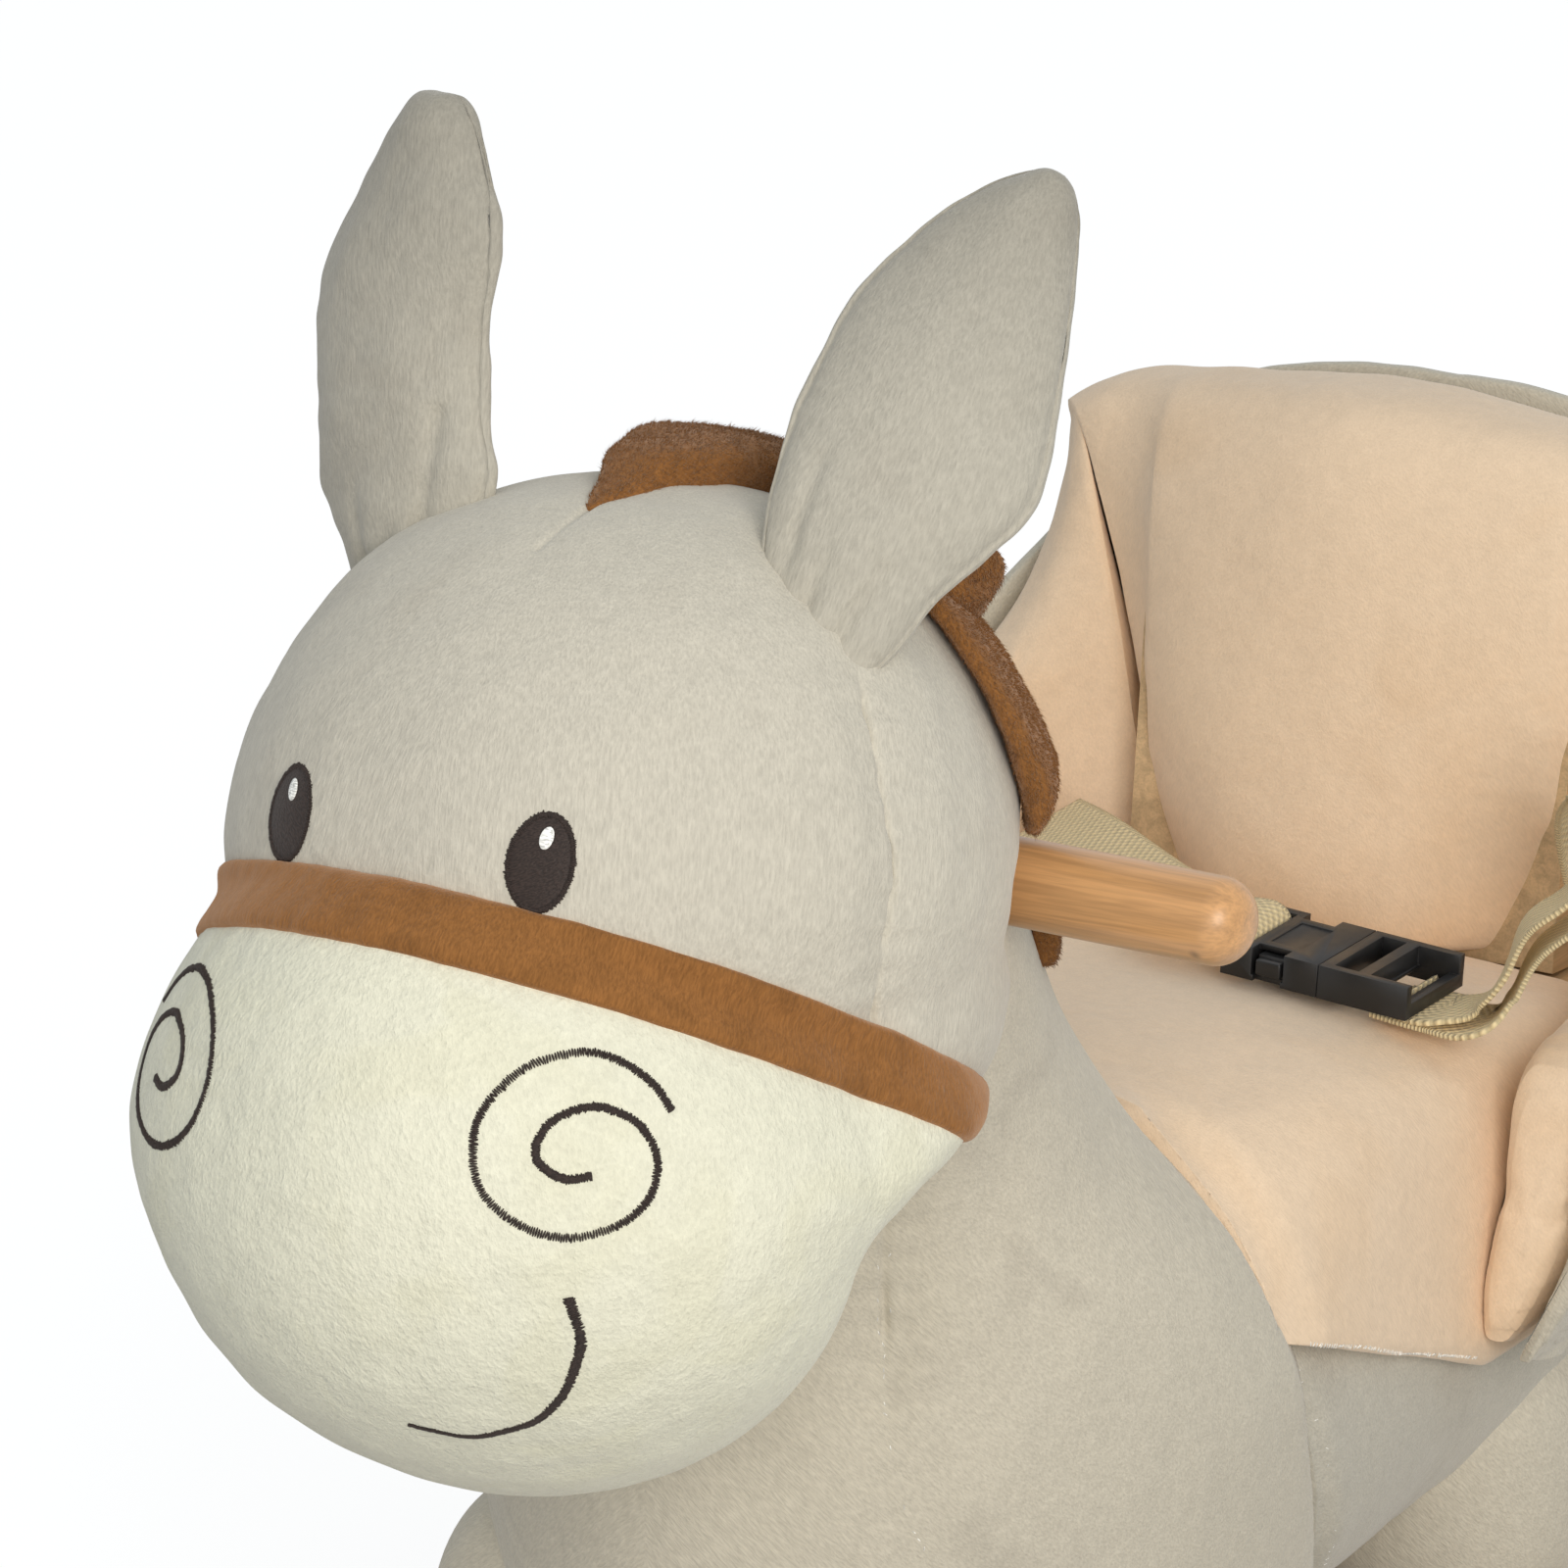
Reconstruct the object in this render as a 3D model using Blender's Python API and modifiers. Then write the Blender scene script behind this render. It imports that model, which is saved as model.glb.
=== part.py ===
"""Plush rocking donkey: a stuffed ride-on animal with a bucket seat on a wooden rocker base.

The donkey faces -Y, its left side is +X and the floor is Z = 0, with the origin under the middle
of the rockers. All sizes are in metres.

Inside the stuffing a wooden frame carries the load: four leg posts stand on two slats between the
rockers and hold up a seat board; a neck board with the handle bar through it and a back board
stand on that. The stuffed forms, the seat cushions and the lap belt are fitted round the frame.
"""
import math

import bmesh
import bpy
from mathutils import Matrix, Vector
from mathutils.bvhtree import BVHTree

# Clearance between pieces that touch
GAP = 0.0003

# Rocker base
ROCKER_LENGTH = 0.625
ROCKER_RADIUS = 0.750
ROCKER_DEPTH = 0.050
ROCKER_END_DEPTH = 0.034
ROCKER_THICKNESS = 0.015
ROCKER_SPACING = 0.260
REST_FLAT = 0.050
SLAT_TOP = 0.050
SLAT_THICKNESS = 0.015
SLAT_WIDTH = 0.064
LEG_SPREAD = 0.060
FRONT_LEG_Y = -0.083
REAR_LEG_Y = 0.165
FOOT_BAR_LENGTH = 0.330
FOOT_BAR_DIAMETER = 0.022
FOOT_BAR_Y = -0.012
FOOT_BAR_HEIGHT = 0.027
BOLT_DIAMETER = 0.006
BOLT_DEPTH = 0.030
BOLT_HEAD_DIAMETER = 0.014
BOLT_HEAD_HEIGHT = 0.004

# Wooden frame inside the stuffing
POST_SIDE = 0.022
POST_INSET = 0.005
POST_SETBACK = 0.011
LEG_SCREW_DIAMETER = 0.005
LEG_SCREW_DEPTH = 0.030
LEG_SCREW_HEAD_DIAMETER = 0.010
LEG_SCREW_HEAD_HEIGHT = 0.003
SEAT_BOARD_BOTTOM = 0.235
SEAT_BOARD_THICKNESS = 0.012
SEAT_BOARD_WIDTH = 0.140
SEAT_BOARD_FRONT = -0.096
SEAT_BOARD_BACK = 0.234
NECK_BOARD_THICKNESS = 0.015
NECK_BOARD_DEPTH = 0.072
NECK_BOARD_FOOT_Y = -0.078
NECK_BOARD_TOP = 0.412
NECK_BRACKET_WIDTH = 0.020
BACK_BOARD_THICKNESS = 0.012
BACK_BOARD_WIDTH = 0.132
BACK_BOARD_HEIGHT = 0.132
BACK_BOARD_FRONT_Y = 0.205
BACK_RECLINE = math.radians(6.0)
BACK_BRACKET_SPREAD = 0.045
BRACKET_WIDTH = 0.016
BRACKET_LEG = 0.013
BRACKET_HEIGHT = 0.030
BRACKET_THICKNESS = 0.002

# Handle bar
HANDLE_DIAMETER = 0.021
HANDLE_LENGTH = 0.276
HANDLE_END_RADIUS = 0.008
HANDLE_Y = -0.100
HANDLE_HEIGHT = 0.3645
HANDLE_SCREW_DIAMETER = 0.004
HANDLE_SCREW_HEAD_DIAMETER = 0.008

# Head: two stuffed egg shapes that meet in one slanting seam under the nose band
SKULL_CENTRE = Vector((0.0, -0.150, 0.377))
SKULL_HALF = Vector((0.093, 0.092, 0.084))
MUZZLE_CENTRE = Vector((0.0, -0.190, 0.320))
MUZZLE_HALF = Vector((0.0943, 0.088, 0.0872))
CHEEK_SWELL = 0.50
CHEEK_START = 0.25
JOWL_SWELL = 0.34
CHIN_TAPER = 0.70
CHIN_NARROW = 0.14
BRIDGE_TAPER = 0.20
SEAM_FRONT_Y = -0.244
SEAM_FRONT_HEIGHT = 0.3805
SEAM_SLOPE = math.radians(30.7)
NOSE_BAND_WIDTH = 0.016
NOSE_BAND_THICKNESS = 0.0030
NOSE_BAND_ROOT = 0.010
NOSE_BAND_REACH = math.radians(118.0)

# Ears, one entry for each side: where the tip stands from the middle of the ear's root
EAR_LEFT_ROOT = Vector((0.056, -0.1525, 0.439))
EAR_LEFT_TIP = Vector((0.024, 0.064, 0.087))
EAR_RIGHT_ROOT = Vector((-0.057, -0.1545, 0.441))
EAR_RIGHT_TIP = Vector((-0.003, 0.022, 0.097))
EAR_SIDE_BOW = 0.006
EAR_WIDTH = 0.060
EAR_THICKNESS = 0.019
EAR_FACING = Vector((0.24, -0.89, 0.10))

# Neck and chest, rows up the form: height, middle y, half width, half depth
CHEST_ROWS = (
    (0.116, -0.010, 0.062, 0.080),
    (0.123, -0.011, 0.084, 0.104),
    (0.140, -0.013, 0.097, 0.120),
    (0.190, -0.014, 0.103, 0.128),
    (0.220, -0.020, 0.103, 0.122),
    (0.250, -0.040, 0.096, 0.102),
    (0.280, -0.067, 0.083, 0.080),
    (0.310, -0.088, 0.076, 0.070),
    (0.340, -0.103, 0.073, 0.066),
    (0.370, -0.113, 0.070, 0.063),
    (0.400, -0.120, 0.060, 0.054),
)

# Trunk, rows from chest to rump: y, middle height, half width, half height
TRUNK_ROWS = (
    (-0.040, 0.184, 0.101, 0.070),
    (0.000, 0.184, 0.101, 0.074),
    (0.050, 0.184, 0.100, 0.077),
    (0.110, 0.184, 0.099, 0.078),
    (0.170, 0.187, 0.099, 0.077),
    (0.225, 0.190, 0.095, 0.069),
    (0.258, 0.186, 0.079, 0.051),
    (0.276, 0.185, 0.051, 0.034),
    (0.283, 0.185, 0.020, 0.015),
)
SHOULDER_SEAM_HEIGHT = 0.214
SHOULDER_SEAM_LEAN = 0.39

# Legs and hooves
FRONT_LEG_RADIUS = 0.036
REAR_LEG_RADIUS = 0.043
LEG_ANKLE_RADIUS = 0.030
LEG_TOP = 0.180
HOOF_TOP = 0.080
HOOF_RADIUS = 0.035

# Mane tufts that fall to the donkey's left, rows: angle round from the back of the head,
# height above the middle of the skull, half width
TUFT_THICKNESS = 0.010
TUFTS = {
    "mane_tuft_top": ((8, 0.070, 0.009), (22, 0.069, 0.011), (36, 0.065, 0.012), (50, 0.058, 0.011)),
    "mane_tuft_long": ((8, 0.041, 0.009), (28, 0.041, 0.012), (48, 0.037, 0.013), (66, 0.024, 0.013),
                       (77, 0.010, 0.012)),
    "mane_tuft_middle": ((4, 0.012, 0.009), (18, 0.012, 0.011), (32, 0.009, 0.011), (44, 0.003, 0.009)),
}
NECK_TUFT = ((5, 0.340, 0.009), (28, 0.340, 0.011), (50, 0.338, 0.011), (69, 0.337, 0.008))
FORELOCK_HALF_THICKNESS = 0.008
FORELOCK_OUTLINE = ((-0.171, 0.455), (-0.159, 0.4615), (-0.142, 0.4675), (-0.115, 0.4685), (-0.088, 0.462),
                    (-0.070, 0.449), (-0.068, 0.434), (-0.090, 0.432), (-0.120, 0.439), (-0.150, 0.447))

# Seat cushion: crowned saddle between the shoulder seam and the back
SEAT_FRONT = -0.034
SEAT_WING_Y = 0.095
SEAT_BACK = 0.196
SEAT_FRONT_TOP = 0.2875
SEAT_WING_TOP = 0.2735
SEAT_BACK_TOP = 0.253
SEAT_FRONT_HEM = 0.228
SEAT_WING_HEM = 0.184
SEAT_SEAM_Y = -0.013
SEAT_SEAM_LEAN = 0.127
SEAT_FRONT_HALF_WIDTH = 0.1055
SEAT_WING_HALF_WIDTH = 0.107

# Bucket back: one plan line, straight along each wing and turned round two corners
BUCKET_FRONT = 0.088
BUCKET_CORNER_Y = 0.178
BUCKET_CORNER_RADIUS = 0.075
BUCKET_HALF_WIDTH = 0.140
BUCKET_RECLINE = 0.12
BUCKET_LEVEL = 0.240
CREASE_RUN = 0.091
CREASE_CLEARANCE = 0.0012
CREASE_LEAN = 0.50
CREASE_LEVEL = 0.315
CREASE_SPREAD = 0.064
COVER_THICKNESS = 0.006
WING_THICKNESS = 0.033
WING_BOTTOM = 0.182
WING_FLOOR_RISE = 0.020
WING_FRONT_TOP = 0.273
WING_BACK_TOP = 0.380
BACK_CENTRE_TOP = 0.404
BACK_PAD_THICKNESS = 0.071
COVER_DROP = 0.012

# Lap belt and its side-release buckle
WEBBING_WIDTH = 0.025
WEBBING_THICKNESS = 0.0014
BUCKLE_WIDTH = 0.032
BUCKLE_THICKNESS = 0.009
BUCKLE_WALL = 0.0016
SOCKET_LENGTH = 0.028
SOCKET_DEPTH = 0.019
FRAME_LENGTH = 0.026
PRONG_WIDTH = 0.0042
PRONG_LENGTH = 0.0175
GUIDE_WIDTH = 0.003
STRAP_CLEARANCE = 0.0012
SLOT_MIDDLE = 0.0045
FRAME_BAR_MIDDLE = 0.0193
BUCKLE_MOUTH = Vector((0.0575, 0.1015, 0.2807))
BUCKLE_PITCH = math.radians(3.4)
FAR_STRAP_POINTS = ((-0.079, 0.1810, 0.2730), (-0.055, 0.1620, 0.2770), (-0.020, 0.1350, 0.2790))
FAR_STRAP_TURNS = ((0.40, 0.75, 0.35), (0.35, 0.85, 0.25), (0.15, 1.00, 0.12))
NEAR_STRAP_POINTS = (
    (0.0850, 0.187, 0.2800), (0.0900, 0.172, 0.3020), (0.1000, 0.157, 0.3240), (0.1160, 0.142, 0.3320),
    (0.1270, 0.128, 0.3240), (0.1220, 0.117, 0.3080), (0.1125, 0.112, 0.2960), (0.1055, 0.108, 0.2830),
    (0.0975, 0.1055, 0.2785),
)
NEAR_STRAP_TURNS = (
    (-0.10, 0.10, 1.0), (0.10, 0.30, 0.90), (0.30, 0.60, 0.70), (0.35, 0.80, 0.45), (0.10, 0.95, 0.20),
    (-0.45, 0.85, -0.15), (-0.45, 0.88, -0.12), (-0.35, 0.92, -0.02), (-0.15, 1.0, 0.0),
)
STRAP_TAIL_POINTS = ((0.1400, 0.1200, 0.3160), (0.1290, 0.1160, 0.3030), (0.1170, 0.1115, 0.2905),
                     (0.1090, 0.1055, 0.2800), (0.1015, 0.1010, 0.2745))
STRAP_TAIL_TURNS = ((-0.35, 0.90, -0.10), (-0.45, 0.85, -0.15), (-0.45, 0.88, -0.12), (-0.35, 0.92, -0.02),
                    (-0.10, 1.0, 0.05))

# Tail
TAIL_RADIUS = 0.007
TAIL_ROUTE = ((0.2680, 0.206), (0.2830, 0.207), (0.2905, 0.200), (0.2930, 0.185), (0.2915, 0.165))

UP = Vector((0.0, 0.0, 1.0))
SIDE = Vector((1.0, 0.0, 0.0))
BACKWARD = Vector((0.0, 1.0, 0.0))


def start_collections():
    """Empty the scene and make one collection for the pieces and one for the cutters."""
    for old in list(bpy.data.objects):
        bpy.data.objects.remove(old, do_unlink=True)
    made = []
    for name in ("rocking_donkey", "cutters"):
        group = bpy.data.collections.new(name)
        bpy.context.scene.collection.children.link(group)
        made.append(group)
    return made


PIECES, CUTTERS = start_collections()


def surface(name, colour, roughness, metallic=0.0):
    """A plain material with one colour."""
    made = bpy.data.materials.new(name)
    made.use_nodes = True
    shader = made.node_tree.nodes["Principled BSDF"]
    shader.inputs["Base Color"].default_value = (*colour, 1.0)
    shader.inputs["Roughness"].default_value = roughness
    shader.inputs["Metallic"].default_value = metallic
    made.diffuse_color = (*colour, 1.0)
    return made


GREY_PLUSH = surface("grey_plush", (0.56, 0.52, 0.47), 0.95)
CREAM_PLUSH = surface("cream_plush", (0.86, 0.84, 0.70), 0.95)
BROWN_PLUSH = surface("brown_plush", (0.24, 0.11, 0.04), 0.95)
PEACH_PLUSH = surface("peach_plush", (0.85, 0.62, 0.42), 0.95)
BIRCH = surface("birch", (0.72, 0.53, 0.32), 0.55)
PLYWOOD = surface("plywood", (0.66, 0.50, 0.33), 0.65)
HANDLE_WOOD = surface("handle_wood", (0.58, 0.34, 0.15), 0.45)
STEEL = surface("zinc_steel", (0.62, 0.62, 0.60), 0.35, 1.0)
WEBBING = surface("tan_webbing", (0.72, 0.58, 0.33), 0.85)
BLACK_PLASTIC = surface("black_plastic", (0.02, 0.02, 0.022), 0.4)


def piece_from(name, bm, material, group=PIECES):
    """Turn an edited mesh into a named object with one material."""
    bmesh.ops.recalc_face_normals(bm, faces=bm.faces)
    mesh = bpy.data.meshes.new(name)
    bm.to_mesh(mesh)
    bm.free()
    made = bpy.data.objects.new(name, mesh)
    group.objects.link(made)
    if material:
        mesh.materials.append(material)
    if group is CUTTERS:
        made.hide_render = True
        made.display_type = "WIRE"
    return made


def smooth(piece, angle=40.0):
    """Shade a round piece smooth and keep the edges that are sharper than an angle."""
    piece.data.shade_smooth()
    piece.data.set_sharp_from_angle(angle=math.radians(angle))
    return piece


def block(name, low, high, material=None, group=PIECES, bevel=0.0, turn=None):
    """A box between two corners, with softened edges and an optional turn about the origin."""
    low, high = Vector(low), Vector(high)
    bm = bmesh.new()
    size = Matrix.Diagonal((*(high - low), 1.0))
    bmesh.ops.create_cube(bm, size=1.0, matrix=Matrix.Translation((low + high) / 2) @ size)
    if turn:
        bmesh.ops.transform(bm, matrix=turn, verts=bm.verts)
    made = piece_from(name, bm, material, group)
    if bevel:
        edge = made.modifiers.new("edge", "BEVEL")
        edge.width = bevel
        edge.segments = 1
    return made


def cylinder(name, start, end, radius, material=None, group=PIECES, sides=20):
    """A capped cylinder from one point to another."""
    start, end = Vector(start), Vector(end)
    along = end - start
    bm = bmesh.new()
    place = Matrix.Translation((start + end) / 2) @ along.to_track_quat("Z", "Y").to_matrix().to_4x4()
    bmesh.ops.create_cone(bm, cap_ends=True, segments=sides, radius1=radius, radius2=radius,
                          depth=along.length, matrix=place)
    made = piece_from(name, bm, material, group)
    return smooth(made) if material else made


def turned(name, profile, place, material, steps=20):
    """Turn a profile of (radius, height) points, listed from top to bottom, about its own Z axis."""
    mesh = bpy.data.meshes.new(name)
    points = [(radius, 0.0, height) for radius, height in profile]
    mesh.from_pydata(points, [(i, i + 1) for i in range(len(points) - 1)], [])
    made = bpy.data.objects.new(name, mesh)
    PIECES.objects.link(made)
    mesh.materials.append(material)
    made.matrix_world = place
    screw = made.modifiers.new("turn", "SCREW")
    screw.steps = screw.render_steps = steps
    screw.use_merge_vertices = True
    screw.merge_threshold = 0.00005
    screw.use_smooth_shade = True
    return made


def cut(piece, cutter):
    """Take a hidden cutter away from a piece."""
    boolean = piece.modifiers.new("cut", "BOOLEAN")
    boolean.operation = "DIFFERENCE"
    boolean.object = cutter
    return piece


def extruded(name, outline, thickness, material=None, middle_x=0.0, edge=0.0, group=PIECES):
    """A flat outline of (y, z) points, extruded along X as a mesh with its rim welded."""
    curve = bpy.data.curves.new(name, "CURVE")
    curve.dimensions = "2D"
    curve.fill_mode = "BOTH"
    curve.extrude = thickness / 2
    spline = curve.splines.new("POLY")
    spline.points.add(len(outline) - 1)
    for point, (y, z) in zip(spline.points, outline):
        point.co = (y, z, 0.0, 1.0)
    spline.use_cyclic_u = True
    flat = bpy.data.objects.new(name + "_outline", curve)
    PIECES.objects.link(flat)
    bpy.context.view_layer.update()
    mesh = bpy.data.meshes.new_from_object(flat.evaluated_get(bpy.context.evaluated_depsgraph_get()))
    bpy.data.objects.remove(flat, do_unlink=True)
    bm = bmesh.new()
    bm.from_mesh(mesh)
    bpy.data.meshes.remove(mesh)
    bmesh.ops.remove_doubles(bm, verts=bm.verts, dist=0.00001)
    bmesh.ops.dissolve_limit(bm, angle_limit=math.radians(1.0), verts=bm.verts, edges=bm.edges)
    stand = Matrix(((0, 0, 1, middle_x), (1, 0, 0, 0), (0, 1, 0, 0), (0, 0, 0, 1)))
    bmesh.ops.transform(bm, matrix=stand, verts=bm.verts)
    made = piece_from(name, bm, material, group)
    if edge:
        bevel = made.modifiers.new("edge", "BEVEL")
        bevel.width = edge
        bevel.segments = 1
        bevel.limit_method = "ANGLE"
        bevel.angle_limit = math.radians(50.0)
    return made


def between(rows, count):
    """Read a number of rows from the smooth curve that runs through a few given rows."""
    last = len(rows) - 1
    out = []
    for i in range(count):
        place = i * last / (count - 1)
        k = min(int(place), last - 1)
        t = place - k
        near = [rows[min(max(k + j, 0), last)] for j in (-1, 0, 1, 2)]
        out.append([q + t * (r - p) / 2 + t * t * (2 * p - 5 * q + 4 * r - s) / 2
                    + t ** 3 * (3 * q - p - 3 * r + s) / 2 for p, q, r, s in zip(*near)])
    return out


def ring(centre, across, along, half_across, half_along, sides, power=2.0):
    """A closed ring of points; power 2 is an ellipse and a larger one is squarer."""
    points = []
    for i in range(sides):
        turn = 2 * math.pi * i / sides
        c, s = math.cos(turn), math.sin(turn)
        points.append(centre + across * (half_across * math.copysign(abs(c) ** (2 / power), c))
                      + along * (half_along * math.copysign(abs(s) ** (2 / power), s)))
    return points


def loft(name, rings, material=None, group=PIECES, soften=0, tight=()):
    """Skin a row of rings into one closed solid; a coarse cage is subdivided, with tight end rings creased."""
    bm = bmesh.new()
    crease = bm.edges.layers.float.new("crease_edge")
    rows = [[bm.verts.new(point) for point in points] for points in rings]
    for low, high in zip(rows, rows[1:]):
        for i in range(len(low)):
            j = (i + 1) % len(low)
            bm.faces.new((low[i], low[j], high[j], high[i]))
    caps = {0: bm.faces.new(rows[0]), -1: bm.faces.new(rows[-1])}
    for end in tight:
        for edge in caps[end].edges:
            edge[crease] = 1.0
    made = piece_from(name, bm, material, group)
    if soften:
        rounding = made.modifiers.new("soften", "SUBSURF")
        rounding.levels = rounding.render_levels = soften
    return smooth(made, 60.0) if material else made


def slice_off(piece, point, normal):
    """Cut a closed piece at a plane, drop what lies on the normal's side and close the cut."""
    bm = bmesh.new()
    bm.from_mesh(piece.data)
    bmesh.ops.triangulate(bm, faces=[face for face in bm.faces if len(face.verts) == 4], quad_method="FIXED")
    bmesh.ops.bisect_plane(bm, geom=bm.verts[:] + bm.edges[:] + bm.faces[:], dist=0.000001,
                           plane_co=point, plane_no=normal, clear_outer=True)
    rim = [edge for edge in bm.edges if edge.is_boundary]
    bmesh.ops.edgeloop_fill(bm, edges=rim)
    bmesh.ops.recalc_face_normals(bm, faces=bm.faces)
    bm.to_mesh(piece.data)
    bm.free()
    return piece


def unit_section(sides, power=2.0):
    """Cage corners round a section whose finished, subdivided outline just reaches 1 on both axes."""
    raw = []
    for i in range(sides):
        turn = 2 * math.pi * i / sides
        raw.append([math.copysign(abs(f(turn)) ** (2 / power), f(turn)) for f in (math.cos, math.sin)])
    reach = [0.0, 0.0]
    for i in range(sides):
        a, b, c, d = (raw[(i + k) % sides] for k in (-1, 0, 1, 2))
        for k in (0, 1):
            corner = (a[k] + 4 * b[k] + c[k]) / 6
            middle = (a[k] + 23 * b[k] + 23 * c[k] + d[k]) / 48
            reach[k] = max(reach[k], abs(corner), abs(middle))
    return [(c / reach[0], s / reach[1]) for c, s in raw]


# Rocker base


def rocker_outline():
    """Bow-shaped board: two arcs about one centre, round ends and a short flat to rest on."""
    half_turn = math.asin((ROCKER_LENGTH / 2 - ROCKER_END_DEPTH / 2) / ROCKER_RADIUS)
    flat_turn = math.asin(REST_FLAT / 2 / ROCKER_RADIUS)
    centre = Vector((0.0, ROCKER_RADIUS * math.cos(flat_turn)))

    def spoke(turn, radius):
        return centre + radius * Vector((math.sin(turn), -math.cos(turn)))

    def inner_radius(turn):
        taper = (turn / half_turn) ** 2
        return ROCKER_RADIUS - ROCKER_DEPTH + (ROCKER_DEPTH - ROCKER_END_DEPTH) * taper

    steps = 9
    swing = [flat_turn + (half_turn - flat_turn) * i / steps for i in range(steps + 1)]
    lower = [spoke(-turn, ROCKER_RADIUS) for turn in reversed(swing)] + [spoke(t, ROCKER_RADIUS) for t in swing]
    upper = [spoke(turn, inner_radius(turn)) for turn in reversed(swing)]
    upper += [spoke(-turn, inner_radius(turn)) for turn in swing]
    ends = []
    for side in (1, -1):
        middle = spoke(side * half_turn, ROCKER_RADIUS - ROCKER_END_DEPTH / 2)
        outward = spoke(side * half_turn, ROCKER_RADIUS) - middle
        tip = []
        for i in range(1, 6):
            turn = side * math.pi * i / 6
            tip.append(middle + Matrix.Rotation(turn, 2) @ outward)
        ends.append(tip)
    return lower + ends[0] + upper + list(reversed(ends[1]))


def rocker_base():
    """Two rockers, two slats, the foot bar through the rockers and the bolts that hold them."""
    inside = ROCKER_SPACING / 2 - ROCKER_THICKNESS / 2
    outside = inside + ROCKER_THICKNESS
    bore = FOOT_BAR_DIAMETER / 2 + GAP
    bar = Vector((0.0, FOOT_BAR_Y, FOOT_BAR_HEIGHT))
    slat_middle = SLAT_TOP - SLAT_THICKNESS / 2
    for side, name in ((1, "left"), (-1, "right")):
        rocker = extruded("rocker_" + name, rocker_outline(), ROCKER_THICKNESS, BIRCH,
                          side * ROCKER_SPACING / 2, edge=0.002)
        reach = SIDE * (outside + 0.01)
        cut(rocker, cylinder("foot_bar_bore_" + name, bar + side * SIDE * (inside - 0.01), bar + side * reach,
                             bore, group=CUTTERS))
        for end, y in (("front", FRONT_LEG_Y), ("rear", REAR_LEG_Y)):
            hole = Vector((0.0, y, slat_middle))
            cut(rocker, cylinder(f"bolt_hole_{end}_{name}", hole + side * SIDE * (inside - 0.01),
                                 hole + side * reach, BOLT_DIAMETER / 2 + GAP, group=CUTTERS, sides=12))
    for end, y in (("front", FRONT_LEG_Y), ("rear", REAR_LEG_Y)):
        slat = block(end + "_slat", (-inside + GAP, y - SLAT_WIDTH / 2, SLAT_TOP - SLAT_THICKNESS),
                     (inside - GAP, y + SLAT_WIDTH / 2, SLAT_TOP), BIRCH, bevel=0.0015)
        for side, name in ((1, "left"), (-1, "right")):
            hole = Vector((0.0, y, slat_middle))
            cut(slat, cylinder(f"slat_hole_{end}_{name}", hole + side * SIDE * (outside - BOLT_DEPTH - 2 * GAP),
                               hole + side * SIDE * (inside + 0.01), BOLT_DIAMETER / 2 + GAP,
                               group=CUTTERS, sides=12))
            rocker_bolt(f"rocker_bolt_{end}_{name}", hole, side, outside)
            post = post_foot(end, side)
            cut(slat, cylinder(f"screw_clearance_{end}_{name}", post + UP * (SLAT_TOP - SLAT_THICKNESS - 0.01),
                               post + UP * (SLAT_TOP + 0.01), LEG_SCREW_DIAMETER / 2 + GAP,
                               group=CUTTERS, sides=12))
            leg_post(f"{end}_{name}", post)
    foot_bar()


def post_foot(end, side):
    """Where a leg post stands: a little inside and, in front, behind the middle of its stuffed leg."""
    y = FRONT_LEG_Y + POST_SETBACK if end == "front" else REAR_LEG_Y
    return Vector((side * (LEG_SPREAD - POST_INSET), y, 0.0))


def rocker_bolt(name, hole, side, outside):
    """A domed bolt through the rocker into the end of a slat."""
    head = BOLT_HEAD_DIAMETER / 2
    top = BOLT_HEAD_HEIGHT
    profile = [(0.0, top), (head * 0.6, top * 0.85), (head * 0.92, top * 0.45), (head, 0.0),
               (BOLT_DIAMETER / 2, 0.0), (BOLT_DIAMETER / 2, -BOLT_DEPTH), (0.0, -BOLT_DEPTH)]
    place = Matrix.Translation(hole + side * SIDE * (outside + GAP))
    return turned(name, profile, place @ Matrix.Rotation(side * math.pi / 2, 4, "Y"), STEEL, steps=12)


def leg_post(name, foot):
    """A square post from a slat to the seat board, with the screw that comes up through the slat."""
    half = POST_SIDE / 2
    post = block("leg_post_" + name, foot + Vector((-half, -half, SLAT_TOP + GAP)),
                 foot + Vector((half, half, SEAT_BOARD_BOTTOM - GAP)), BIRCH)
    start = SLAT_TOP - SLAT_THICKNESS
    cut(post, cylinder("screw_pilot_" + name, foot + UP * SLAT_TOP,
                       foot + UP * (start + LEG_SCREW_DEPTH + SLAT_THICKNESS + 2 * GAP),
                       LEG_SCREW_DIAMETER / 2 + GAP, group=CUTTERS, sides=12))
    head = LEG_SCREW_HEAD_DIAMETER / 2
    shank = LEG_SCREW_DIAMETER / 2
    length = LEG_SCREW_DEPTH + SLAT_THICKNESS
    profile = [(0.0, LEG_SCREW_HEAD_HEIGHT), (head * 0.7, LEG_SCREW_HEAD_HEIGHT * 0.8), (head, 0.0),
               (shank, 0.0), (shank, -length), (0.0, -length)]
    place = Matrix.Translation(foot + UP * (start - GAP)) @ Matrix.Rotation(math.pi, 4, "X")
    turned("leg_screw_" + name, profile, place, STEEL, steps=12)


def rounded_bar(name, middle, length, radius, end_radius, material, steps=24):
    """A dowel along X with rounded ends."""
    half = length / 2
    corner = [(radius - end_radius + end_radius * math.sin(math.pi / 2 * i / 4),
               half - end_radius + end_radius * math.cos(math.pi / 2 * i / 4)) for i in range(5)]
    profile = [(0.0, half)] + corner + [(r, -z) for r, z in reversed(corner)] + [(0.0, -half)]
    place = Matrix.Translation(middle) @ Matrix.Rotation(math.pi / 2, 4, "Y")
    return turned(name, profile, place, material, steps)


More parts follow.
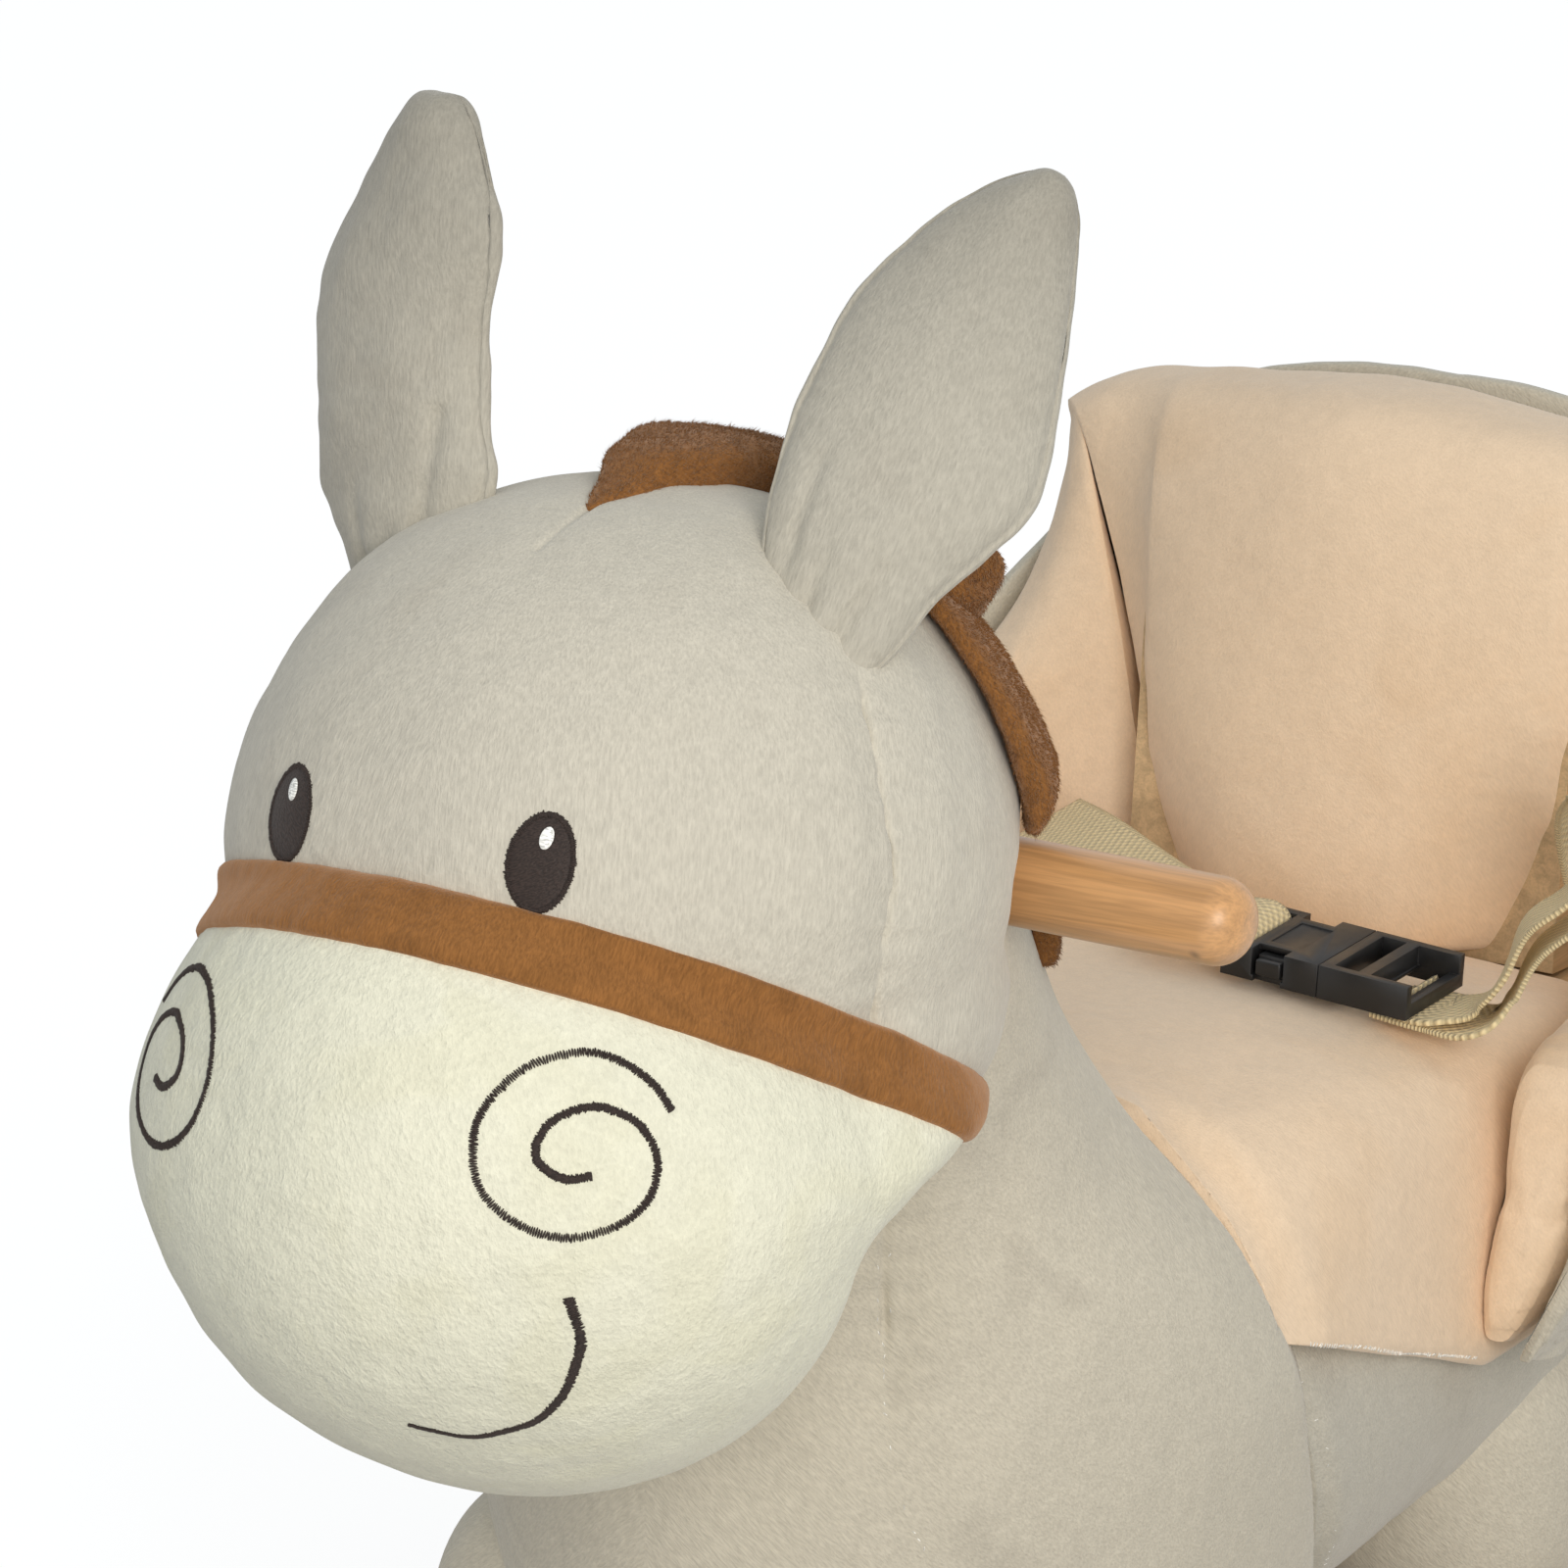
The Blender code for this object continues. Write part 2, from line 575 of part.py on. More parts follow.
def foot_bar():
    """The dowel for the feet, through both rockers."""
    rounded_bar("foot_rest_bar", Vector((0.0, FOOT_BAR_Y, FOOT_BAR_HEIGHT)), FOOT_BAR_LENGTH,
                FOOT_BAR_DIAMETER / 2, 0.003, BIRCH, steps=20)


# Wooden frame


def seat_board():
    """The board along the whole body that everything stands on."""
    half = SEAT_BOARD_WIDTH / 2
    return block("seat_board", (-half, SEAT_BOARD_FRONT, SEAT_BOARD_BOTTOM),
                 (half, SEAT_BOARD_BACK, SEAT_BOARD_BOTTOM + SEAT_BOARD_THICKNESS), PLYWOOD, bevel=0.0015)


def neck_outline(grow=0.0):
    """Side view of the neck board, from its foot to its round top."""
    floor = SEAT_BOARD_BOTTOM + SEAT_BOARD_THICKNESS + GAP
    half = NECK_BOARD_DEPTH / 2
    top = NECK_BOARD_TOP - half
    half += grow
    round_top = [(HANDLE_Y + half * math.cos(math.pi * i / 8), top + half * math.sin(math.pi * i / 8))
                 for i in range(9)]
    outline = [(NECK_BOARD_FOOT_Y - half, floor), (NECK_BOARD_FOOT_Y + half, floor)] + round_top
    if grow:
        below = floor - 10 * grow
        outline = outline[:1] + [(outline[0][0], below), (outline[1][0], below)] + outline[1:]
    return outline


def neck_board():
    """The upright board in the neck, bored for the handle bar."""
    board = extruded("neck_board", neck_outline(), NECK_BOARD_THICKNESS, PLYWOOD)
    reach = SIDE * NECK_BOARD_THICKNESS
    bar = Vector((0.0, HANDLE_Y, HANDLE_HEIGHT))
    cut(board, cylinder("handle_bore_board", bar - reach, bar + reach, HANDLE_DIAMETER / 2 + GAP,
                        group=CUTTERS, sides=24))
    screw = handle_screw_line()
    cut(board, cylinder("handle_screw_hole_board", *screw, HANDLE_SCREW_DIAMETER / 2 + GAP,
                        group=CUTTERS, sides=12))
    for side, name in ((1, "left"), (-1, "right")):
        angle_bracket("neck_bracket_" + name, side)
    return board


def handle_screw_seat():
    """How far behind the handle bar's axis the screw's head sits on the neck board's leaning edge."""
    foot = SEAT_BOARD_BOTTOM + SEAT_BOARD_THICKNESS
    top = NECK_BOARD_TOP - NECK_BOARD_DEPTH / 2
    low = HANDLE_HEIGHT - HANDLE_SCREW_HEAD_DIAMETER / 2
    lean = (HANDLE_Y - NECK_BOARD_FOOT_Y) / (top - foot)
    return NECK_BOARD_FOOT_Y + (low - foot) * lean - HANDLE_Y + NECK_BOARD_DEPTH / 2 + GAP


def handle_screw_line():
    """From the middle of the handle bar to behind the neck board's rear edge."""
    start = Vector((0.0, HANDLE_Y, HANDLE_HEIGHT))
    return start, start + BACKWARD * (handle_screw_seat() + 0.006)


def angle_bracket(name, side):
    """A steel angle between the seat board and one face of the neck board."""
    floor = SEAT_BOARD_BOTTOM + SEAT_BOARD_THICKNESS + GAP
    wall = NECK_BOARD_THICKNESS / 2 + GAP
    thick, leg, high = BRACKET_THICKNESS, BRACKET_LEG, BRACKET_HEIGHT
    outline = [(wall, floor), (wall + leg, floor), (wall + leg, floor + thick), (wall + thick, floor + thick),
               (wall + thick, floor + high), (wall, floor + high)]
    half = NECK_BRACKET_WIDTH / 2
    rings = [[Vector((side * x, NECK_BOARD_FOOT_Y + end * half, z)) for x, z in outline] for end in (-1, 1)]
    return smooth(loft(name, rings, STEEL), 20.0)


def back_tilt(y, z):
    """Lean a point back about the foot of the back board."""
    foot = Vector((0.0, BACK_BOARD_FRONT_Y, SEAT_BOARD_BOTTOM + SEAT_BOARD_THICKNESS))
    turn = Matrix.Rotation(-BACK_RECLINE, 4, "X")
    return foot + turn @ (Vector((0.0, y, z)) - foot)


def back_board_form(name, grow=0.0, group=PIECES):
    """The reclined board of the seat's back, with an arched top."""
    floor = SEAT_BOARD_BOTTOM + SEAT_BOARD_THICKNESS
    half = BACK_BOARD_WIDTH / 2 + grow
    lift = BACK_BOARD_THICKNESS * math.sin(BACK_RECLINE) + GAP - 12 * grow
    arch = [(half * math.cos(math.pi * i / 10),
             floor + grow + BACK_BOARD_HEIGHT * (0.72 + 0.28 * math.sin(math.pi * i / 10))) for i in range(11)]
    outline = [(-half, floor + lift), (half, floor + lift)] + arch
    rings = []
    for y in (BACK_BOARD_FRONT_Y - grow, BACK_BOARD_FRONT_Y + BACK_BOARD_THICKNESS + grow):
        rings.append([Vector((x, 0.0, 0.0)) + back_tilt(y, z) for x, z in outline])
    return loft(name, rings, PLYWOOD if group is PIECES else None, group)


def back_board():
    """The back's board and the two steel angles behind it."""
    floor = SEAT_BOARD_BOTTOM + SEAT_BOARD_THICKNESS
    lift = BACK_BOARD_THICKNESS * math.sin(BACK_RECLINE) + GAP
    board = smooth(back_board_form("back_board"), 20.0)
    rear = BACK_BOARD_FRONT_Y + BACK_BOARD_THICKNESS + GAP
    foot_y = back_tilt(rear, floor + lift).y + GAP
    for side, name in ((1, "left"), (-1, "right")):
        thick = BRACKET_THICKNESS
        top = back_tilt(rear, floor + BRACKET_HEIGHT)
        low = back_tilt(rear, floor + lift)
        outline = [(foot_y, floor + GAP), (foot_y + BRACKET_LEG, floor + GAP),
                   (foot_y + BRACKET_LEG, floor + GAP + thick), (low.y + thick + 2 * GAP, floor + GAP + thick),
                   (top.y + thick + GAP, top.z), (top.y + GAP, top.z)]
        middle = side * BACK_BRACKET_SPREAD
        rings = [[Vector((middle + end * BRACKET_WIDTH / 2, y, z)) for y, z in outline] for end in (-1, 1)]
        smooth(loft("back_bracket_" + name, rings, STEEL), 20.0)
    return board


def handle():
    """The handle bar through the neck board, held by one screw from behind."""
    middle = Vector((0.0, HANDLE_Y, HANDLE_HEIGHT))
    bar = rounded_bar("handle_bar", middle, HANDLE_LENGTH, HANDLE_DIAMETER / 2, HANDLE_END_RADIUS, HANDLE_WOOD)
    start, end = handle_screw_line()
    cut(bar, cylinder("handle_screw_hole_bar", start, end, HANDLE_SCREW_DIAMETER / 2 + GAP,
                      group=CUTTERS, sides=12))
    shank = HANDLE_SCREW_DIAMETER / 2
    head = HANDLE_SCREW_HEAD_DIAMETER / 2
    seat_y = handle_screw_seat()
    length = seat_y - 2 * GAP
    profile = [(0.0, 0.0022), (head * 0.75, 0.0018), (head, 0.0), (shank, 0.0), (shank, -length), (0.0, -length)]
    place = Matrix.Translation(middle + BACKWARD * seat_y)
    turned("handle_screw", profile, place @ Matrix.Rotation(-math.pi / 2, 4, "X"), STEEL, steps=12)


# Stuffed head


def seam_plane():
    """A point and the upward normal of the slanting seam between face and muzzle."""
    return (Vector((0.0, SEAM_FRONT_Y, SEAM_FRONT_HEIGHT)),
            Vector((0.0, math.sin(SEAM_SLOPE), math.cos(SEAM_SLOPE))))


def egg(centre, half, grow=0.0):
    """A stuffed egg shape: a sphere swelled at the cheeks or jowls and narrowed behind the chin."""
    bm = bmesh.new()
    bmesh.ops.create_uvsphere(bm, u_segments=24, v_segments=14, radius=1.0)
    for vert in bm.verts:
        x, y, z = vert.co
        if centre is SKULL_CENTRE:
            x *= 1.0 + CHEEK_SWELL * max(0.0, -z - CHEEK_START)
        else:
            fade = min(max((-z - 0.12) / 0.40, 0.0), 1.0)
            x *= (1.0 + JOWL_SWELL * max(0.0, y) * (1.0 - fade)) * (1.0 - BRIDGE_TAPER * max(0.0, z))
            x *= 1.0 - CHIN_NARROW * fade * min(max(y + 0.6, 0.0), 1.0)
            y *= 1.0 - CHIN_TAPER * fade * (y > 0.0)
        vert.co = (x, y, z)
    size = Matrix.Diagonal((*half, 1.0))
    bmesh.ops.transform(bm, matrix=Matrix.Translation(centre) @ size, verts=bm.verts)
    bm.normal_update()
    moves = [vert.normal * (grow * vert.calc_shell_factor()) for vert in bm.verts]
    for vert, move in zip(bm.verts, moves):
        vert.co += move
    bmesh.ops.triangulate(bm, faces=bm.faces, quad_method="FIXED")
    return bm


def skull_form(name, grow=0.0, material=None, group=PIECES):
    """The part of the upper egg that lies above the seam."""
    point, normal = seam_plane()
    form = piece_from(name, egg(SKULL_CENTRE, SKULL_HALF, grow), material, group)
    return slice_off(form, point - normal * (grow - GAP / 2), -normal)


def muzzle_form(name, grow=0.0, material=None, group=PIECES):
    """The part of the lower egg that lies below the seam."""
    point, normal = seam_plane()
    form = piece_from(name, egg(MUZZLE_CENTRE, MUZZLE_HALF, grow), material, group)
    return slice_off(form, point + normal * (grow - GAP / 2), normal)


def inner_wood_cutters(name):
    """Room for the neck board inside the stuffing."""
    return extruded("neck_slot_" + name, neck_outline(GAP), NECK_BOARD_THICKNESS + 2 * GAP, group=CUTTERS)


def screw_room(name):
    """Room for the handle screw's head behind the neck board."""
    start, end = handle_screw_line()
    return cylinder("screw_room_" + name, start, end, HANDLE_SCREW_HEAD_DIAMETER / 2 + GAP, group=CUTTERS, sides=16)


def handle_room(name):
    """Room for the handle bar inside the stuffing and the mane."""
    bar = Vector((0.0, HANDLE_Y, HANDLE_HEIGHT))
    reach = SIDE * HANDLE_LENGTH / 2
    return cylinder("handle_room_" + name, bar - reach, bar + reach, HANDLE_DIAMETER / 2 + GAP,
                    group=CUTTERS, sides=24)


def head():
    """Face, muzzle and the nose band over their seam."""
    face = skull_form("head", 0.0, GREY_PLUSH)
    smooth(face, 60.0)
    cut(face, inner_wood_cutters("head"))
    cut(face, screw_room("head"))
    cut(face, handle_room("head"))
    muzzle = muzzle_form("muzzle", 0.0, CREAM_PLUSH)
    smooth(muzzle, 60.0)
    cut(muzzle, inner_wood_cutters("muzzle"))
    cut(muzzle, handle_room("muzzle"))
    nose_band()


def egg_tree(centre, half):
    """A tree of an egg's faces, to find where a ray from inside leaves it."""
    bm = egg(centre, half)
    tree = BVHTree.FromBMesh(bm)
    bm.free()
    return tree


def nose_band():
    """A flat plush band round the face, laid over both sides of the seam."""
    point, normal = seam_plane()
    along = Vector((0.0, math.cos(SEAM_SLOPE), -math.sin(SEAM_SLOPE)))
    middle = point + along * (MUZZLE_HALF.y * 0.98)
    sides = 18
    trees = (egg_tree(SKULL_CENTRE, SKULL_HALF), egg_tree(MUZZLE_CENTRE, MUZZLE_HALF))
    rings = []
    for i in range(sides + 1):
        turn = NOSE_BAND_REACH * (2 * i / sides - 1)
        outward = SIDE * math.sin(turn) - along * math.cos(turn)
        edges = []
        for step in (-1, -0.4, 0.4, 1):
            base = middle + normal * (step * NOSE_BAND_WIDTH / 2)
            found = [tree.ray_cast(base, outward)[3] for tree in trees]
            edges.append((base, max(reach for reach in found if reach)))
        outer = [base + outward * (reach + NOSE_BAND_THICKNESS * (0.6 if k in (0, 3) else 1.0))
                 for k, (base, reach) in enumerate(edges)]
        inner = [base + outward * (reach - NOSE_BAND_ROOT) for base, reach in reversed(edges)]
        rings.append(outer + inner)
    band = loft("nose_band", rings, BROWN_PLUSH)
    seat_form = piece_from("band_seat", egg(SKULL_CENTRE, SKULL_HALF, GAP), None, CUTTERS)
    both = seat_form.modifiers.new("muzzle", "BOOLEAN")
    both.operation = "UNION"
    both.object = piece_from("band_seat_muzzle", egg(MUZZLE_CENTRE, MUZZLE_HALF, 2 * GAP), None, CUTTERS)
    return cut(band, seat_form)


def ear(name, side, root, tip):
    """A lightly stuffed leaf shape that stands on the skull."""
    along = tip.normalized()
    facing = Vector((side * EAR_FACING.x, EAR_FACING.y, EAR_FACING.z))
    facing = (facing - along * facing.dot(along)).normalized()
    across = along.cross(facing)
    rows = ((-0.10, 0.56, 0.9), (0.03, 0.70, 1.0), (0.20, 0.90, 1.0), (0.42, 1.0, 0.95),
            (0.64, 0.86, 0.85), (0.84, 0.58, 0.65), (0.97, 0.27, 0.40), (1.03, 0.07, 0.15))
    rings = []
    for place, width, depth in rows:
        bow = 4.0 * max(place, 0.0) * max(1.0 - place, 0.0)
        centre = root + tip * place - across * (EAR_SIDE_BOW * bow)
        rings.append([centre + across * (c * width * EAR_WIDTH / 2) + facing * (s * depth * EAR_THICKNESS / 2)
                      for c, s in unit_section(8)])
    made = loft(name, rings, GREY_PLUSH, soften=1)
    cut(made, piece_from("ear_seat_" + name, egg(SKULL_CENTRE, SKULL_HALF, GAP), None, CUTTERS))
    return made


# Stuffed body


def shoulder_seam(clear=0.0):
    """A point on and the backward normal of the seam between the chest and the trunk."""
    normal = Vector((0.0, 1.0, SHOULDER_SEAM_LEAN)).normalized()
    return Vector((0.0, 0.0, SHOULDER_SEAM_HEIGHT)) + normal * clear, normal


def chest_form(name, grow=0.0, material=None, group=PIECES):
    """Neck and chest in one stuffed form, cut behind at the shoulder seam."""
    rings = [ring(Vector((0.0, y, z)), SIDE, BACKWARD, half_width + grow, half_depth + grow, 22)
             for z, y, half_width, half_depth in between(CHEST_ROWS, 12)]
    point, normal = shoulder_seam(-GAP / 2)
    return slice_off(loft(name, rings, material, group), point, normal)


def trunk_form(name, grow=0.0, material=None, group=PIECES):
    """The barrel of the body, cut in front at the shoulder seam."""
    rings = [ring(Vector((0.0, y, z)), SIDE, UP, half_width + grow, half_height + grow, 20, 2.25)
             for y, z, half_width, half_height in between(TRUNK_ROWS, 10)]
    point, normal = shoulder_seam(GAP / 2 - grow)
    return slice_off(loft(name, rings, material, group), point, -normal)


def body():
    """Neck with chest, and trunk, with room for the wooden frame."""
    board_low = Vector((-SEAT_BOARD_WIDTH / 2, SEAT_BOARD_FRONT, SEAT_BOARD_BOTTOM)) - Vector((GAP, GAP, GAP))
    board_high = Vector((SEAT_BOARD_WIDTH / 2, SEAT_BOARD_BACK,
                         SEAT_BOARD_BOTTOM + SEAT_BOARD_THICKNESS)) + Vector((GAP, GAP, GAP))
    chest = chest_form("neck_and_chest", 0.0, GREY_PLUSH)
    cut(chest, skull_form("chest_seat_skull", GAP, group=CUTTERS))
    cut(chest, muzzle_form("chest_seat_muzzle", 3 * GAP, group=CUTTERS))
    cut(chest, block("board_room_chest", board_low, board_high + BACKWARD * 0.02, group=CUTTERS))
    cut(chest, inner_wood_cutters("chest"))
    cut(chest, screw_room("chest"))
    cut(chest, handle_room("chest"))
    seam, normal = seat_seam()
    turn = Matrix.Translation(seam) @ Matrix.Rotation(math.atan(SEAT_SEAM_LEAN), 4, "X")
    cut(chest, block("seat_cushion_room", (-0.2, 0.0, -GAP), (0.2, 0.2, 0.2), group=CUTTERS, turn=turn))
    room = NECK_BOARD_THICKNESS / 2 + BRACKET_LEG + 2 * GAP
    half = NECK_BRACKET_WIDTH / 2 + GAP
    floor = SEAT_BOARD_BOTTOM + SEAT_BOARD_THICKNESS
    cut(chest, block("bracket_room", (-room, NECK_BOARD_FOOT_Y - half, floor - 0.004),
                     (room, NECK_BOARD_FOOT_Y + half, floor + BRACKET_HEIGHT + 2 * GAP), group=CUTTERS))
    trunk = trunk_form("trunk", 0.0, GREY_PLUSH)
    slice_off(trunk, Vector((0.0, 0.0, SEAT_BOARD_BOTTOM - GAP)), UP)
    hole = POST_SIDE / 2 + GAP
    for end, form in (("front", chest), ("rear", trunk)):
        for side, name in ((1, "left"), (-1, "right")):
            foot = post_foot(end, side)
            cut(form, block(f"post_room_{end}_{name}", foot + Vector((-hole, -hole, 0.02)),
                            foot + Vector((hole, hole, SEAT_BOARD_BOTTOM + 0.005)), group=CUTTERS))
    return chest, trunk


def legs():
    """Four stuffed legs with hooves, sleeved over the posts and cut by the body above them."""
    hole = POST_SIDE / 2 + GAP
    foot = SLAT_TOP + GAP
    hoof_profile = [(0.0, HOOF_TOP), (HOOF_RADIUS - 0.007, HOOF_TOP), (HOOF_RADIUS - 0.002, HOOF_TOP - 0.006),
                    (HOOF_RADIUS, foot + 0.012), (HOOF_RADIUS - 0.003, foot + 0.003),
                    (HOOF_RADIUS - 0.006, foot), (0.0, foot)]
    for end, y, radius in (("front", FRONT_LEG_Y, FRONT_LEG_RADIUS), ("rear", REAR_LEG_Y, REAR_LEG_RADIUS)):
        dome = [(radius * math.sin(math.pi / 2 * i / 3), LEG_TOP - radius + radius * math.cos(math.pi / 2 * i / 3))
                for i in range(4)]
        leg_profile = dome + [(LEG_ANKLE_RADIUS + 0.002, HOOF_TOP + 0.008), (LEG_ANKLE_RADIUS, HOOF_TOP + GAP),
                              (0.0, HOOF_TOP + GAP)]
        for side, name in ((1, "left"), (-1, "right")):
            middle = Vector((side * LEG_SPREAD, y, 0.0))
            foot_place = post_foot(end, side)
            room = block(f"sleeve_{end}_{name}", foot_place + Vector((-hole, -hole, 0.02)),
                         foot_place + Vector((hole, hole, SEAT_BOARD_BOTTOM)), group=CUTTERS)
            leg = turned(f"leg_{end}_{name}", leg_profile, Matrix.Translation(middle), GREY_PLUSH, steps=14)
            hoof = turned(f"hoof_{end}_{name}", hoof_profile, Matrix.Translation(middle), BROWN_PLUSH, steps=14)
            if end == "front":
                cut(leg, chest_form("leg_seat_" + name, GAP, group=CUTTERS))
            else:
                cut(leg, trunk_form("haunch_seat_" + name, GAP, group=CUTTERS))
            cut(leg, room)
            cut(hoof, room)


def mane():
    """Forelock on the crown and padded tufts that fall round the head and neck."""
    middle_y = sum(y for y, z in FORELOCK_OUTLINE) / len(FORELOCK_OUTLINE)
    middle_z = sum(z for y, z in FORELOCK_OUTLINE) / len(FORELOCK_OUTLINE)
    rings = []
    for place, scale in ((-1.0, 0.72), (-0.45, 1.03), (0.45, 1.03), (1.0, 0.72)):
        rings.append([Vector((place * FORELOCK_HALF_THICKNESS, middle_y + (y - middle_y) * scale,
                              middle_z + (z - middle_z) * scale)) for y, z in FORELOCK_OUTLINE])
    forelock = loft("mane_forelock", rings, BROWN_PLUSH, soften=1)
    cut(forelock, piece_from("forelock_seat", egg(SKULL_CENTRE, SKULL_HALF, GAP), None, CUTTERS))
    for name, rows in TUFTS.items():
        places = [(on_egg(SKULL_CENTRE, SKULL_HALF, turn, rise), half_width) for turn, rise, half_width in rows]
        tuft = tuft_form(name, places)
        cut(tuft, piece_from("seat_" + name, egg(SKULL_CENTRE, SKULL_HALF, GAP), None, CUTTERS))
        cut(tuft, chest_form("neck_seat_" + name, GAP, group=CUTTERS))
        cut(tuft, handle_room(name))
    places = []
    for turn, z, half_width in NECK_TUFT:
        height, y, half_x, half_y = neck_row(z)
        places.append((on_egg(Vector((0.0, y, z)), Vector((half_x, half_y, 1000.0)), turn, 0.0), half_width))
    tuft = tuft_form("mane_tuft_neck", places)
    cut(tuft, chest_form("seat_mane_tuft_neck", GAP, group=CUTTERS))
    cut(tuft, skull_form("seat_mane_tuft_skull", GAP, group=CUTTERS))
    cut(tuft, handle_room("mane_tuft_neck"))


def neck_row(height):
    """The chest's row of sizes at a height."""
    rows = between(CHEST_ROWS, 120)
    return min(rows, key=lambda row: abs(row[0] - height))


def on_egg(centre, half, turn, rise):
    """A place on an egg and its outward direction, at an angle round from the back and a height."""
    turn = math.radians(turn)
    level = math.sqrt(1.0 - (rise / half.z) ** 2)
    reach = Vector((half.x * level * math.sin(turn), half.y * level * math.cos(turn), rise))
    outward = Vector((reach.x / half.x ** 2, reach.y / half.y ** 2, rise / half.z ** 2)).normalized()
    return centre + reach, outward


def tuft_form(name, places):
    """A padded tongue of plush that lies along places on a stuffed form."""
    rings = []
    for k, ((place, outward), half_width) in enumerate(places):
        ahead = places[min(k + 1, len(places) - 1)][0][0] - places[max(k - 1, 0)][0][0]
        across = outward.cross(ahead).normalized()
        middle = place + outward * (TUFT_THICKNESS / 2)
        rings.append([middle + across * (c * half_width) + outward * (s * (TUFT_THICKNESS / 2 + 0.001))
                      for c, s in unit_section(6, 2.6)])
    return loft(name, rings, BROWN_PLUSH, soften=1)


def tail():
    """A thin stuffed tail with a brown tuft."""
    route = [Vector((0.0, y, z)) for y, z in TAIL_ROUTE]
    rings = []
    for i, point in enumerate(route):
        run = (route[min(i + 1, len(route) - 1)] - route[max(i - 1, 0)]).normalized()
        rings.append(ring(point, SIDE, SIDE.cross(run), TAIL_RADIUS, TAIL_RADIUS, 10))
    made = loft("tail", rings, GREY_PLUSH)
    cut(made, trunk_form("tail_seat", GAP, group=CUTTERS))
    run = (route[-1] - route[-2]).normalized()
    start = route[-1] + run * (2 * GAP)
    tuft = [[start + run * reach + (SIDE * c + SIDE.cross(run) * s) * radius for c, s in unit_section(6)]
            for reach, radius in ((0.0, 0.006), (0.006, 0.011), (0.020, 0.014), (0.036, 0.011), (0.046, 0.004))]
    loft("tail_tuft", tuft, BROWN_PLUSH, soften=1, tight=(0,))


# Seat


def seat_section(y):
    """Top height, hem height, half width and the two powers of the cushion's arch at y."""
    t = min(max((y - SEAT_FRONT) / (SEAT_WING_Y - SEAT_FRONT), 0.0), 1.0)
    fall = min(max((y - SEAT_WING_Y) / (SEAT_BACK - SEAT_WING_Y), 0.0), 1.0)
    top = SEAT_FRONT_TOP + (SEAT_WING_TOP - SEAT_FRONT_TOP) * t + (SEAT_BACK_TOP - SEAT_WING_TOP) * fall ** 1.6
    hem = SEAT_FRONT_HEM + (SEAT_WING_HEM - SEAT_FRONT_HEM) * t
    half_width = SEAT_FRONT_HALF_WIDTH + (SEAT_WING_HALF_WIDTH - SEAT_FRONT_HALF_WIDTH) * t
    return top, hem, half_width, 4.0 + 4.0 * t, 1.2 + 2.8 * t


def seat_top(x, y):
    """Height of the cushion's upper surface at a place."""
    top, hem, half_width, across, upward = seat_section(y)
    return hem + (top - hem) * max(1.0 - abs(x / half_width) ** across, 0.0) ** (1.0 / upward)


def bucket_plan(distance, inset):
    """A place on the bucket's plan line, counted from the middle of the back, moved inwards."""
    side = math.copysign(1.0, distance)
    run = abs(distance)
    straight = BUCKET_HALF_WIDTH - BUCKET_CORNER_RADIUS
    arc = BUCKET_CORNER_RADIUS * math.pi / 2
    if run < straight:
        x, y, out_x, out_y = run, BUCKET_CORNER_Y + BUCKET_CORNER_RADIUS, 0.0, 1.0
    elif run < straight + arc:
        turn = (run - straight) / BUCKET_CORNER_RADIUS
        out_x, out_y = math.sin(turn), math.cos(turn)
        x = straight + BUCKET_CORNER_RADIUS * out_x
        y = BUCKET_CORNER_Y + BUCKET_CORNER_RADIUS * out_y
    else:
        x, y, out_x, out_y = BUCKET_HALF_WIDTH, BUCKET_CORNER_Y - (run - straight - arc), 1.0, 0.0
    return side * (x - inset * out_x), y - inset * out_y


def bucket_lean(y, z):
    """Lean the bucket backwards with height."""
    return y + (z - BUCKET_LEVEL) * BUCKET_RECLINE


def bucket_end():
    """Distance along the plan line from the middle of the back to the front of a wing."""
    straight = BUCKET_HALF_WIDTH - BUCKET_CORNER_RADIUS
    return straight + BUCKET_CORNER_RADIUS * math.pi / 2 + BUCKET_CORNER_Y - BUCKET_FRONT


def crease_shift(distance, z):
    """How far the crease between wing and back has moved outwards at a height."""
    weight = max(0.0, 1.0 - abs(abs(distance) - CREASE_RUN) / CREASE_SPREAD)
    return math.copysign(CREASE_LEAN * (z - CREASE_LEVEL) * weight, distance)


def rim_height(distance):
    """Height of the cushions' upper edge along the plan line."""
    run = abs(distance)
    if run < CREASE_RUN:
        return BACK_CENTRE_TOP - (BACK_CENTRE_TOP - WING_BACK_TOP) * (run / CREASE_RUN) ** 2
    t = min((run - CREASE_RUN) / (bucket_end() - CREASE_RUN), 1.0)
    return WING_FRONT_TOP + (WING_BACK_TOP - WING_FRONT_TOP) * (1.0 - t) ** 2.2


def wing_floor(distance):
    """Height of the lower edge of a wing, rising towards the back."""
    t = (bucket_end() - abs(distance)) / (bucket_end() - CREASE_RUN)
    return WING_BOTTOM + WING_FLOOR_RISE * min(max(t, 0.0), 1.0)


def back_floor(distance):
    """Height of the lower edge of the back cushion."""
    return SEAT_BOARD_BOTTOM + SEAT_BOARD_THICKNESS + GAP


def wing_depth(distance):
    """How thick a wing is at a distance along the plan line."""
    return WING_THICKNESS


def back_depth(distance):
    """How thick the back cushion is: fullest in the middle and level with the wings at the creases."""
    t = min(abs(distance) / CREASE_RUN, 1.0)
    return BACK_PAD_THICKNESS + (WING_THICKNESS - BACK_PAD_THICKNESS) * t ** 2


